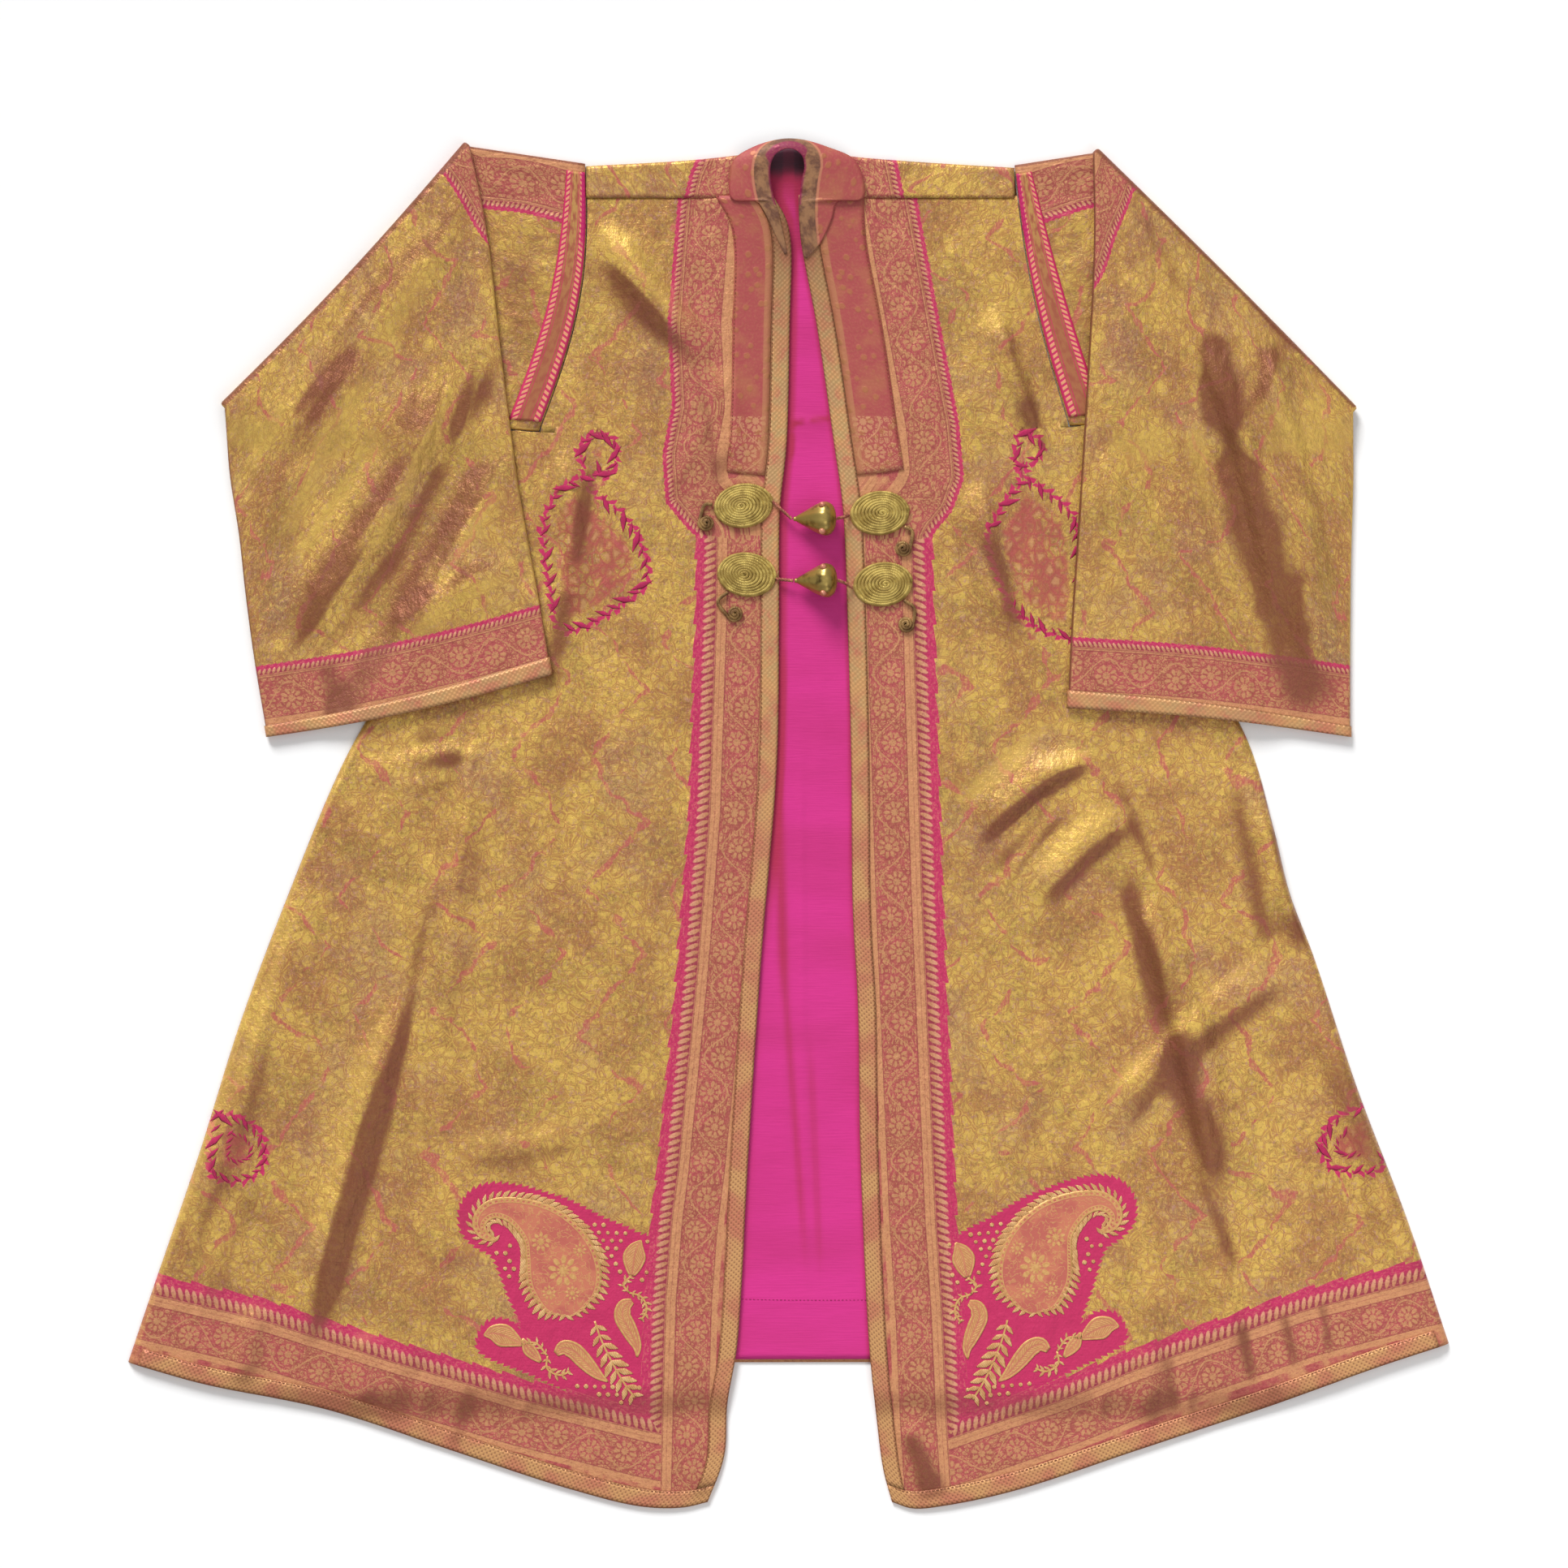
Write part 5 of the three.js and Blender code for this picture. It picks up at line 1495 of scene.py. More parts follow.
@dataclass(frozen=True)
class Figure:
    """The gold figures woven on the pink ground of a paisley corner."""

    name: str
    filled: bool
    gold: tuple = tint(204, 154, 90)
    light: tuple = tint(222, 176, 108)
    rose: tuple = tint(188, 96, 82)
    tan: tuple = tint(200, 116, 88)
    small_flowers: tuple = ((22, 27, 8.5), (-15, 20, 6.0), (13, -21, 6.5), (-9, -21, 6.5))
    petal_count: float = 9
    hatch_pitch: float = 3.1

    def flower(self, m: Maker, dx: Value, dy: Value, radius: float) -> Value:
        """Draw a flower with a ring of petals round its heart."""
        far = (dx * dx + dy * dy).root()
        petals = (m.math("ARCTAN2", dy, dx) * self.petal_count).sin()
        shape = (far - petals * (radius * 0.18)).fall(radius - 1.5, radius)
        shape = shape * petals.rise(-0.85, -0.1).most(far.fall(radius * 0.25, radius * 0.35))
        return shape * (1 - (far - radius * 0.5).near(0.5, 1.2) * 0.7)

    def make(self) -> bpy.types.Material:
        """Make the material."""
        m = Maker(self.name)
        edge, run, across = m.trait("cloth")
        x, y, _ = m.place()
        grain = m.noise((x, y), 3.6, 3, 0.7)
        if self.filled:
            dx, dy, _ = m.trait("heart")
            heart = self.flower(m, dx, dy, 13.0)
            for out, up, radius in self.small_flowers:
                heart = heart.most(self.flower(m, dx - out, dy - up, radius))
            sprigs = (m.noise((x, y), 7.0, 2) - 0.5).near(0.012, 0.035)
            rims = edge.band(-1.0, 2.6).most(edge.band(4.6, 5.6))
            beads = ((run / 4.4).fract() - 0.5).size().rise(0.16, 0.30) * edge.band(2.6, 4.6)
            figure = heart.most(rims).most(beads).most(sprigs * edge.rise(6.5, 7.5) * 0.5)
        else:
            hatch = ((run + across.size() * 1.3) / self.hatch_pitch).fract() - 0.5
            vein = across.near(0.5, 1.2)
            lines = hatch.near(0.10, 0.24).most(vein) * edge.rise(3.2, 4.0)
            lines = lines.most((edge - 2.6).near(0.4, 1.0))
            figure = 1 - lines * 0.75
        ground = m.mix(m.noise((x, y, 4.0), 22, 2).rise(0.42, 0.58), self.rose, self.tan)
        colour = m.mix(figure * 0.9, ground, m.mix(grain.rise(0.40, 0.62), self.gold, self.light))
        return m.surface(colour, 0.6 - figure * 0.12, figure * 0.3, figure * 0.5 + grain * 0.5, 0.3)


@dataclass(frozen=True)
class NeckBrocade:
    """The rust brocade of the neck bands and the collar, with a block of flowers at its end."""

    name: str = "rust_brocade"
    ground: tuple = tint(172, 74, 74)
    figure: tuple = tint(184, 122, 74)
    edge: tuple = tint(186, 128, 84)
    bright: tuple = tint(214, 160, 112)
    band_width: float = 34.0
    # Painted shade of the collar's band next to the hole, where it rolls into the neck, mottled between these
    # two.
    inner: tuple = tint(156, 112, 76)
    shadow: tuple = tint(110, 70, 52)
    crimson: tuple = tint(138, 34, 72)
    folded_width: float = 15.5
    nape_at: float = 112
    nape_reach: float = 30
    nape_width: float = 6.5

    def make(self) -> bpy.types.Material:
        """Make the material."""
        m = Maker(self.name)
        u, v, block = m.trait("cloth")
        flat = m.vector(u, v)
        figure = m.cells(flat, 9.5, "F1", 0.7).fall(0.22, 0.40)
        grain = m.noise(flat, 2.4, 3)
        flowers = Brocade().flowers(m, u, v, self.band_width)
        on_collar = block > 1.5
        cloud = m.noise((u, v, 3.0), 12, 3, 0.6).rise(0.40, 0.62)
        nape = (v - self.nape_at).near(self.nape_reach * 0.6, self.nape_reach)
        rolled = (u - nape * self.nape_width).fall(0.6, 3.2)
        line = (u - self.folded_width - 1.2).near(0.6, 1.8)
        colour = m.layers(
            self.ground,
            (figure * 0.55, self.figure),
            (m.noise(flat, 32, 2).rise(0.45, 0.65) * 0.35, self.figure),
            (block.band(0.5, 1.5, 0.05) * flowers * 0.7, self.bright),
            (u.band(0.0, 7.5) * 0.6, self.edge),
            # Painted shade on the collar's rolled band next to the hole.
            (on_collar * u.band(-1.0, self.folded_width), m.mix(cloud, self.shadow, self.inner)),
            (on_collar * rolled * block.fall(2.3, 2.7), self.crimson),
            (on_collar * line * 0.4, self.bright),
            (grain.rise(0.45, 0.7) * 0.22, self.edge),
        )
        height = figure * 0.3 + grain * 0.4 + m.noise(flat, 14, 2)
        return m.surface(colour, 0.58 - figure * 0.1, figure * 0.2 + 0.12, height, 0.6)


@dataclass(frozen=True)
class ArmholeTape:
    """The band round the armhole: ladder stitches with pink gaps at both edges, rust between."""

    name: str = "armhole_tape"
    rust: tuple = tint(166, 90, 66)
    gold: tuple = tint(196, 150, 84)
    magenta: tuple = tint(200, 36, 92)
    teeth: tuple = tint(226, 152, 112)
    slit: tuple = tint(192, 20, 96)
    width: float = ARMHOLE_BAND_WIDTH
    slit_width: float = 5.5
    slit_length: float = 84

    def make(self) -> bpy.types.Material:
        """Make the material."""
        m = Maker(self.name)
        u, v, _ = m.trait("cloth")
        near = u.least(self.width - u)
        gold = m.noise((u * 2.0, v), 9, 2).rise(0.35, 0.6)
        teeth = ((v / 4.8 + near * 0.12).fract() - 0.5).near(0.22, 0.34) * near.band(2.2, 7.0)
        slit = u.fall(self.slit_width - 0.5, self.slit_width)
        slit = slit * v.fall(self.slit_length - 20, self.slit_length)
        colour = m.layers(
            self.rust,
            (gold * (0.9 - v.rise(20.0, 150.0) * 0.65), self.gold),
            (near.fall(7.2, 8.0), self.magenta),
            (teeth, self.teeth),
            ((near - 9.6).near(0.3, 0.8) * 0.7, self.magenta),
            (slit, self.slit),
        )
        metal = near.rise(6.0, 8.0) * 0.35 * (1 - slit)
        return m.surface(colour, 0.55, metal, teeth * 0.5 + m.noise((u, v), 3.0, 2) * 0.4, 0.4)


@dataclass(frozen=True)
class PinkSilk:
    """The plain deep pink silk of the lining."""

    name: str = "pink_silk"
    bright: tuple = tint(212, 30, 134)
    deep: tuple = tint(188, 18, 106)
    # Painted shade: the lining darkens to crimson, and to the hollow colour for the painted shadow under the
    # collar.
    crimson: tuple = tint(176, 14, 72)
    hollow_shadow: tuple = tint(66, 10, 38)

    def make(self) -> bpy.types.Material:
        """Make the material."""
        m = Maker(self.name)
        u, v, shade = m.trait("cloth")
        slubs = m.noise((u * 0.12, v * 2.0), 3.0, 2)
        colour = m.layers(
            self.bright,
            (m.noise((u * 0.25, v), 60, 2).rise(0.35, 0.68) * 0.5, self.deep),
            (slubs.rise(0.45, 0.75) * 0.18, self.deep),
            # Painted shade, then the painted shadow of the hollow under the collar.
            (shade.rise(0.0, 1.0), self.crimson),
            (shade.rise(1.0, 2.0), self.hollow_shadow),
        )
        height = slubs * 0.5 + m.noise((u, v, 6.0), 22, 2) * 1.2
        return m.surface(colour, 0.56 + slubs * 0.1, 0.0, height, 0.5, 0.25)


@dataclass(frozen=True)
class Thread:
    """A finish for gilt cord, couched thread, stitches and small figures of the weave."""

    name: str
    light: tuple
    dark: tuple
    metallic: float = 0.45
    roughness: float = 0.5
    pitch: float = 1.5

    def make(self) -> bpy.types.Material:
        """Make the material."""
        m = Maker(self.name)
        x, y, z = m.place()
        twist = ((x + y * 0.7 + z) * (2 * math.pi / self.pitch)).sin() * 0.5 + 0.5
        patches = m.noise((x, y, z), 9, 3, 0.6)
        colour = m.layers(self.dark, (patches.rise(0.38, 0.64), self.light), (twist * 0.35, self.dark))
        return m.surface(colour, patches * 0.2 + (self.roughness - 0.1), self.metallic, twist, 0.25)


@dataclass(frozen=True)
class Brass:
    """Old brass, mottled at random between worn bright and brown."""

    name: str = "old_brass"
    bright: tuple = tint(184, 158, 88)
    brown: tuple = tint(88, 68, 34)

    def make(self) -> bpy.types.Material:
        """Make the material."""
        m = Maker(self.name)
        place = m.place()
        stains, dents = m.noise(place, 11, 3, 0.5), m.noise(place, 9, 1)
        colour = m.mix(stains.rise(0.24, 0.52), self.brown, self.bright)
        return m.surface(colour, 0.42 - stains * 0.12, 0.8, dents, 0.2)


@dataclass(frozen=True)
class Paper:
    """The plain pale surface under the coat."""

    name: str = "pale_floor"
    white: tuple = tint(254, 254, 254)
    grey: tuple = tint(232, 232, 232)

    def make(self) -> bpy.types.Material:
        """Make the material."""
        m = Maker(self.name)
        x, y, _ = m.place()
        return m.surface(m.mix(m.noise((x, y), 1.5, 2) * 0.02, self.white, self.grey), 0.9)


# The finishes paint this as shade, and the gold brocade paints it as a highlight below 0.
def slope_shade(grid: np.ndarray, light: Sequence[float] = (-0.36, 0.93), full: float = 0.16) -> np.ndarray:
    """Tell how far a cloth's folds turn from the light, from -1 to 1 and a little more.

    Args:
        grid: The middle of the cloth.
        light: The way to the light, seen from above.
        full: The slope that counts as 1.

    Returns:
        One number for each point of the grid.
    """
    normals = grid_normals(grid)
    away = -(normals[..., 0] * light[0] + normals[..., 1] * light[1])
    return np.where(np.abs(normals[..., 2]) > 0.3, away / full, 0.5)


class Wardrobe:
    """The finishes, each made once, and the pieces that wear them."""

    def __init__(self) -> None:
        """Make every finish."""
        self.gold = Brocade().make()
        self.tape = Binding().make()
        self.neck = NeckBrocade().make()
        self.armhole = ArmholeTape().make()
        self.silk = PinkSilk().make()
        self.gilt = Thread("gilt_cord", tint(218, 192, 106), tint(168, 140, 70), 0.35).make()
        self.pale = Thread("pale_gold", tint(232, 188, 128), tint(206, 150, 96), 0.3, 0.5, 2.1).make()
        self.stitch = Thread("sewing_thread", tint(196, 128, 92), tint(140, 70, 50), 0.1, 0.6, 1.0).make()
        self.paisley = Figure("woven_paisley", True).make()
        self.leaf = Figure("woven_leaf", False).make()
        self.crimson = Thread("crimson_thread", tint(196, 30, 110), tint(160, 16, 84), 0.0, 0.6, 1.2).make()
        self.line = Thread("magenta_silk", tint(200, 34, 96), tint(176, 30, 82), 0.0, 0.65, 1.2).make()
        self.copper = Thread("copper_bead", tint(222, 150, 122), tint(178, 104, 78), 0.3, 0.4, 6.0).make()
        self.plied = Thread("plied_cord", tint(204, 132, 104), tint(134, 66, 56), 0.2, 0.6, 2.0).make()
        self.curl = Thread("curled_cord", tint(182, 144, 88), tint(120, 86, 50), 0.35).make()
        self.brass = Brass().make()
        self.floor = Paper().make()
        self.leaflet = Grain("leaflet", 8, 6, self.pale)
        self.seam = Grain("seam_stitch", 5, 3, self.stitch)
        self.hemming = Grain("hem_stitch", 5, 3, self.crimson)
        self.flame = Grain("flame", 6, 6, self.line)
        self.bead = Grain("bead", 12, 8, self.copper)

    def finish(
        self, piece: bpy.types.Object, material: bpy.types.Material, slot: str, *nodes: str,
    ) -> bpy.types.Object:
        """Give a piece its finish and its place in the frame.

        Args:
            piece: The piece.
            material: What it wears.
            slot: The name of a material slot; not used.
            nodes: The plain solids that it stands for.

        Returns:
            The same piece.
        """
        if not piece.data.materials:
            piece.data.materials.append(material)
        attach(piece, BODY)
        if nodes:
            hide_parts(*nodes)
        LOG.info("%s: %d faces", piece.name, len(piece.data.polygons))
        return piece


def armhole_point(half: Half, share: np.ndarray | float, shift: float = 0.0) -> np.ndarray:
    """Give points of the armhole seam, from the shoulder to the underarm.

    Args:
        half: The side of the coat.
        share: Shares of the seam's length.
        shift: How far the points move towards the body.

    Returns:
        The points, at height 0.
    """
    share = np.asarray(share, float)
    top, under = half.armhole_top, half.armhole_under
    x = lerp(top[0], under[0], share) + half.armhole_bow * np.sin(np.pi * share) - half.out * shift
    return vec(x, lerp(top[1], under[1], share), 0.0)


class Spread:
    """A panel spread between four edges, read by shares across and down."""

    def __init__(self, inner: Callable, outer: Callable, top: Curve, bottom: Curve) -> None:
        """Take the four edges; inner and outer run down, top and bottom run across."""
        self.inner, self.outer, self.top, self.bottom = inner, outer, top, bottom

    def __call__(self, s: np.ndarray, t: np.ndarray) -> np.ndarray:
        """Give the panel's points.

        Args:
            s: Shares across, rows by columns.
            t: Shares down, one for each row.

        Returns:
            The points, rows by columns by 3.
        """
        across, down = s[..., None], t[:, None, None]
        p = self.inner(t)[:, None] * (1 - across) + self.outer(t)[:, None] * across
        p = p + self.top.at(s) * (1 - down) + self.bottom.at(s) * down
        top = self.top.at(0.0) * (1 - across) + self.top.at(1.0) * across
        bottom = self.bottom.at(0.0) * (1 - across) + self.bottom.at(1.0) * across
        return p - top * (1 - down) - bottom * down


FASTENING_PLACES = [
    (-42.8, 301.5), (-78, 285.5), (86.4, 294.5), (108.5, 261.5),
    (-39.7, 236.2), (-51, 199.5), (89.5, 227), (111.5, 189.5),
]


@dataclass
class Front:
    """One front, with its bindings and its neck band."""

    half: Half
    even_columns: int = 94
    armhole_rows: int = 40
    skirt_rows: int = 184
    coarse_rows: int = 23
    band_columns: int = 8
    binding_columns: int = 5
    crease_count: int = 70
    crease_area: tuple = (90, 600, -600, 560)
    crease_lean: float = 14
    roll: tuple = (9, 6.6, 4.6, 3.2, 2.2, 1.4, 0.8, 0.3, 0)
    flat_inside_fold: tuple = (-44, -26)
    flat_before_cuff: tuple = (-60, -35)
    flat_at_fastening: tuple = (34, 60)
    flat_at_shoulder: tuple = (0.005, 0.05)
    flat_at_armhole: float = 4
    creases_from: tuple = (6, 26)
    loft_from: float = 60
    past_hem_loss: float = 0.35
    neck_stretch: float = 0.9
    neck_fade: tuple = (0.55, 0.9)
    block_start: tuple = (62, 58)
    seam_share: float = 0.3
    opening_seam_share: float = 0.34

    def __post_init__(self) -> None:
        """Lay out the edges of the panel."""
        half = self.half
        top, under = half.armhole_top, half.armhole_under
        self.seam_top = (SHOULDER_SEAM_Y - top[1]) / (under[1] - top[1])
        inset = half.out * FRONT_WALL / 2
        side = [
            (under[0] - half.out * UNDERARM_EASE, under[1] - UNDERARM_EASE),
            *((x - inset, y) for x, y in half.side),
        ]
        self.side = Curve(side)
        self.opening = Curve(half.opening)
        first = armhole_point(half, self.seam_top, ARMHOLE_GAP)
        self.top = Curve([half.opening[0], (float(first[0]), SHOULDER_SEAM_Y)])
        self.bottom = Curve([*half.hem[:-1], side[-1]])
        self.plan = Spread(self.opening.at, self.outer, self.top, self.bottom)
        near, far, bottom, top = self.crease_area
        low, high = sorted((half.out * near, half.out * far))
        self.small = small_creases(
            half.seed, self.crease_count, (low, bottom, high, top), 90 - half.out * self.crease_lean,
        )

    def outer(self, t: np.ndarray) -> np.ndarray:
        """Give the outer edge: the armhole, then the side seam."""
        t = np.asarray(t, float)
        down = lerp(self.seam_top, 1, np.minimum(t / UNDERARM_SHARE, 1))
        seam = armhole_point(self.half, down, ARMHOLE_GAP)
        below = self.side.at((t - UNDERARM_SHARE) / (1 - UNDERARM_SHARE))
        return np.where((t < UNDERARM_SHARE)[..., None], seam, below)

    def under_sleeve(self, x: np.ndarray, y: np.ndarray) -> np.ndarray:
        """Give the share of each place that lies under the folded sleeve, where the front is flat."""
        half = self.half
        inner = np.array([half.fold_top, *half.inner])[::-1]
        edge = np.interp(y, inner[:, 1], inner[:, 0])
        aside = smooth(half.out * (x - edge), *self.flat_inside_fold)
        cuff_y = min(half.inner[-1][1], half.outer[-1][1])
        cuff = -half.out * past_line(x, y, half.inner[-1], half.outer[-1])
        return aside * smooth(np.minimum(cuff, y - cuff_y + SEAM_DEPTH), *self.flat_before_cuff)

    def points(self, s: np.ndarray, t: np.ndarray) -> np.ndarray:
        """Give the front's middle layer at shares across and down."""
        half = self.half
        p = self.plan(s, t)
        x, y = p[..., 0], p[..., 1]
        edge = self.outer(t)
        width = np.linalg.norm(edge - self.opening.at(t), axis=-1)[:, None]
        from_side, from_opening = (1 - s) * width, s * width
        near = np.min([np.hypot(x - px, y - py) for px, py in FASTENING_PLACES], axis=0)
        flat = np.maximum(1 - smooth(near, *self.flat_at_fastening), self.under_sleeve(x, y))
        flat = np.maximum(flat, (1 - smooth(t, *self.flat_at_shoulder))[:, None])
        under_y = half.armhole_under[1]
        beside_seam = 1 - smooth(from_side, self.flat_at_armhole, SEAM_DEPTH)
        still = np.maximum(flat, np.where((edge[:, 1] > under_y - 1)[:, None], beside_seam, 0))
        creases = fold_height(half.front_creases, x, y) + fold_height(self.small, x, y)
        creases = creases * smooth(from_opening, *self.creases_from)
        loft = BODY_LOFT * smooth(from_opening, 0, self.loft_from)
        loft = loft + fold_height(half.front_folds, x, y) + creases
        hem = np.array(BACK_HEM)
        past_hem = smooth(np.interp(x, hem[:, 0], hem[:, 1]) - y, *HEM_FALL)
        z = lerp(lerp(FRONT_MID, SEAM_MID, still), FRONT_WALL / 2, past_hem)
        z = z + loft * (1 - still) * (1 - self.past_hem_loss * past_hem)
        past_neck = np.maximum(y - NECK_PLACE[1], NECK_PLACE[0] - y) * self.neck_stretch
        neck = np.hypot(from_opening, past_neck)
        z = z + NECK_RISE * np.exp(-((neck / NECK_REACH) ** 2)) * (1 - smooth(s, *self.neck_fade))
        rolled = smooth(under_y - edge[:, 1], SEAM_DEPTH, 2 * SEAM_DEPTH)[:, None]
        bend = np.sqrt(np.maximum(0, 1 - (1 - np.minimum(from_side, SIDE_ROLL) / SIDE_ROLL) ** 2))
        p[..., 2] = np.maximum(z, FRONT_WALL / 2) * lerp(1, bend, rolled)
        return p

    def grid(self) -> np.ndarray:
        """Lay out the front's grid, with exact lines where its strips begin and end."""
        half = self.half
        length = self.opening.length
        last = 1 - (BINDING_WIDTH + SEAM_GAP) / length
        t = np.concatenate([
            np.linspace(0, UNDERARM_SHARE, self.armhole_rows + 1)[:-1],
            np.linspace(UNDERARM_SHARE, last, self.skirt_rows + 1),
            1 - BINDING_WIDTH / length * np.linspace(1, 0, self.binding_columns),
        ])
        width = np.linalg.norm(self.outer(t) - self.opening.at(t), axis=-1)[:, None]
        strips = np.concatenate([
            np.linspace(0, BINDING_WIDTH, self.binding_columns + 1),
            np.linspace(BINDING_WIDTH + SEAM_GAP, half.neckband_to, self.band_columns + 1),
        ])
        share = np.arange(1, self.even_columns)[None] / self.even_columns
        even = half.neckband_to + (width - self.roll[0] - half.neckband_to) * share
        distances = np.concatenate([
            np.broadcast_to(strips, (len(t), len(strips))), even, width - np.array(self.roll)[None],
        ], axis=1)
        return self.points(distances / width, t)

    def shade(self, grid: np.ndarray) -> np.ndarray:
        """Tell how far the cloth turns from the light, where its folds and its shades say so."""
        # Painted shade: the finishes darken the colour by this, and the brocade paints a highlight where it
        # is below 0.
        return slope_shade(grid) + fold_height(self.half.front_shades, grid[..., 0], grid[..., 1])

    def motif_trait(self, grid: np.ndarray) -> np.ndarray:
        """Measure the front against its woven motifs: depth inside, length along and kind."""
        half = self.half
        best = np.full(grid.shape[:2], -np.inf)
        trait = np.zeros(grid.shape)
        trait[..., 0] = FAR_OFF
        wedge = corner_places(half, WEDGE)[:, :2].tolist()
        for rows, kind in ((half.armpit_motif, OUTLINED), (half.side_motif, OUTLINED), (wedge, FILLED)):
            depth, run = within(grid, closed_outline(rows))
            closer = depth > best
            best = np.maximum(best, depth)
            trait[closer] = vec(depth, run, kind)[closer]
        return trait

    def traits(self, grid: np.ndarray) -> dict[str, np.ndarray]:
        """Measure the front for its finish."""
        half = self.half
        yoke = (grid[..., 1] > YOKE_END).astype(float)
        borders = []
        for line, small in ((half.border_front, yoke), (half.border_hem, 0.0)):
            rim, run = beside(grid, np.array(line, float))
            borders.append(vec(rim * -half.out, run, small))
        return {
            "cloth": vec(grid[..., 0], grid[..., 1], self.shade(grid)),
            "border": borders[0],
            "second_border": borders[1],
            "motif": self.motif_trait(grid),
        }

    def seams(self) -> list[np.ndarray]:
        """Give the lines along which the strips are stitched down, a little inside their edges."""
        grid = self.grid()
        rows, columns = grid.shape[:2]
        bound, hem_row = self.binding_columns, rows - self.binding_columns
        band = bound + self.band_columns + 1
        band_rows = self.armhole_rows + self.skirt_rows // self.coarse_rows
        down, along = slice(4, hem_row - 1), slice(2, columns - len(self.roll))
        return [
            lerp(grid[down, bound], grid[down, bound - 1], self.opening_seam_share),
            lerp(grid[3:band_rows, band], grid[3:band_rows, band - 1], self.seam_share),
            lerp(grid[hem_row, along], grid[hem_row + 1, along], self.seam_share),
        ]

    def build(self, wardrobe: Wardrobe) -> list[bpy.types.Object]:
        """Make the front and the strips sewn on it.

        Args:
            wardrobe: The finishes.

        Returns:
            The front's own cloth, then its strips.
        """
        name = self.half.name
        grid = self.grid()
        rows, columns = grid.shape[:2]
        piece = new_piece(f"front_{name}_cloth", cloth_wall(grid, FRONT_WALL), self.traits(grid))
        wardrobe.finish(piece, wardrobe.gold, "gold_brocade", f"front_{name}")
        made = [piece]

        across, down, shade = runs_of(grid, 1), runs_of(grid[::-1])[::-1], self.shade(grid)
        along = runs_of(grid[:, 0])[:, None]
        bound, hem_row = self.binding_columns, rows - self.binding_columns
        plain, band = columns - len(self.roll), bound + self.band_columns
        band_rows = self.armhole_rows + self.skirt_rows // self.coarse_rows
        block = smooth(along, *(along[band_rows, 0] - back for back in self.block_start))
        tape, neck = (wardrobe.tape, "woven_border"), (wardrobe.neck, "neckband_brocade")
        strips = [
            ("front_binding", slice(0, hem_row), slice(0, bound + 1), vec(across, along, shade), tape),
            ("hem_binding", slice(hem_row, rows), slice(0, plain + 1), vec(down, across, shade), tape),
            ("neckband", slice(0, band_rows + 1), slice(bound + 1, band + 2),
             vec(across - BINDING_WIDTH, along, block), neck),
        ]
        for title, deep, wide, cloth, (material, slot) in strips:
            mask = np.zeros((rows - 1, columns - 1), bool)
            mask[deep.start:deep.stop - 1, wide.start:wide.stop - 1] = True
            shell = cloth_wall(grid, STRIP_WALL, STRIP_LIFT, mask)
            strip = new_piece(f"{title}_{name}_cloth", shell, {"cloth": cloth})
            wardrobe.finish(strip, material, slot, f"{title}_{name}")
            made.append(strip)
        return made


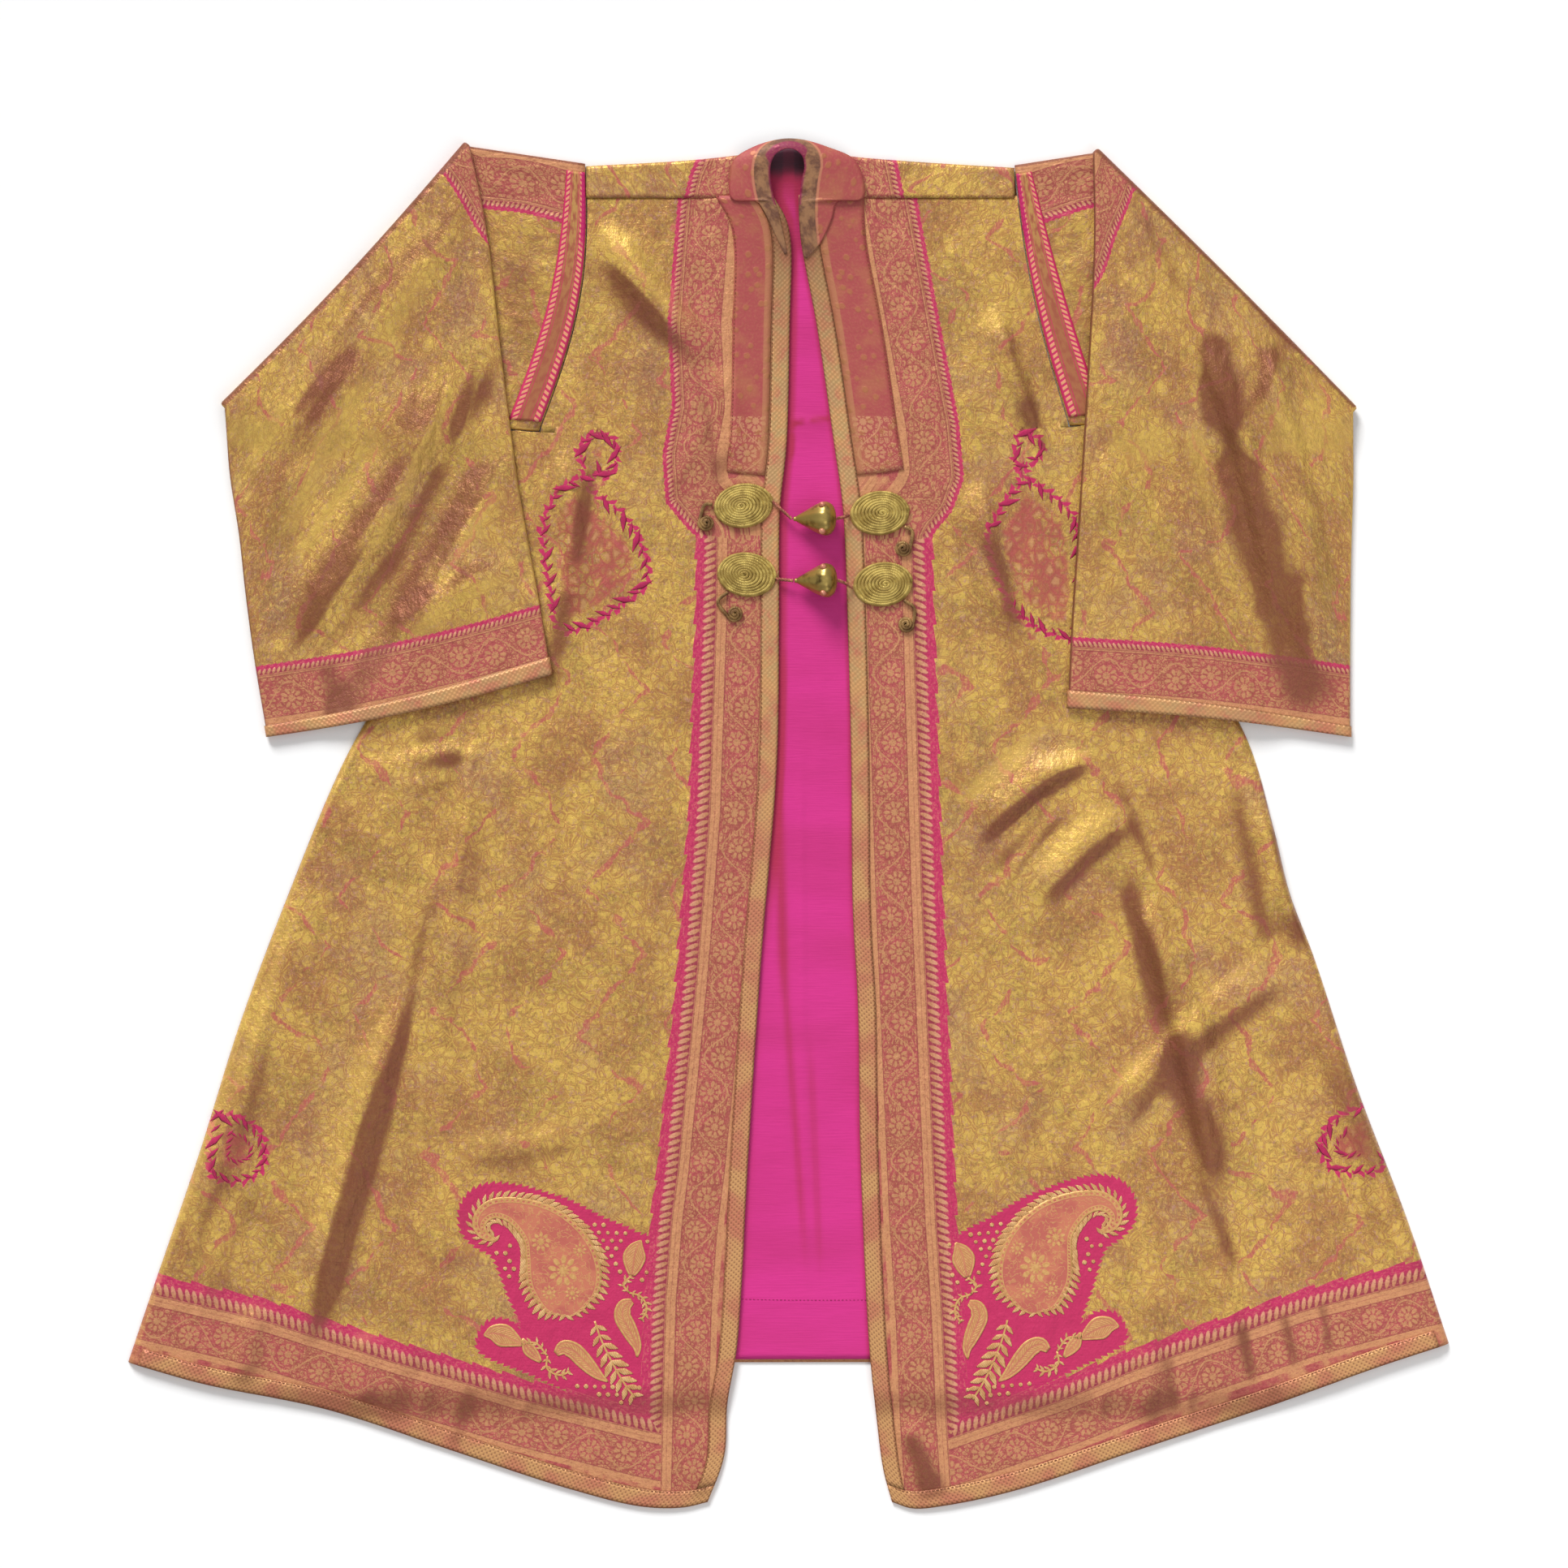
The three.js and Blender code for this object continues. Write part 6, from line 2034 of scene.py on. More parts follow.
@dataclass
class Needlework:
    """The pointed strokes round a front's outlined motifs, and the stitches that hold its strips."""

    front: Front
    drape: Drape
    lift: float = 0.3
    flame_pitch: float = 12
    flame_length: float = 22
    flame_width: float = 5.8
    flame_scales: tuple = (1.0, 0.6, 0.86, 0.48, 0.94, 0.7)
    hidden_from: float = 0.8
    slant: float = 0.78
    inner_ring: float = 0.46
    inner_scale: float = 0.55
    stitch_pitch: float = 3.6
    seam_inset: float = 1.4
    neck_gap: float = 14

    def flames(self) -> tuple[np.ndarray, np.ndarray, np.ndarray]:
        """Give the strokes' places, headings and scales, leaning in from the outlines."""
        places, headings, scales = [], [], []
        side = np.array(self.front.half.side_motif)
        inner = side.mean(axis=0) + (side - side.mean(axis=0)) * self.inner_ring
        for rows, scale in ((self.front.half.armpit_motif, 1.0), (side, 1.0), (inner, self.inner_scale)):
            ring = closed_outline(rows)[:, :2]
            turn = np.sign((ring[:-1, 0] * ring[1:, 1] - ring[1:, 0] * ring[:-1, 1]).sum())
            spots, along = along_line([*rows, rows[0]], self.flame_pitch * scale)
            heading = along + turn * self.slant
            inward = vec(np.cos(heading), np.sin(heading), 0.0)
            # Strokes are left out where the painted shade is deep, as they would stand bright on it.
            seen = fold_height(self.front.half.front_shades, spots[:, 0], spots[:, 1]) < self.hidden_from
            places.append((spots + inward * self.flame_length * scale * 0.3)[seen])
            headings.append(heading[seen])
            scales.append((np.resize(self.flame_scales, len(heading)) * scale)[seen])
        return np.concatenate(places), np.concatenate(headings), np.concatenate(scales)

    def shoulder(self) -> Table:
        """Give the line along which the back's turned edge is sewn down on the front."""
        start = NECK_LEFT if self.front.half.out < 0 else NECK_RIGHT
        y = SHOULDER_SEAM_Y - Back.lap + self.seam_inset
        out = self.front.half.out
        return [(start + out * self.neck_gap, y), (self.front.top.points[-1, 0] - out * 2, y)]

    def lay(
        self, grain: Grain, name: str, places: np.ndarray, headings: np.ndarray, scales: np.ndarray,
        **sizes: float,
    ) -> bpy.types.Object:
        """Lay small shapes wherever there is cloth below them."""
        found, _ = self.drape(places)
        there = found[:, 2] > 0.1
        spots = self.drape.spots(places[there], headings[there], scales[there], self.lift)
        return grain.lay(name, spots, self.front.half.seed, **sizes)

    def build(self, wardrobe: Wardrobe) -> None:
        """Make the strokes and the stitches."""
        name = f"front_{self.front.half.name}"
        places, headings, scales = self.flames()
        flames = self.lay(
            wardrobe.flame, f"{name}_strokes", places * [1, 1, 0], headings, scales,
            Length=self.flame_length, Width=self.flame_width, Height=0.6, Point=0.8, Jitter=0.3,
        )
        wardrobe.finish(flames, wardrobe.line, "gold_brocade")
        marks = [along_line(line[::3], self.stitch_pitch) for line in self.front.seams()]
        marks.append(along_line(self.shoulder(), self.stitch_pitch))
        places, headings = (np.concatenate(parts) for parts in zip(*marks))
        stitches = self.lay(
            wardrobe.seam, f"{name}_stitches", places * [1, 1, 0], headings, np.ones(len(headings)),
            Length=2.5, Width=0.7, Height=0.7, Jitter=0.15,
        )
        wardrobe.finish(stitches, wardrobe.stitch, "woven_border")


@dataclass
class PaisleyCorner:
    """The paisley of one front's lower corner, with its leaves, sprigs and dots on the pink ground."""

    half: Half
    drape: Drape
    wall: float = 0.3
    lift: float = 0.32
    rim_pitch: float = 6.6
    rim_gap: float = 2.4
    rim_slant: float = 0.7
    dot_pitch: float = 8.4
    leaflet_pitch: float = 7.4
    leaflet_turn: float = 0.85
    leaflet_reach: float = 6.4
    leaflet_sizes: tuple = (14.0, 5.6, 0.7, 0.6, 0.12)
    dot_sizes: tuple = (4.2, 4.2, 0.7, 0.0, 0.15)

    def blades(self, tables: Sequence[Table]) -> tuple[Shell, np.ndarray, np.ndarray]:
        """Lay blades on the cloth.

        Args:
            tables: The blades' rows.

        Returns:
            Their shell, and for each grid place the finish's three numbers and the way to the heart.
        """
        shells, traits, hearts, count = [], [], [], 0
        for rows in tables:
            plan, marks = blade_grid(rows)
            grid, _ = self.drape(corner_places(self.half, plan))
            shell = cloth_wall(grid, self.wall, self.lift)
            shell.places = shell.places + count
            count += plan.shape[0] * plan.shape[1]
            shells.append(shell)
            traits.append(marks.reshape(-1, 3))
            offset = plan - np.array(PAISLEY_HEART)
            hearts.append(vec(offset[..., 0], offset[..., 1], 0.0).reshape(-1, 3))
        return joined(shells), np.concatenate(traits), np.concatenate(hearts)

    def rim(self) -> tuple[np.ndarray, np.ndarray, np.ndarray]:
        """Give the small leaves round the paisley: their places, headings and scales."""
        plan, _ = blade_grid(PAISLEY)
        middle = plan.mean(axis=1)
        loop = np.concatenate([plan[:, 0], plan[::-1, -1], plan[:1, 0]])
        centre = np.concatenate([middle, middle[::-1], middle[:1]])
        away, runs = unit(loop - centre), runs_of(loop)
        marks = np.arange(self.rim_pitch / 2, runs[-1], self.rim_pitch)
        place = vec(*(np.interp(marks, runs, part) for part in (loop + away * self.rim_gap).T))
        out = vec(*(np.interp(marks, runs, part) for part in away.T))
        side = np.where(marks < runs[len(plan) - 1], 1, -1)
        half = np.linalg.norm(plan[:, -1] - plan[:, 0], axis=1) / 2
        size = np.interp(marks, runs, np.concatenate([half, half[::-1], half[:1]]))
        heading = np.arctan2(out[:, 1], out[:, 0]) - side * self.rim_slant
        return place, heading, 0.72 + 0.28 * smooth(size, 6, 26)

    def leaflets(self) -> tuple[np.ndarray, np.ndarray, np.ndarray]:
        """Give the leaflets on both sides of the stems: their places, headings and scales."""
        places, headings, sizes = [], [], []
        for rows, scale in zip(STEMS, LEAFLET_SCALES):
            spots, along = along_line([(x, y) for x, y, _ in rows], self.leaflet_pitch * (0.4 + 0.6 * scale))
            share = (np.arange(len(spots)) + 0.5) / len(spots)
            size = scale * (0.6 + 0.4 * np.sin(np.pi * share))
            for hand in (-1, 1):
                heading = along + hand * self.leaflet_turn
                reach = self.leaflet_reach * size[:, None]
                places.append(spots[:, :2] + reach * vec(np.cos(heading), np.sin(heading)))
                headings.append(heading)
                sizes.append(size)
        return np.concatenate(places), np.concatenate(headings), np.concatenate(sizes)

    def dots(self) -> np.ndarray:
        """Give the dots of the open pink ground, on a triangular grid."""
        rows = int(200 / (self.dot_pitch * 0.87))
        lattice = np.array([
            (self.dot_pitch * (j + 0.5 * (i % 2)), self.dot_pitch * 0.87 * i)
            for i in range(rows) for j in range(26)
        ])
        depth, _ = within(lattice, closed_outline(WEDGE))
        free = (depth > 4.5) & ((lattice[:, 1] > 120) | (lattice[:, 1] < 24))
        for rows, gap in [(PAISLEY, 9), *((leaf, 3.5) for leaf in LEAVES), *((stem, 8) for stem in STEMS)]:
            plan, _ = blade_grid(rows)
            spine = plan.mean(axis=1)
            half = np.linalg.norm(plan[:, -1] - plan[:, 0], axis=1) / 2
            away = np.linalg.norm(lattice[:, None] - spine[None], axis=-1) - half[None]
            free &= away.min(axis=1) > gap
        return lattice[free]

    def headed(self, headings: np.ndarray) -> np.ndarray:
        """Turn headings in the corner's own frame into headings seen from above."""
        turned = headings + math.radians(self.half.corner[2])
        return turned if self.half.out > 0 else math.pi - turned

    def build(self, wardrobe: Wardrobe) -> None:
        """Make the figures of the corner."""
        name = f"front_{self.half.name}"
        for title, tables, material in (
            ("paisley", [PAISLEY], wardrobe.paisley), ("leaves", [*LEAVES, *STEMS], wardrobe.leaf),
        ):
            shell, marks, hearts = self.blades(tables)
            piece = new_piece(f"{name}_{title}", shell, {"cloth": marks, "heart": hearts})
            wardrobe.finish(piece, material, "gold_brocade")

        leaflets = [np.concatenate(parts) for parts in zip(self.rim(), self.leaflets())]
        dots = self.dots()
        for title, (places, headings, scales), sizes in (
            ("leaflets", leaflets, self.leaflet_sizes),
            ("dots", (dots, np.zeros(len(dots)), np.ones(len(dots))), self.dot_sizes),
        ):
            headings = self.headed(headings) if title == "leaflets" else headings
            spots = self.drape.spots(corner_places(self.half, places), headings, scales, self.lift)
            sizes = dict(zip(Grain.SIZES, sizes))
            laid = wardrobe.leaflet.lay(f"{name}_{title}", spots, self.half.seed, **sizes)
            wardrobe.finish(laid, wardrobe.pale, "gold_brocade")


@dataclass
class Sleeve:
    """One sleeve: a flattened tube, folded over once and laid down over the front."""

    half: Half
    start_steps: int = 14
    bend_steps: int = 10
    folded_steps: int = 84
    cuff_steps: int = 4
    turn_steps: int = 4
    middle_steps: int = 66
    crease_count: int = 34
    crease_lean: float = 24
    crease_span: tuple = (110, 560)
    edge_fade: float = 0.1
    bend_fade: float = 0.12
    least_crease: float = -0.2
    fall_from: float = 5
    band_rows: int = 84
    band_columns: int = 10
    band_end: float = 0.035
    band_toward: float = 0.75
    band_gap: float = 0.9
    band_spread: tuple = (1.15, 0.8)

    def __post_init__(self) -> None:
        """Lay out the fold and the edges."""
        half = self.half
        top, under = np.array([*half.fold_top, 0.0]), np.array([*half.fold_under, 0.0])
        line = unit(under - top)
        self.outward = np.array([line[1], -line[0], 0]) * (1 if half.out < 0 else -1)
        self.axis_top, self.axis_under = top - self.outward * FOLD_REACH, under - self.outward * FOLD_REACH
        self.inner = Curve([self.axis_top[:2], *half.inner])
        self.outer = Curve([self.axis_under[:2], *half.outer])
        end = np.array([*half.inner[-1], 0.0])
        self.bound = 1 - BINDING_WIDTH / np.linalg.norm(end - self.axis_top)
        low, high = sorted((half.inner[0][0], half.outer[0][0]))
        bottom, top = self.crease_span
        self.small = small_creases(
            half.seed + 5, self.crease_count, (low, bottom, high, top), 90 - half.out * self.crease_lean,
        )

    def axis(self, s: np.ndarray) -> np.ndarray:
        """Give the line that the sleeve folds about."""
        bow = self.half.fold_bow * np.sin(np.pi * np.clip(s, 0, 1))
        return lerp(self.axis_top, self.axis_under, s[:, None]) + self.outward * bow[:, None]

    def stations(self) -> list[tuple[str, float]]:
        """List the sections from the armhole to the cuff: which stretch, and how far along it."""
        start = [("start", k / self.start_steps) for k in range(self.start_steps)]
        bend = [("bend", k / self.bend_steps) for k in range(self.bend_steps)]
        folded = [("folded", v) for v in np.linspace(0, self.bound, self.folded_steps + 1)]
        cuff = [("folded", v) for v in np.linspace(self.bound, 1, self.cuff_steps + 1)[1:]]
        return [*start, *bend, *folded, *cuff]

    def section(self, stretch: str, v: float, s: np.ndarray) -> tuple[np.ndarray, np.ndarray]:
        """Give the middle of the flattened tube and the way to its first layer, at shares across."""
        half = self.half
        up = np.broadcast_to([0, 0, 1.0], (len(s), 3))
        if stretch == "start":
            mid = lerp(armhole_point(half, s), self.axis(s), v)
            mid[:, 2] = SLEEVE_MID
            return mid, up
        if stretch == "bend":
            angle = math.pi * v
            mid = self.axis(s) + self.outward * FOLD_RADIUS * math.sin(angle)
            mid[:, 2] = SLEEVE_MID + FOLD_RADIUS * (1 - math.cos(angle))
            return mid, up * math.cos(angle) - self.outward * math.sin(angle)
        mid = lerp(self.inner.at(v), self.outer.at(v), s[:, None])
        sway = np.sin(np.pi * np.clip(s, 0, 1))
        mid = mid + self.outward * (half.fold_bow * sway * (1 - v))[:, None]
        mid[:, 1] += half.cuff_bow * np.sin(np.pi * s) * v
        x, y = mid[:, 0], mid[:, 1]
        under = half.armhole_under
        below = half.out * past_line(x, y, under, half.fold_under)
        beside_body = -half.out * past_line(x, y, under, half.side[3])
        fall = smooth(np.minimum(below, beside_body), self.fall_from, CLOTH_FALL)
        edge = smooth(np.minimum(s, 1 - s), 0.0, self.edge_fade) * float(smooth(v, 0, self.bend_fade))
        creases = fold_height(half.sleeve_creases, x, y) + fold_height(self.small, x, y)
        stand = (fold_height(half.sleeve_folds, x, y) + np.maximum(creases, self.least_crease)) * edge
        mid[:, 2] = lerp(FOLDED_MID, SLEEVE_REACH + SEAM_GAP + STRIP_WALL, fall) + stand
        return mid, -up

    def ring(self, station: tuple[str, float], reach: float) -> np.ndarray:
        """Give one ring of points round the flattened sleeve.

        Args:
            station: Which stretch the section is in, and how far along it.
            reach: How far the layers stand from the section's middle.

        Returns:
            The points.
        """
        ends = self.section(*station, np.array([0.0, 1.0]))[0]
        width = np.linalg.norm(ends[1] - ends[0])
        angle = np.linspace(0, np.pi / 2, self.turn_steps + 1)
        nose = (reach * (1 - np.cos(angle)) - (reach - SLEEVE_REACH)) / width
        middle = np.linspace(nose[-1], 1 - nose[-1], self.middle_steps + 1)[1:-1]
        shares = np.concatenate([nose, middle, 1 - nose[::-1]])
        rise = reach * np.sin(angle)
        offsets = np.concatenate([rise, np.full(len(middle), reach), rise[::-1]])
        mid, normal = self.section(*station, shares)
        over = mid + normal * offsets[:, None]
        below = (mid - normal * offsets[:, None])[1:-1][::-1]
        return np.concatenate([over, below])

    def rings(self, stations: Sequence[tuple[str, float]], reach: float) -> np.ndarray:
        """Give a stack of rings."""
        return np.stack([self.ring(station, reach) for station in stations])

    def traits(self, rings: np.ndarray) -> dict[str, np.ndarray]:
        """Measure the sleeve for its finish: the field, the cuff's border and the shoulder block."""
        runs, around = runs_of(rings), runs_of(rings, 1)
        count = rings.shape[1]
        width = around[:, count // 2][:, None]
        back = np.arange(count) > count // 2
        across = np.where(back[None], 2 * width - around, around)
        cuff = BORDER_ON_CUFF - (runs[-1][None] - runs)
        # Painted shade and highlight for the finish, from slopes turned from the light and the sleeve's shade
        # rows; the lower layer of the tube gets none.
        shade = slope_shade(rings) + fold_height(self.half.sleeve_shades, rings[..., 0], rings[..., 1])
        other_side = np.roll(rings[:, ::-1, 2], 1, axis=1)
        shade = np.where(rings[:, :, 2] >= other_side, shade, 0.0)
        field = runs + np.where(back, FAR_SIDE, 0.0)[None]
        shoulder, along = within(vec(across, runs), closed_outline(SHOULDER_BLOCK))
        return {
            "cloth": vec(across, field, shade),
            "border": vec(cuff, around, 1.0),
            "second_border": vec(shoulder, along, 1.0),
            "motif": vec(np.full_like(runs, FAR_OFF), 0.0, 0.0),
        }

    def build(self, wardrobe: Wardrobe) -> bpy.types.Object:
        """Make the sleeve, its cuff binding and the band round its armhole.

        Args:
            wardrobe: The finishes.

        Returns:
            The sleeve's own cloth.
        """
        name = self.half.name
        stations = self.stations()
        outer = self.rings(stations, SLEEVE_REACH)
        inner = self.rings(stations, SLEEVE_REACH - SHELL)
        piece = new_piece(f"sleeve_{name}_cloth", tube_wall(outer, inner), self.traits(outer))
        wardrobe.finish(piece, wardrobe.gold, "gold_brocade", f"sleeve_{name}")

        stretch = stations[-1 - self.cuff_steps:]
        over = self.rings(stretch, SLEEVE_REACH + SEAM_GAP + STRIP_WALL)
        below = self.rings(stretch, SLEEVE_REACH + SEAM_GAP)
        cuff = new_piece(f"cuff_binding_{name}_cloth", tube_wall(over, below), {
            "cloth": vec(runs_of(over), runs_of(over, 1), 0.0),
        })
        wardrobe.finish(cuff, wardrobe.tape, "woven_border", f"cuff_binding_{name}")
        self.armhole_band(wardrobe)
        return piece

    def armhole_band(self, wardrobe: Wardrobe) -> None:
        """Make the band that covers the armhole seam."""
        name = self.half.name
        s = np.linspace(self.band_end, 1 - self.band_end, self.band_rows + 1)
        spread = np.linspace(0, 1, self.band_columns + 1)
        a, b = (self.section("start", v, s)[0] for v in (0.0, self.band_toward))
        one, two = (self.section("start", v, np.array([0.5]))[0] for v in (0.0, self.band_toward))
        stretch = np.linalg.norm(two - one)
        share = ARMHOLE_BAND_WIDTH / stretch * lerp(*self.band_spread, s)
        reach = lerp(self.band_gap / stretch, share[:, None], spread[None])
        grid = lerp(a[:, None], b[:, None], reach[..., None])
        grid[..., 2] = SEAM_MID + SHELL / 2 + SEAM_GAP + STRIP_WALL / 2
        down = (s * np.linalg.norm(a[-1] - a[0]))[:, None]
        band = new_piece(f"armhole_band_{name}_cloth", cloth_wall(grid, STRIP_WALL), {
            "cloth": vec(spread * ARMHOLE_BAND_WIDTH, down, 0.0),
        })
        wardrobe.finish(band, wardrobe.armhole, "woven_border", f"armhole_band_{name}")


BORDER_ON_CUFF = 67.0
FAR_SIDE = 700.0
SHOULDER_BLOCK = [(-100, -60), (55, -60), (57, 60), (60, 115), (30, 170), (0, 228), (-100, 260)]


@dataclass
class Back:
    """The back, which turns over at the shoulders and comes forward to the fronts' seams."""

    coarse_columns: int = 16
    fine: int = 6
    sheet_rows: int = 96
    bend_steps: int = 10
    flap_rows: int = 8
    underarm: float = 0.79
    lap: float = 2
    border_reach: float = 60
    middle: float = 5
    weave_shift: float = 12

    def edge(self, half: Half, corner: Sequence[float]) -> Callable[[np.ndarray], np.ndarray]:
        """Give one side edge, from the hem up the side seam and the armhole."""
        under = half.armhole_under
        inset = half.out * SIDE_INSET
        side = Curve([
            corner,
            *((x - inset, y) for x, y in half.side[-2::-1]),
            (under[0] - half.out * UNDERARM_EASE, under[1] - UNDERARM_EASE),
        ])
        top_share = SIDE_ROLL / (half.armhole_top[1] - under[1])

        def at(t: np.ndarray) -> np.ndarray:
            """Read the edge at shares of the back's length."""
            t = np.asarray(t, float)
            above = np.clip((t - self.underarm) / (1 - self.underarm), 0, 1)
            seam = armhole_point(half, lerp(1, top_share, above), ARMHOLE_GAP)
            return np.where((t <= self.underarm)[..., None], side.at(t / self.underarm), seam)

        return at

    def grid(self) -> tuple[np.ndarray, np.ndarray]:
        """Lay out the back's grid and the cells that the neck leaves out."""
        columns = self.coarse_columns * self.fine
        reach = (SEAM_MID + SHOULDER_SEAM_LIFT - BACK_MID) / 2
        left, right = self.edge(LEFT, BACK_HEM[0]), self.edge(RIGHT, BACK_HEM[-1])
        one = np.array([1.0])
        rows = [(x, y - reach - SHELL / 2) for x, y in SHOULDER_LINE]
        rows[0], rows[-1] = tuple(left(one)[0, :2]), tuple(right(one)[0, :2])
        plan = Spread(left, right, Curve(BACK_HEM), Curve(rows))
        t = np.concatenate([
            np.linspace(0, self.underarm, self.sheet_rows * 3 // 4 + 1),
            np.linspace(self.underarm, 1, self.sheet_rows // 4 + 1)[1:],
        ])
        s = np.broadcast_to(np.linspace(0, 1, columns + 1), (len(t), columns + 1))
        sheet = plan(s, t)
        sheet[..., 2] = BACK_MID
        last = sheet[-1]
        angle = (np.arange(1, self.bend_steps + 1) * math.pi / self.bend_steps)[:, None]
        bend = np.repeat(last[None], self.bend_steps, axis=0)
        bend[..., 1] += reach * np.sin(angle)
        bend[..., 2] = BACK_MID + reach * (1 - np.cos(angle))
        end = last.copy()
        end[:, 1] = SHOULDER_SEAM_Y - self.lap
        end[:, 2] = SEAM_MID + SHELL + SEAM_GAP / 2
        share = (np.arange(1, self.flap_rows + 1) / self.flap_rows)[:, None, None]
        grid = np.concatenate([sheet, bend, lerp(bend[-1][None], end[None], share)])
        over_neck = (last[:-1, 0] > NECK_LEFT) & (last[1:, 0] < NECK_RIGHT)
        mask = np.ones((len(grid) - 1, columns), bool)
        mask[len(sheet) - 1:] = ~over_neck[None]
        return grid, mask

    def build(self, wardrobe: Wardrobe) -> bpy.types.Object:
        """Make the back."""
        grid, mask = self.grid()
        runs, across = runs_of(grid), grid[..., 0]
        shoulder = vec(np.full_like(runs, FAR_OFF), 0.0, 1.0)
        for half in (LEFT, RIGHT):
            depth, run = beside(grid, np.array(half.shoulder_border, float))
            forward = (runs > runs[-1] - self.border_reach) & (np.abs(depth) < self.border_reach)
            forward &= half.out * (across - self.middle) > 0
            shoulder[forward] = vec(depth * -half.out, run, 1.0)[forward]
        piece = new_piece("back_cloth", cloth_wall(grid, SHELL, mask=mask), {
            "cloth": vec(across, runs + BACK_HEM[0][1] - self.weave_shift, 0.0),
            "border": vec(SKIRT_BORDER.line_end - runs, across, 0.0),
            "second_border": shoulder,
            "motif": vec(np.full_like(runs, FAR_OFF), 0.0, 0.0),
        })
        wardrobe.finish(piece, wardrobe.gold, "gold_brocade", "back")
        return piece


@dataclass
class Lining:
    """The pink silk inside the back, with its tuck, its long seam and its hem."""

    rows: int = 210
    columns: int = 120
    reach: float = 4
    hem_rise: float = 3
    # Painted shade on the lining: darker towards the neck, a painted shadow in the hollow under the collar,
    # and painted shadows of the fronts' edges beside the opening, weaker low on the left.
    dark_from: tuple = (560, 610)
    hollow_shadow_from: tuple = (606, 626)
    rim_left: tuple = (4, 11)
    rim_right: tuple = (1, 5)
    rim_fade: tuple = (-150, 0)
    hem_inset: float = 0.985
    hem_line: tuple = ((-60, -451), (0, -452), (86, -452))
    stitch_pitch: float = 3.6
    creases: tuple = (
        (0, 386, 46, 384, 3, 3.0, 0.9, 0),
        (12, 120, 18, -500, 0, 2.6, 0.8, 0.4),
        (-4, 300, -2, -430, 3, 3.4, 0.5, 0),
        (30, 240, 34, -100, 2, 5, 0.35, 0),
        (-48, -451, 74, -452, 0, 2.2, 0.6, 0),
        (10, 180, 60, 60, 4, 5, 0.35, 0),
        (-30, -200, 40, -330, 5, 6, 0.3, 0),
    )
    # Painted shade along the lining's creases.
    shades: tuple = (
        (-4, 378, 18, 383, 0, 3.2, 0.8, 0),
        (18, 383, 41, 385, 0, 3.2, 0.8, 0),
        (3, 372, 2, 345, 0, 4.0, 0.5, 0),
        (-4, 170, -9, 20, 0, 4.5, 0.45, 0),
        (-11, 60, -3.5, -178, 0, 6, 0.8, 0),
        (-6, -120, 18, -440, 0, 4.5, 0.6, 0),
        (20, -190, 31, -448, 0, 4.5, 0.5, 0),
    )

    def edge(self, half: Half) -> list[tuple[float, float]]:
        """Give one side edge, from the hem to the armhole."""
        inset = half.out * (FRONT_WALL + SEAM_GAP + 2 * self.reach)
        side = [(x - inset, y) for x, y in half.side[-2:0:-1]]
        return side + [tuple(armhole_point(half, share, self.reach)[:2]) for share in (1, 0.5, 0.12)]

    def build(self, wardrobe: Wardrobe) -> bpy.types.Object:
        """Make the lining."""
        left, right = self.edge(LEFT), self.edge(RIGHT)
        hem = [(x * self.hem_inset, y + self.hem_rise) for x, y in BACK_HEM]
        top = Curve([left[-1], (-60, 622), (-30, 636), (0, 643), (30, 637), (70, 622), right[-1]])
        plan = Spread(Curve([hem[0], *left]).at, Curve([hem[-1], *right]).at, Curve(hem), top)
        t = np.linspace(0, 1, self.rows + 1)
        spread = np.linspace(-1, 1, self.columns + 1)
        share = 0.5 + 0.5 * (0.35 * spread + 0.65 * spread**3)
        grid = plan(np.broadcast_to(share, (len(t), len(share))), t)
        x, y = grid[..., 0], grid[..., 1]
        inner = [np.array(half.opening)[::-1] for half in (LEFT, RIGHT)]
        open_left, open_right = (np.interp(y, edge[:, 1], edge[:, 0]) for edge in inner)
        gap = np.minimum(x - open_left, open_right - x)
        free = smooth(gap, -2, 10)
        grid[..., 2] = LINING_MID + fold_height(self.creases, x, y) * free
        # Painted shade: shadows of the fronts' edges, slopes turned from the light, the neck, the creases'
        # shades and the painted shadow of the hollow under the collar.
        rim = (1 - smooth(x - open_left, *self.rim_left)) * (0.2 + 0.55 * smooth(y, *self.rim_fade))
        crimson = rim + (1 - smooth(open_right - x, *self.rim_right)) * 0.5
        crimson = crimson + slope_shade(grid, full=0.5) * 0.5 + smooth(y, *self.dark_from) * 0.8
        dark = np.clip(crimson, 0, 1)
        dark = np.clip(dark + fold_height(self.shades, x, y), 0, 1) + smooth(y, *self.hollow_shadow_from)
        piece = new_piece("back_lining_cloth", cloth_wall(grid, LINING_WALL), {
            "cloth": vec(x, y, dark),
        })
        wardrobe.finish(piece, wardrobe.silk, "pink_silk", "back_lining")
        places, headings = along_line(self.hem_line, self.stitch_pitch)
        spots = Drape(piece).spots(places, headings, np.ones(len(places)), 0.2)
        stitches = wardrobe.hemming.lay(
            "lining_stitches", spots, Length=2.2, Width=0.7, Height=0.6, Jitter=0.15,
        )
        wardrobe.finish(stitches, wardrobe.crimson, "pink_silk")
        return piece


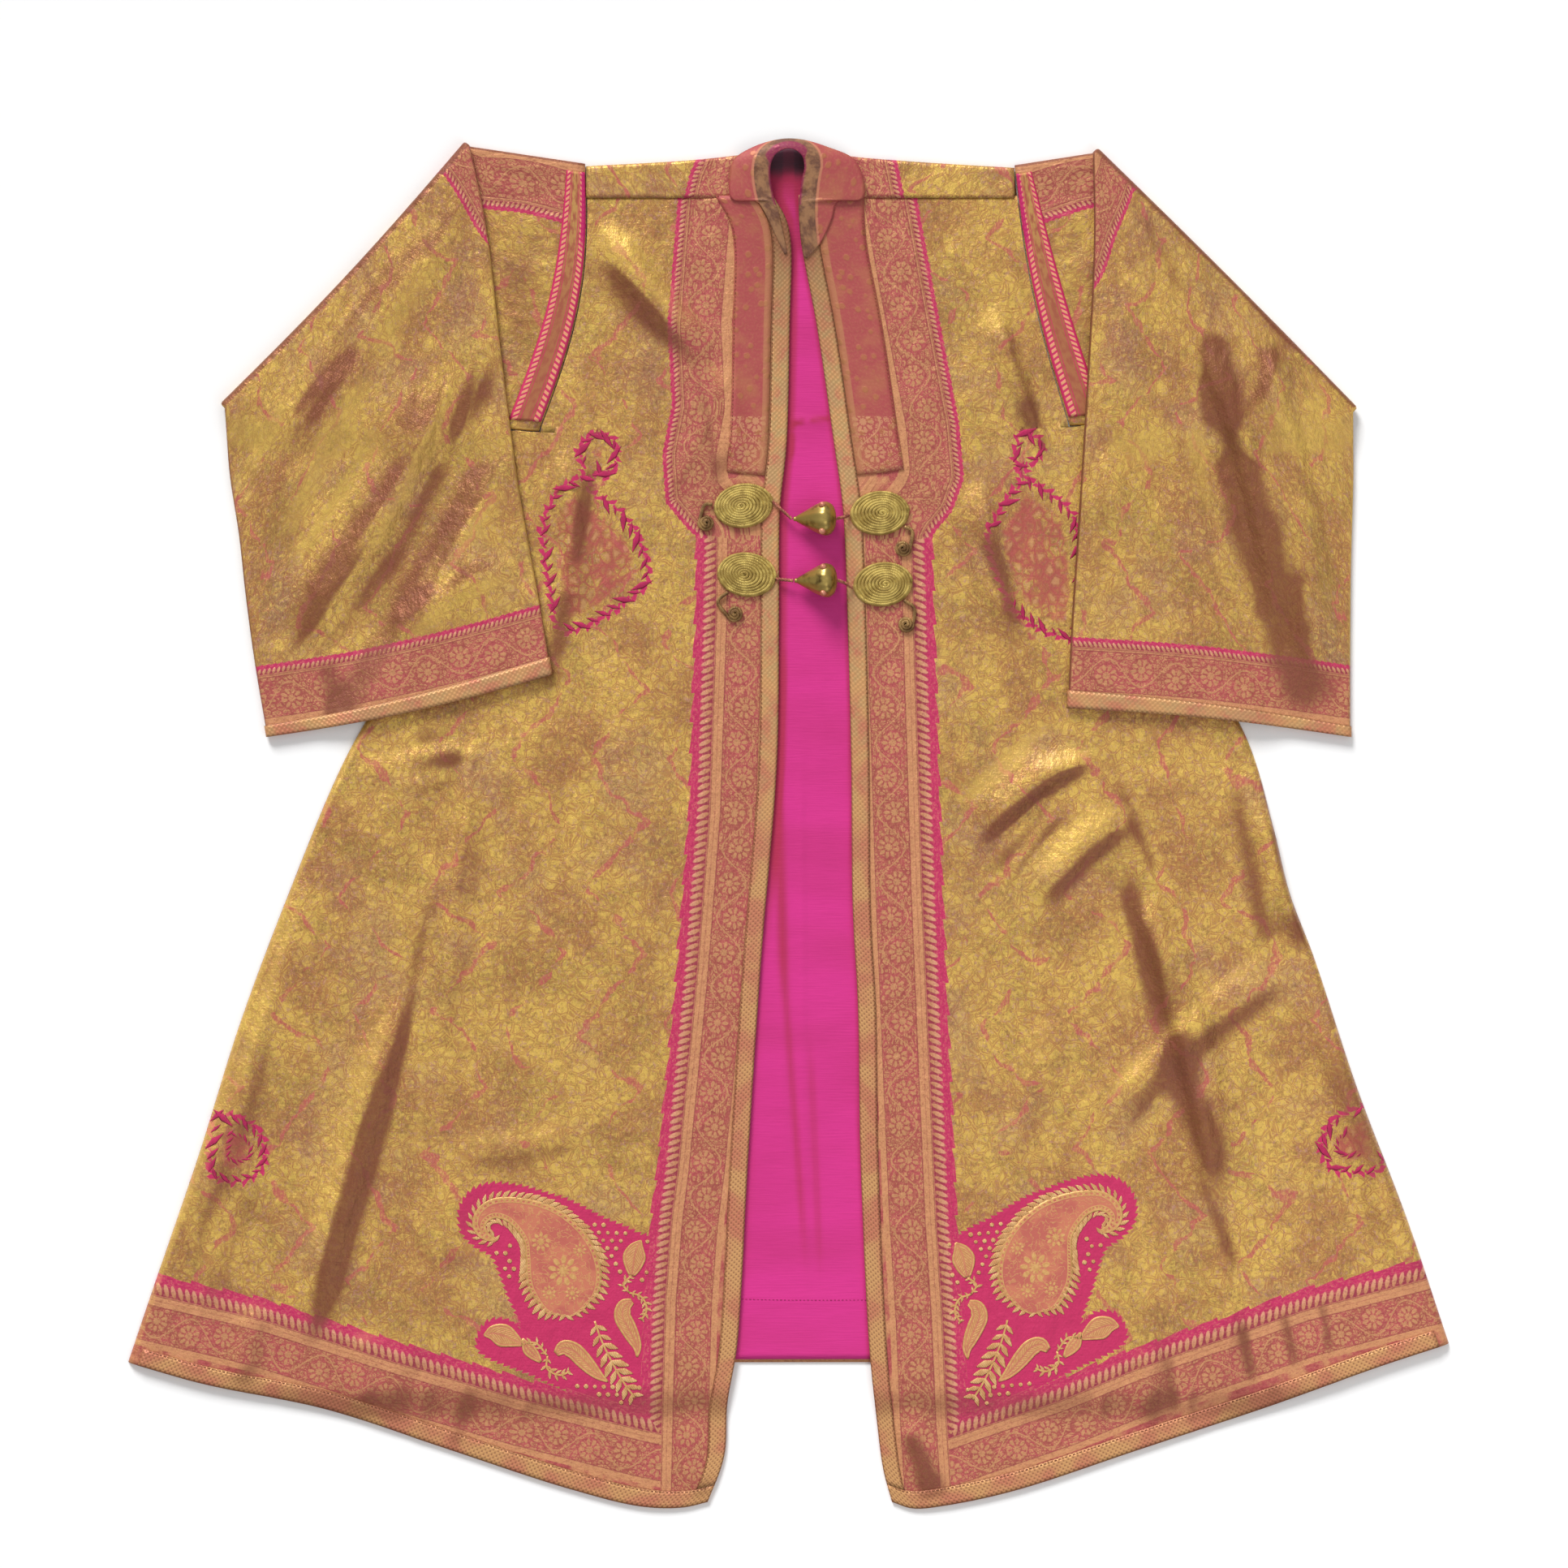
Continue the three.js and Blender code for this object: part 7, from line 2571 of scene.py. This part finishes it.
@dataclass
class Collar:
    """The collar that joins the neck bands round the back of the neck."""

    rows: int = 170
    columns: int = 16
    wave: float = 2.2
    wall: float = STRIP_WALL + 0.4
    lap_below: float = 586

    def build(self, wardrobe: Wardrobe, drape: Drape) -> bpy.types.Object:
        """Make the collar.

        Args:
            wardrobe: The finishes.
            drape: The cloth that its ends lie on.

        Returns:
            The collar.
        """
        hole, sewn = Curve(COLLAR_HOLE), Curve(COLLAR_SEWN)
        t, s = np.linspace(0, 1, self.rows + 1), np.linspace(0, 1, self.columns + 1)
        grid = lerp(hole.step(t)[:, None], sewn.step(t)[:, None], s[None, :, None])
        grid[..., 2] += self.wave * np.sin(np.pi * s)[None]
        under, _ = drape(grid * [1, 1, 0])
        grid[..., 2] = np.maximum(grid[..., 2], under[..., 2] + self.wall / 2)
        part = np.where(hole.step(t)[:, 1] < self.lap_below, ON_COLLAR_END, ON_COLLAR)[:, None]
        piece = new_piece("collar_cloth", cloth_wall(grid, self.wall), {
            "cloth": vec(runs_of(grid, 1), hole.length * t[:, None], part),
        })
        wardrobe.finish(piece, wardrobe.neck, "neckband_brocade", "collar")
        return piece


@dataclass(frozen=True)
class FrogSide:
    """One side of a frog fastening: its pad and the tail that curls from it."""

    pad: tuple[float, float]
    turn: float
    curl: tuple[float, float]
    bend: tuple[float, float]


@dataclass
class Frog:
    """A frog fastening: two couched pads, a pear-shaped brass button and the cords between."""

    name: str
    left: FrogSide
    right: FrogSide
    button: tuple[float, float]
    pad_half: tuple = (28.6, 21.2)
    pad_bottom: float = 7.7
    pad_height: float = 4.6
    curl_radius: float = 8.6
    curl_half: float = 3.6
    curl_thread: float = 1.75
    curl_turns: float = 2.3
    ply_pitch: float = 6.5
    ply_offset: float = 0.75
    cord_radius: float = 1.7
    button_length: float = 41
    button_radius: float = 16.5
    button_tilt: float = 13
    facet_depth: float = 0.035
    rows_of_thread: int = 9
    bead_along: float = 10
    bead_angle: float = 0.84
    bead_out: float = 16.6
    bead_size: float = 6.2

    def pad(self, label: str, side: FrogSide, out: int, wardrobe: Wardrobe) -> tuple[float, float]:
        """Make a pad of coiled cord with its curled tail.

        Args:
            label: The end of the names.
            side: The pad's places.
            out: Which way is out from the opening.
            wardrobe: The finishes.

        Returns:
            The place on its rim where the loop to the button begins.
        """
        turn = math.radians(side.turn)
        a, b = self.pad_half
        thread = a / (2 * self.rows_of_thread + 1)
        angle = np.linspace(0, 2 * math.pi * self.rows_of_thread, 34 * self.rows_of_thread)
        share = 1 - angle / angle[-1]
        reach = (a - thread) * share + 0.4
        dome = self.pad_height - thread * 1.1 - 2.1 * smooth(share, 0.45, 1.0)
        shift = (1 - share) * 0.1 * a * out
        x, y = turned(reach * np.cos(angle) + shift, reach * (b / a) * np.sin(angle), turn)
        route = vec(side.pad[0] + x, side.pad[1] + y, self.pad_bottom + np.maximum(dome, thread))
        around = np.linspace(0, 2 * math.pi, 48, endpoint=False)
        levels = [(0.96, 0.0), (0.985, 0.3), (0.93, 0.55), (0.7, 0.76), (0.35, 0.84), (0.04, 0.86)]
        wide, high = np.array(levels).T[..., None]
        x, y = turned(wide * a * np.cos(around), wide * b * np.sin(around), turn)
        rings = vec(side.pad[0] + x, side.pad[1] + y, self.pad_bottom + high * (self.pad_height - 1.6))
        piece = new_piece(f"pad_{label}_thread", joined([
            cord_wall(route, thread * 1.04, 7), lathe_wall(rings),
        ]))
        wardrobe.finish(piece, wardrobe.gilt, "gilt_cord", f"pad_{label}")
        self.tail(label, side, turn, wardrobe)
        return side.pad[0] - out * a * math.cos(turn), side.pad[1] - out * a * math.sin(turn)

    def tail(self, label: str, side: FrogSide, turn: float, wardrobe: Wardrobe) -> None:
        """Make the tail that leaves a pad's rim and curls into a small coil."""
        level = SEAM_MID + FRONT_WALL / 2 + SEAM_GAP + self.curl_half
        way = np.array(side.bend) - np.array(side.pad)
        local = turned(*way, -turn)
        rim = 1 / math.hypot(local[0] / self.pad_half[0], local[1] / self.pad_half[1])
        start = np.array(side.pad) + way * rim + unit(way) * (SEAM_GAP + self.cord_radius * 0.4)
        rest = np.array(side.curl) - np.array(side.bend)
        heading = math.atan2(rest[1], rest[0])
        spin = -1 if way[0] * rest[1] - way[1] * rest[0] < 0 else 1
        first = heading - spin * math.pi / 2
        thread, count = self.curl_thread, 70
        turns = first + spin * np.linspace(0, 2 * math.pi * self.curl_turns, count)
        reach = np.linspace(self.curl_radius - thread, 0.8, count)
        rise = np.linspace(0, 2 * self.curl_half - 2 * thread, count)
        coil = vec(
            side.curl[0] + reach * np.cos(turns), side.curl[1] + reach * np.sin(turns),
            level - self.curl_half + thread + rise,
        )
        lead = Curve([
            (*start, self.pad_bottom + self.cord_radius), (*side.bend, coil[0, 2] + 0.6), coil[0],
        ])
        route = np.concatenate([lead.at(np.linspace(0, 1, 22))[:-1], coil])
        under = coil[:46].copy()
        under[:, :2] = np.array(side.curl) + (under[:, :2] - np.array(side.curl)) * 0.72
        under[:, 2] = level - self.curl_half + thread
        piece = new_piece(f"curl_{label}_thread", joined([
            cord_wall(route, thread, 8), cord_wall(under, thread, 8),
        ]))
        wardrobe.finish(piece, wardrobe.curl, "gilt_cord", f"curl_{label}")

    def centre_z(self) -> float:
        """Give the height of the button's middle, where it rests on the lining."""
        tilt = math.radians(self.button_tilt)
        widest = 32 - self.button_length / 2
        lining_top = LINING_MID + LINING_WALL / 2
        return lining_top + SEAM_GAP + 0.9 + self.button_radius * math.cos(tilt) - widest * math.sin(tilt)

    def on_button(self, along: Places, angle: Places = 0.0, radius: Places = 0.0) -> np.ndarray:
        """Give a place on or near the button, by its length, angle round it and radius."""
        tilt = math.radians(self.button_tilt)
        x, z = turned(along, radius * np.cos(angle), tilt)
        return vec(self.button[0] + x, self.button[1] + radius * np.sin(angle), self.centre_z() + z)

    def build(self, wardrobe: Wardrobe) -> None:
        """Make the whole fastening."""
        left = self.pad(f"{self.name}_left", self.left, -1, wardrobe)
        right = self.pad(f"{self.name}_right", self.right, 1, wardrobe)
        profile = np.array([
            (0.25, 0), (1.9, 0.5), (2.4, 1.6), (2.1, 2.6), (3.2, 4), (5.0, 7.2), (8.2, 13), (11.4, 18.6),
            (13.6, 22.8), (15.3, 26.4), (16.2, 29.4), (self.button_radius, 32), (15.9, 34.4), (14.3, 36.7),
            (11.9, 38.6), (9.4, 39.7), (6.2, 40.4), (4.4, 40.7), (3.2, self.button_length),
            (0.25, self.button_length),
        ])
        facets, sides = 12, 72
        angle = np.linspace(0, 2 * math.pi, sides, endpoint=False)
        radius, along = profile.T[..., None]
        flute = 1 - self.facet_depth * smooth(radius, 5, 13) * (0.5 + 0.5 * np.cos(facets * angle))
        rings = self.on_button(along - self.button_length / 2, angle, radius * flute)
        piece = new_piece(f"button_{self.name}_brass", lathe_wall(rings))
        wardrobe.finish(piece, wardrobe.brass, "brass_button", f"button_{self.name}")
        self.beads(wardrobe)

        reach = self.button_length / 2 + SEAM_GAP + self.cord_radius * 0.6
        level = self.pad_bottom + self.pad_height * 0.35
        near, far = self.on_button(-reach), self.on_button(reach)
        self.loop(f"cord_{self.name}_left", [(left[0] - 0.7, left[1], level), near], wardrobe)
        self.loop(f"cord_{self.name}_right", [
            far, (lerp(far[0], right[0], 0.6), lerp(self.button[1], right[1], 0.5), 15),
            (right[0] - 0.7, right[1], level),
        ], wardrobe)

    def loop(self, node: str, rows: Table, wardrobe: Wardrobe) -> None:
        """Make the two-ply cord between a pad and the button."""
        curve = Curve(rows)
        count = 60
        t = np.linspace(0, 1, count)
        path = curve.at(t)
        angle = t * curve.length * 2 * math.pi / self.ply_pitch
        offset = vec(0.0, np.cos(angle), np.sin(angle)) * self.ply_offset
        piece = new_piece(f"{node}_thread", joined([
            cord_wall(path + offset, 1.0, 8), cord_wall(path - offset, 1.0, 8),
        ]))
        wardrobe.finish(piece, wardrobe.plied, "gilt_cord", node)

    def beads(self, wardrobe: Wardrobe) -> None:
        """Set the small copper beads on the button's two flanks."""
        angles = np.array([-1, 1]) * self.bead_angle
        places = self.on_button(self.bead_along, angles, self.bead_out)
        spots = Spots(places, np.zeros((2, 3)), np.ones(2))
        sizes = dict.fromkeys(("Length", "Width", "Height"), self.bead_size)
        beads = wardrobe.bead.lay(f"beads_{self.name}", spots, Jitter=0.0, **sizes)
        wardrobe.finish(beads, wardrobe.copper, "brass_button")


FROGS = [
    Frog(
        "upper",
        FrogSide((-42.8, 301.5), 8, (-78, 285.5), (-79, 303)),
        FrogSide((86.4, 294.5), 4, (108.5, 261.5), (117, 278)),
        (24.5, 289),
    ),
    Frog(
        "lower",
        FrogSide((-39.7, 236.2), -8, (-51, 199.5), (-67, 211)),
        FrogSide((89.5, 227), 6, (111.5, 189.5), (119, 205)),
        (25.5, 230.5),
    ),
]


@dataclass
class Studio:
    """The pale floor, the soft lights and the camera straight above."""

    lens: float = 120
    sensor: float = 36
    frame_width: float = 1489.6
    centre: tuple = (-4.24, 37.8)
    floor_size: float = 9.0
    sun_power: float = 3.1
    sun_height: float = 31
    sun_bearing: float = 111
    sun_softness: float = 24
    fill_power: float = 22
    zenith: float = 0.74
    horizon: float = 0.2

    def camera(self) -> None:
        """Set up the camera."""
        data = bpy.data.cameras.new("camera")
        data.lens, data.sensor_width = self.lens, self.sensor
        data.clip_end = 100
        camera = placed("camera", data)
        height = self.frame_width * MM * self.lens / self.sensor
        camera.location = (self.centre[0] * MM, self.centre[1] * MM, height)
        bpy.context.scene.camera = camera

    def floor(self, wardrobe: Wardrobe) -> None:
        """Lay the floor."""
        half = self.floor_size / 2
        mesh = bpy.data.meshes.new("pale_floor")
        level = -0.2 * MM
        ends = [(-half, -half), (half, -half), (half, half), (-half, half)]
        mesh.from_pydata([(x, y, level) for x, y in ends], [], [(0, 1, 2, 3)])
        mesh.materials.append(wardrobe.floor)
        placed("pale_floor", mesh)

    def lamp(self, name: str, place: Sequence[float], size: float, power: float) -> None:
        """Hang a soft square lamp that faces the coat."""
        data = bpy.data.lights.new(name, "AREA")
        data.size, data.energy = size, power
        lamp = placed(name, data)
        lamp.location = place
        lamp.rotation_euler = (-Vector(place)).to_track_quat("-Z", "Y").to_euler()

    def sun(self) -> None:
        """Set the low key light from the upper left, as through a wide window."""
        data = bpy.data.lights.new("window", "SUN")
        data.energy, data.angle = self.sun_power, math.radians(self.sun_softness)
        height, bearing = math.radians(self.sun_height), math.radians(self.sun_bearing)
        way = Vector((
            -math.cos(height) * math.cos(bearing), -math.cos(height) * math.sin(bearing), -math.sin(height),
        ))
        placed("window", data).rotation_euler = way.to_track_quat("-Z", "Y").to_euler()

    def sky(self) -> None:
        """Light the room softly, brighter overhead than at the walls."""
        world = bpy.data.worlds.new("room")
        world.use_nodes = True
        tree = world.node_tree
        tree.nodes.clear()
        coords = tree.nodes.new("ShaderNodeTexCoord")
        split = tree.nodes.new("ShaderNodeSeparateXYZ")
        ramp = tree.nodes.new("ShaderNodeMapRange")
        light = tree.nodes.new("ShaderNodeBackground")
        out = tree.nodes.new("ShaderNodeOutputWorld")
        ramp.inputs["To Min"].default_value = self.horizon
        ramp.inputs["To Max"].default_value = self.zenith
        tree.links.new(coords.outputs["Generated"], split.inputs[0])
        tree.links.new(split.outputs[2], ramp.inputs["Value"])
        tree.links.new(ramp.outputs[0], light.inputs["Strength"])
        tree.links.new(light.outputs[0], out.inputs["Surface"])
        bpy.context.scene.world = world

    def build(self, wardrobe: Wardrobe) -> None:
        """Set up the whole studio."""
        self.camera()
        self.floor(wardrobe)
        self.sun()
        self.lamp("fill_lamp", (1.8, -1.6, 2.8), 2.4, self.fill_power)
        self.sky()
        bpy.context.scene.view_settings.view_transform = "Standard"


def main() -> None:
    """Make the whole coat, piece by piece."""
    logging.basicConfig(level=logging.INFO, format="%(name)s %(message)s")
    wardrobe = Wardrobe()
    Studio().build(wardrobe)
    back = Back().build(wardrobe)
    Lining().build(wardrobe)
    laid = [back]
    for half in (LEFT, RIGHT):
        front = Front(half)
        cloths = front.build(wardrobe)
        laid += cloths
        PaisleyCorner(half, Drape(cloths[0])).build(wardrobe)
        Needlework(front, Drape(back, *cloths)).build(wardrobe)
        Sleeve(half).build(wardrobe)
    Collar().build(wardrobe, Drape(*laid))
    for frog in FROGS:
        frog.build(wardrobe)


if __name__ == "__main__":
    main()
